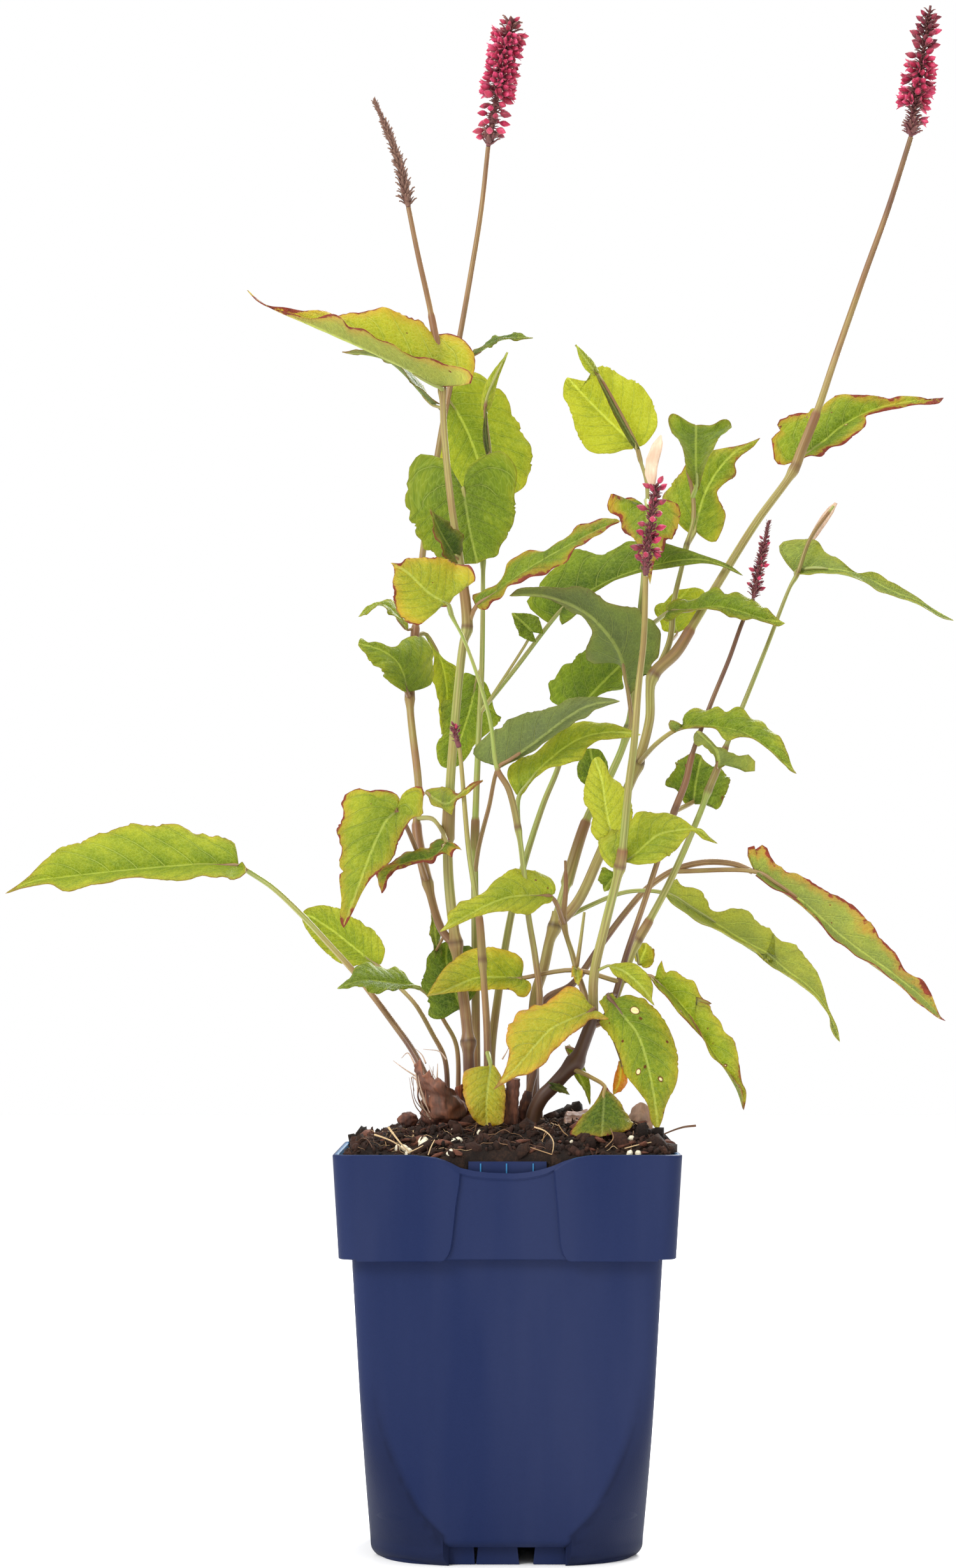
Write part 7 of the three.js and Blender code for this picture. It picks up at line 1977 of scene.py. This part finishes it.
# Pieces that stand out in the view: column, row and size.
SEEN_CHIPS = [
    (655, 1786, 4.2), (690, 1768, 4.4), (694, 1795, 3.6), (684, 1811, 2.6), (716, 1808, 3.4),
    (905, 1768, 4.6), (944, 1790, 3.2), (1052, 1796, 3.0), (1010, 1800, 2.6), (836, 1806, 2.6),
]
SEEN_GRAINS = [
    (666, 1794, 3.1), (663, 1789, 2.6), (634, 1796, 2.2), (624, 1798, 1.8), (643, 1798, 1.7),
    (720, 1787, 2.1), (712, 1791, 1.5), (706, 1815, 2.0), (988, 1810, 1.9), (990, 1789, 1.5),
    (735, 1748, 1.8),
]
SEEN_CRUMBS = [
    (564, 1764, 5.2), (570, 1762, 4.4), (558, 1770, 3.8), (966, 1778, 5.0), (973, 1776, 4.2),
    (1010, 1778, 4.6), (1030, 1780, 4.4), (1052, 1782, 4.6), (905, 1750, 4.8), (890, 1748, 4.2),
    (640, 1766, 3.0),
]
for column, row, size in SEEN_CHIPS:
    tint = (random.uniform(0.7, 1.0), 0, random.uniform(0, 0.3), 1)
    chips.append((on_soil(column, row, -0.6), any_turn(True), (size, size * 0.9, size), tint))
for column, row, size in SEEN_GRAINS:
    grains.append((on_soil(column, row, -0.8), any_turn(), (size, size, size * 0.9), (0, 1, 0, 1)))
for column, row, size in SEEN_CRUMBS:
    turn = any_turn()
    tint = (0, 0, random.uniform(0.5, 1), 1)
    crumbs.append((on_soil(column, row, -1.0), turn, (size, size * 0.9, size * 0.8), tint))
soil_pieces = [soil]
for name, shape, spots in (("soil_crumbs", "crumb", crumbs + clods), ("soil_flakes", "flake", flakes),
                           ("bark_chips", "chip", chips), ("perlite_grains", "grain", grains)):
    soil_pieces.append(set_object(name, shape, spots, soil_material))

# %% [markdown]
# Straw-coloured roots and fibres lie over the soil. Each is a thin tube that wanders and arches a little.

# %% Fibre material and fibres
fibre_material, tree = material_tree("root_fibre_dry")
state = three_of(tree, stored(tree, "looks"))
place = object_place(tree)
mottle = cloudy(tree, place, 500.0, 2.0)
straw = ramp(tree, state[0], (0.0, "#2f1d14"), (0.4, "#6d4c33"), (0.75, "#b08a5c"), (1.0, "#dcbf90"))
straw = mixed(tree, times(tree, mottle, 0.4), straw, linear("#5b3a28"))
fibre = node(tree, "ShaderNodeBsdfPrincipled", {}, {"Base Color": straw, "Roughness": 0.75})
finished(tree, fibre)


def fibre_line(start, heading, length, thick, tone, arch):
    """A wandering fibre that rises to an arch and ends in the soil."""
    count = max(int(length / 1.1), 6)
    x, y = start
    points = []
    for k in range(count):
        share = k / (count - 1)
        height = soil_top(x, y) + 0.35 + arch * math.sin(math.pi * share)
        points.append((x, y, height))
        heading += random.gauss(0, 0.13)
        x, y = (min(max(start + way(heading) * length / count, 1 - SOIL_HALF), SOIL_HALF - 1)
                for start, way in ((x, math.cos), (y, math.sin)))
    girth = thick * (1 - 0.55 * np.linspace(0, 1, count))
    return np.array(points), girth, plain_looks(count, tone)


random.seed(19)
fibres = []
for k in range(330):
    start = (random.uniform(-67, 67), random.uniform(-67, 67))
    length = random.uniform(5, 24)
    tone = random.choice((0.1, 0.2, 0.35, 0.5, 0.7, 0.9))
    heading, thick, arch = random.uniform(0, 6.3), random.uniform(0.1, 0.24), random.uniform(0, 2.6)
    fibres.append(fibre_line(start, heading, length, thick, tone, arch))
# The few that stand out: the places that they pass in the view, their radius in mm and how pale they are.
STRAWS = [
    (((587, 1780), (602, 1785), (618, 1792), (634, 1804)), 0.45, 0.95),
    (((609, 1768), (618, 1780), (628, 1793), (641, 1806)), 0.5, 0.98),
    (((672, 1812), (676, 1800), (682, 1788)), 0.3, 1.0),
    (((640, 1809), (655, 1802), (664, 1797)), 0.3, 0.9),
    (((838, 1768), (856, 1775), (868, 1790), (866, 1815)), 0.32, 0.9),
    (((980, 1802), (1002, 1796), (1022, 1792)), 0.3, 0.95),
    (((868, 1812), (850, 1806), (832, 1800)), 0.25, 0.7),
    (((1092, 1766), (1074, 1768), (1060, 1772), (1040, 1780)), 0.55, 0.35),
    (((950, 1800), (962, 1786), (958, 1770)), 0.25, 0.6),
    (((876, 1764), (884, 1776), (894, 1784)), 0.28, 0.75),
]
for places, thick, tone in STRAWS:
    # A straw stays at the depth where it touches the soil, so it arches up and not far back.
    depth = on_soil(*max(places, key=lambda place: place[1])).y
    shares = np.linspace(0, 1, 14)
    path = seen_curve([(column, row, depth) for column, row in places], shares)
    ground = [soil_top(x, y) + 0.3 for x, y in path[:, :2]]
    path[:, 2] = np.maximum(path[:, 2], ground)
    fibres.append((path, thick * (1 - 0.4 * shares), plain_looks(len(shares), tone)))
soil_pieces.append(tubes_object("soil_fibres", fibres, 5, fibre_material))
print("soil faces:", sum(len(piece.data.polygons) for piece in soil_pieces))

# %% [markdown]
# The crown is where all stems start: woody lumps half in the soil, two cut stumps, and the dry leaf bases
# of last year, which wrap the stems in red-brown paper and fray into shreds.

# %% Crown materials
wood_material, tree = material_tree("rootstock_bark_brown")
place = object_place(tree)
drawn_out = drawn(tree, place, 0.25)
scaly = cloudy(tree, drawn_out, 420.0, 5.0)
bark = ramp(tree, scaly, (0.3, "#24130e"), (0.5, "#4c2a1e"), (0.72, "#7d4c36"))
ridges = relief(tree, scaly, 0.7, 0.8)
wood = node(tree, "ShaderNodeBsdfPrincipled", {}, {
    "Base Color": bark, "Roughness": 0.8, "Normal": ridges,
})
finished(tree, wood)

paper_material, tree = material_tree("leaf_base_papery")
place = object_place(tree)
state = three_of(tree, stored(tree, "looks"))
drawn_out = drawn(tree, place, 0.15)
nerves = cloudy(tree, drawn_out, 900.0, 3.0)
patch = cloudy(tree, place, 130.0, 3.0)
streaked = times_plus(tree, patch, 0.6, times(tree, nerves, 0.4))
red = ramp(tree, streaked, (0.3, "#2c120b"), (0.5, "#6a3019"), (0.7, "#a0582f"), (0.9, "#c98e58"))
red = mixed(tree, state[0], red, mixed(tree, nerves, linear("#c9a98a"), linear("#f1dcc4")))
creases = relief(tree, nerves, 0.5, 0.5)
sheet = node(tree, "ShaderNodeBsdfPrincipled", {}, {
    "Base Color": red, "Roughness": 0.6, "Normal": creases,
})
through = node(tree, "ShaderNodeBsdfTranslucent", {}, {"Color": red})
finished(tree, sheet, through, 0.3)


# %% Woody lumps and stumps
def knotty_ball(centre, radii, seed):
    """A woody lump: a ball pushed in and out by noise. Returns vertices and faces."""
    build = bmesh.new()
    bmesh.ops.create_icosphere(build, subdivisions=4, radius=1.0)
    vertices = []
    for vertex in build.verts:
        way = vertex.co.normalized()
        push = 1 + 0.16 * noise.noise(way * 2.2 + Vector((seed, 0, 0)))
        push += 0.07 * noise.noise(way * 7 + Vector((0, seed, 0)))
        vertices.append(Vector(centre) + way * Vector(radii) * push)
    faces = [tuple(vertex.index for vertex in face.verts) for face in build.faces]
    build.free()
    return vertices, faces


# The place and the three radii in mm of each lump.
CROWN_LUMPS = [((694, 1750, -3), (9.6, 8.6, 6.6)), ((738, 1756, -2), (14.4, 13.4, 5.6)),
               ((790, 1757, 1), (14.4, 12.4, 6.6)), ((640, 1757, -6), (4.5, 4.5, 3.5))]
vertices, faces = [], []
for number, (place, radii) in enumerate(CROWN_LUMPS):
    points, corners = knotty_ball(seen(place), radii, number * 3.7)
    faces += [tuple(len(vertices) + i for i in face) for face in corners]
    vertices += points
lumps_piece = mesh_object("crown_lumps", np.array([tuple(v) for v in vertices]), faces, wood_material)

# The places that each stump passes, and its radius in mm at its foot, middle and top.
STUMPS = [(((800, 1762, -26), (803, 1726, -27), (806, 1692, -28)), (3.5, 3.1, 3.0)),
          (((790, 1762, 4), (793, 1735, 3), (796, 1708, 2)), (3.0, 2.7, 2.6)),
          (((826, 1762, -14), (824, 1738, -16), (829, 1712, -16)), (3.4, 3.0, 1.8))]
stump_lines = []
for places, girths in STUMPS:
    shares = np.linspace(0, 1, 20)
    girth = np.interp(shares, [0, 0.5, 1], girths) * (1 + 0.06 * np.sin(shares * 31))
    stump_lines.append((seen_curve(places, shares), girth, plain_looks(len(shares), 1.0)))
stumps_piece = tubes_object("crown_stumps", stump_lines, 14, wood_material)

# %% [markdown]
# A leaf base is a thin sheet, and the most crumpled one has a torn upper edge. It is laid out like a
# blade, from rows of places, and crumpled by noise. The shreds are thin fibres that peel off its left side.


# %% Papery leaf bases and shreds
TORN = 5.0  # how unevenly the upper edge of a leaf base is torn, in mm
PAPER_HALF = 0.16  # half a sheet's thickness in mm


def paper_sheet(rows, tall, wide, crumple, seed):
    """A closed thin sheet through rows of places, each row from left to right."""
    us, vs = np.linspace(0, 1, tall), np.linspace(0, 1, wide)
    threads = np.stack([seen_curve(row, vs) for row in rows])
    points = np.stack([curve_at(threads[:, j], us) for j in range(wide)], 1)
    across, forward = np.gradient(points, axis=1), np.gradient(points, axis=0)
    normals = unit(np.cross(across, forward))
    for i in range(tall):
        for j in range(wide):
            spot = Vector(points[i, j] / 6) + Vector((seed, 0, 0))
            points[i, j] += normals[i, j] * crumple * noise.fractal(spot, 1.0, 2.0, 3)
            if crumple > 1.7:  # only the most crumpled sheet is torn along its upper edge
                tear = noise.fractal(Vector((j * 0.33, seed, 0)), 0.8, 2.0, 3)
                points[i, j, 2] += TORN * (i / (tall - 1)) ** 5 * tear
    both = [(points + normals * side * PAPER_HALF).reshape(-1, 3) for side in (1, -1)]
    return np.vstack(both), sheet_faces(tall, wide)


# Each sheet's rows of places from its foot up, how crumpled it is in mm, and how pale.
PAPERS = [
    ([[(672, 1754, -16), (700, 1757, -27), (730, 1754, -17)],
      [(660, 1716, -17), (694, 1724, -30), (728, 1730, -18)],
      [(655, 1690, -20), (686, 1706, -31), (718, 1718, -22)],
      [(650, 1670, -24), (678, 1688, -29), (706, 1708, -27)]], 2.2, 0.1),
    ([[(706, 1756, -12), (726, 1758, -15), (742, 1755, -9)],
      [(710, 1728, -12), (724, 1730, -17), (738, 1726, -10)],
      [(714, 1706, -14), (722, 1702, -18), (732, 1690, -12)]], 1.6, 0.0),
    ([[(990, 1776, -38), (1004, 1779, -42), (1022, 1774, -38)],
      [(986, 1757, -34), (1003, 1756, -40), (1024, 1756, -34)],
      [(990, 1738, -32), (1006, 1730, -36), (1020, 1742, -32)]], 1.6, 0.35),
    ([[(884, 1764, -24), (904, 1768, -28), (926, 1762, -24)],
      [(886, 1752, -14), (906, 1754, -18), (926, 1750, -14)],
      [(890, 1742, -6), (906, 1744, -8), (922, 1742, -6)]], 1.0, 0.25),
]
# Dry scraps that hang on the stems: a wisp above the middle spike and a curled sheath at the right.
SCRAPS = [
    ([[(1020, 766, -58), (1028, 768, -56)], [(1012, 742, -56), (1030, 744, -60)],
      [(1016, 716, -58), (1036, 714, -56)], [(1026, 694, -56), (1040, 698, -58)],
      [(1036, 682, -56), (1038, 684, -56)]], 0.9, 1.0),
    ([[(1266, 850, 12), (1274, 852, 12)], [(1282, 820, 12), (1294, 826, 14)],
      [(1296, 800, 14), (1306, 806, 12)], [(1310, 788, 12), (1314, 790, 12)]], 0.5, 0.75),
]


def papers_object(name, papers, wide):
    """Several papery sheets in one mesh."""
    vertices, faces, tones, count = [], [], [], 0
    for number, (rows_of_places, crumple, tone) in enumerate(papers):
        points, quads = paper_sheet(rows_of_places, 26, wide, crumple, 1.0 + number * 5.1)
        vertices.append(points)
        faces += (quads + count).tolist()
        tones.append(plain_looks(len(points), tone))
        count += len(points)
    made = mesh_object(name, np.vstack(vertices), faces, paper_material)
    set_values(made.data, "looks", np.vstack(tones))
    return made


paper_piece = papers_object("crown_leaf_bases", PAPERS, 18)
scraps_piece = papers_object("dry_scraps_on_stems", SCRAPS, 6)

random.seed(23)
shreds = []
shares = np.linspace(0, 1, 16)
for k in range(34):
    low = (random.uniform(668, 700), random.uniform(1738, 1756), random.uniform(-20, -10))
    lean = random.uniform(-1, 1)
    middle = (low[0] - random.uniform(10, 20), low[1] - random.uniform(22, 40),
              low[2] - random.uniform(0, 8))
    high = (middle[0] - random.uniform(-4, 12) + 5 * lean, middle[1] - random.uniform(14, 44),
            middle[2] + random.uniform(-6, 6))
    girth = random.uniform(0.16, 0.6) * (1 - 0.8 * shares**2)
    tone = random.choice((0.1, 0.3, 0.7, 0.9))
    shreds.append((seen_curve((low, middle, high), shares), girth, plain_looks(len(shares), tone)))
# The loose ends that stand out in the view.
LOOSE_ENDS = [
    ((652, 1672, -18), (640, 1652, -14), (630, 1660, -10)),
    ((655, 1690, -18), (633, 1676, -12), (617, 1664, -8)),
    ((668, 1668, -20), (662, 1655, -16), (650, 1644, -10)),
    ((660, 1700, -18), (646, 1690, -12), (650, 1712, -8)),
    ((700, 1662, -22), (690, 1650, -20), (664, 1646, -16)),
    ((788, 1662, -30), (794, 1652, -30), (800, 1640, -28)),
]
for places in LOOSE_ENDS:
    shreds.append((seen_curve(places, shares), 0.4 * (1 - 0.75 * shares), plain_looks(len(shares), 0.6)))
shreds_piece = tubes_object("crown_shreds", shreds, 6, paper_material)
crown_pieces = [lumps_piece, stumps_piece, paper_piece, shreds_piece]

# %% [markdown]
# A white floor and a white sky give soft light, and a broad light behind the plant makes its leaves glow.

# %% Floor and light
floor_material, tree = material_tree("painted_board_matte")
place = object_place(tree)
paint = mixed(tree, cloudy(tree, place, 40.0), linear("#fcfcfb"), linear("#ffffff"))
board = node(tree, "ShaderNodeBsdfPrincipled", {}, {"Base Color": paint, "Roughness": 0.85})
finished(tree, board)
FLOOR_HALF = 6000
corners = [(x * FLOOR_HALF, y * FLOOR_HALF, 0) for x, y in ((-1, -1), (1, -1), (1, 1), (-1, 1))]
floor = mesh_object("floor", corners, [(0, 1, 2, 3)], floor_material, smooth=False)

world = bpy.data.worlds.new("white_studio")
world.use_nodes = True
world.node_tree.nodes["Background"].inputs[0].default_value = (1, 1, 1, 1)
world.node_tree.nodes["Background"].inputs[1].default_value = 1.0
bpy.context.scene.world = world


def soft_light(name, place, aim, size, power):
    """A square soft light, placed and aimed in mm, with its power in watts."""
    data = bpy.data.lights.new(name, "AREA")
    data.size = size * MM
    data.energy = power
    made = linked(name, data)
    made.location = Vector(place) * MM
    made.rotation_euler = (Vector(aim) - Vector(place)).to_track_quat("-Z", "Y").to_euler()


soft_light("key", (-1400, -1500, 1700), (0, 0, 350), 900, 46)
soft_light("behind", (700, 1900, 1400), (0, 0, 400), 1200, 60)
soft_light("top", (200, 200, 2300), (0, 0, 300), 1000, 26)
bpy.context.scene.view_settings.view_transform = "Standard"

# %% [markdown]
# Every piece rides on the one rigid body and stands for the solid that it covers. The shapes that were
# copied are removed, because they aren't pieces themselves.

# %% Tie the pieces to the solids
for node_name in BODIES:
    for piece in (leaf_pieces[node_name], stem_pieces[node_name]):
        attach(piece, BODY)
        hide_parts(node_name)

for node_name, pieces in spike_pieces.items():
    for piece in pieces:
        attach(piece, BODY)
        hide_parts(node_name)
for pieces, node_name in ((soil_pieces, "soil"), (crown_pieces, "crown")):
    for piece in pieces:
        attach(piece, BODY)
        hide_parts(node_name)
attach(scraps_piece, BODY)
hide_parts("stem_rootstock")
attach(pot, BODY)
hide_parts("pot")
for shape in shapes.values():
    bpy.data.objects.remove(shape)
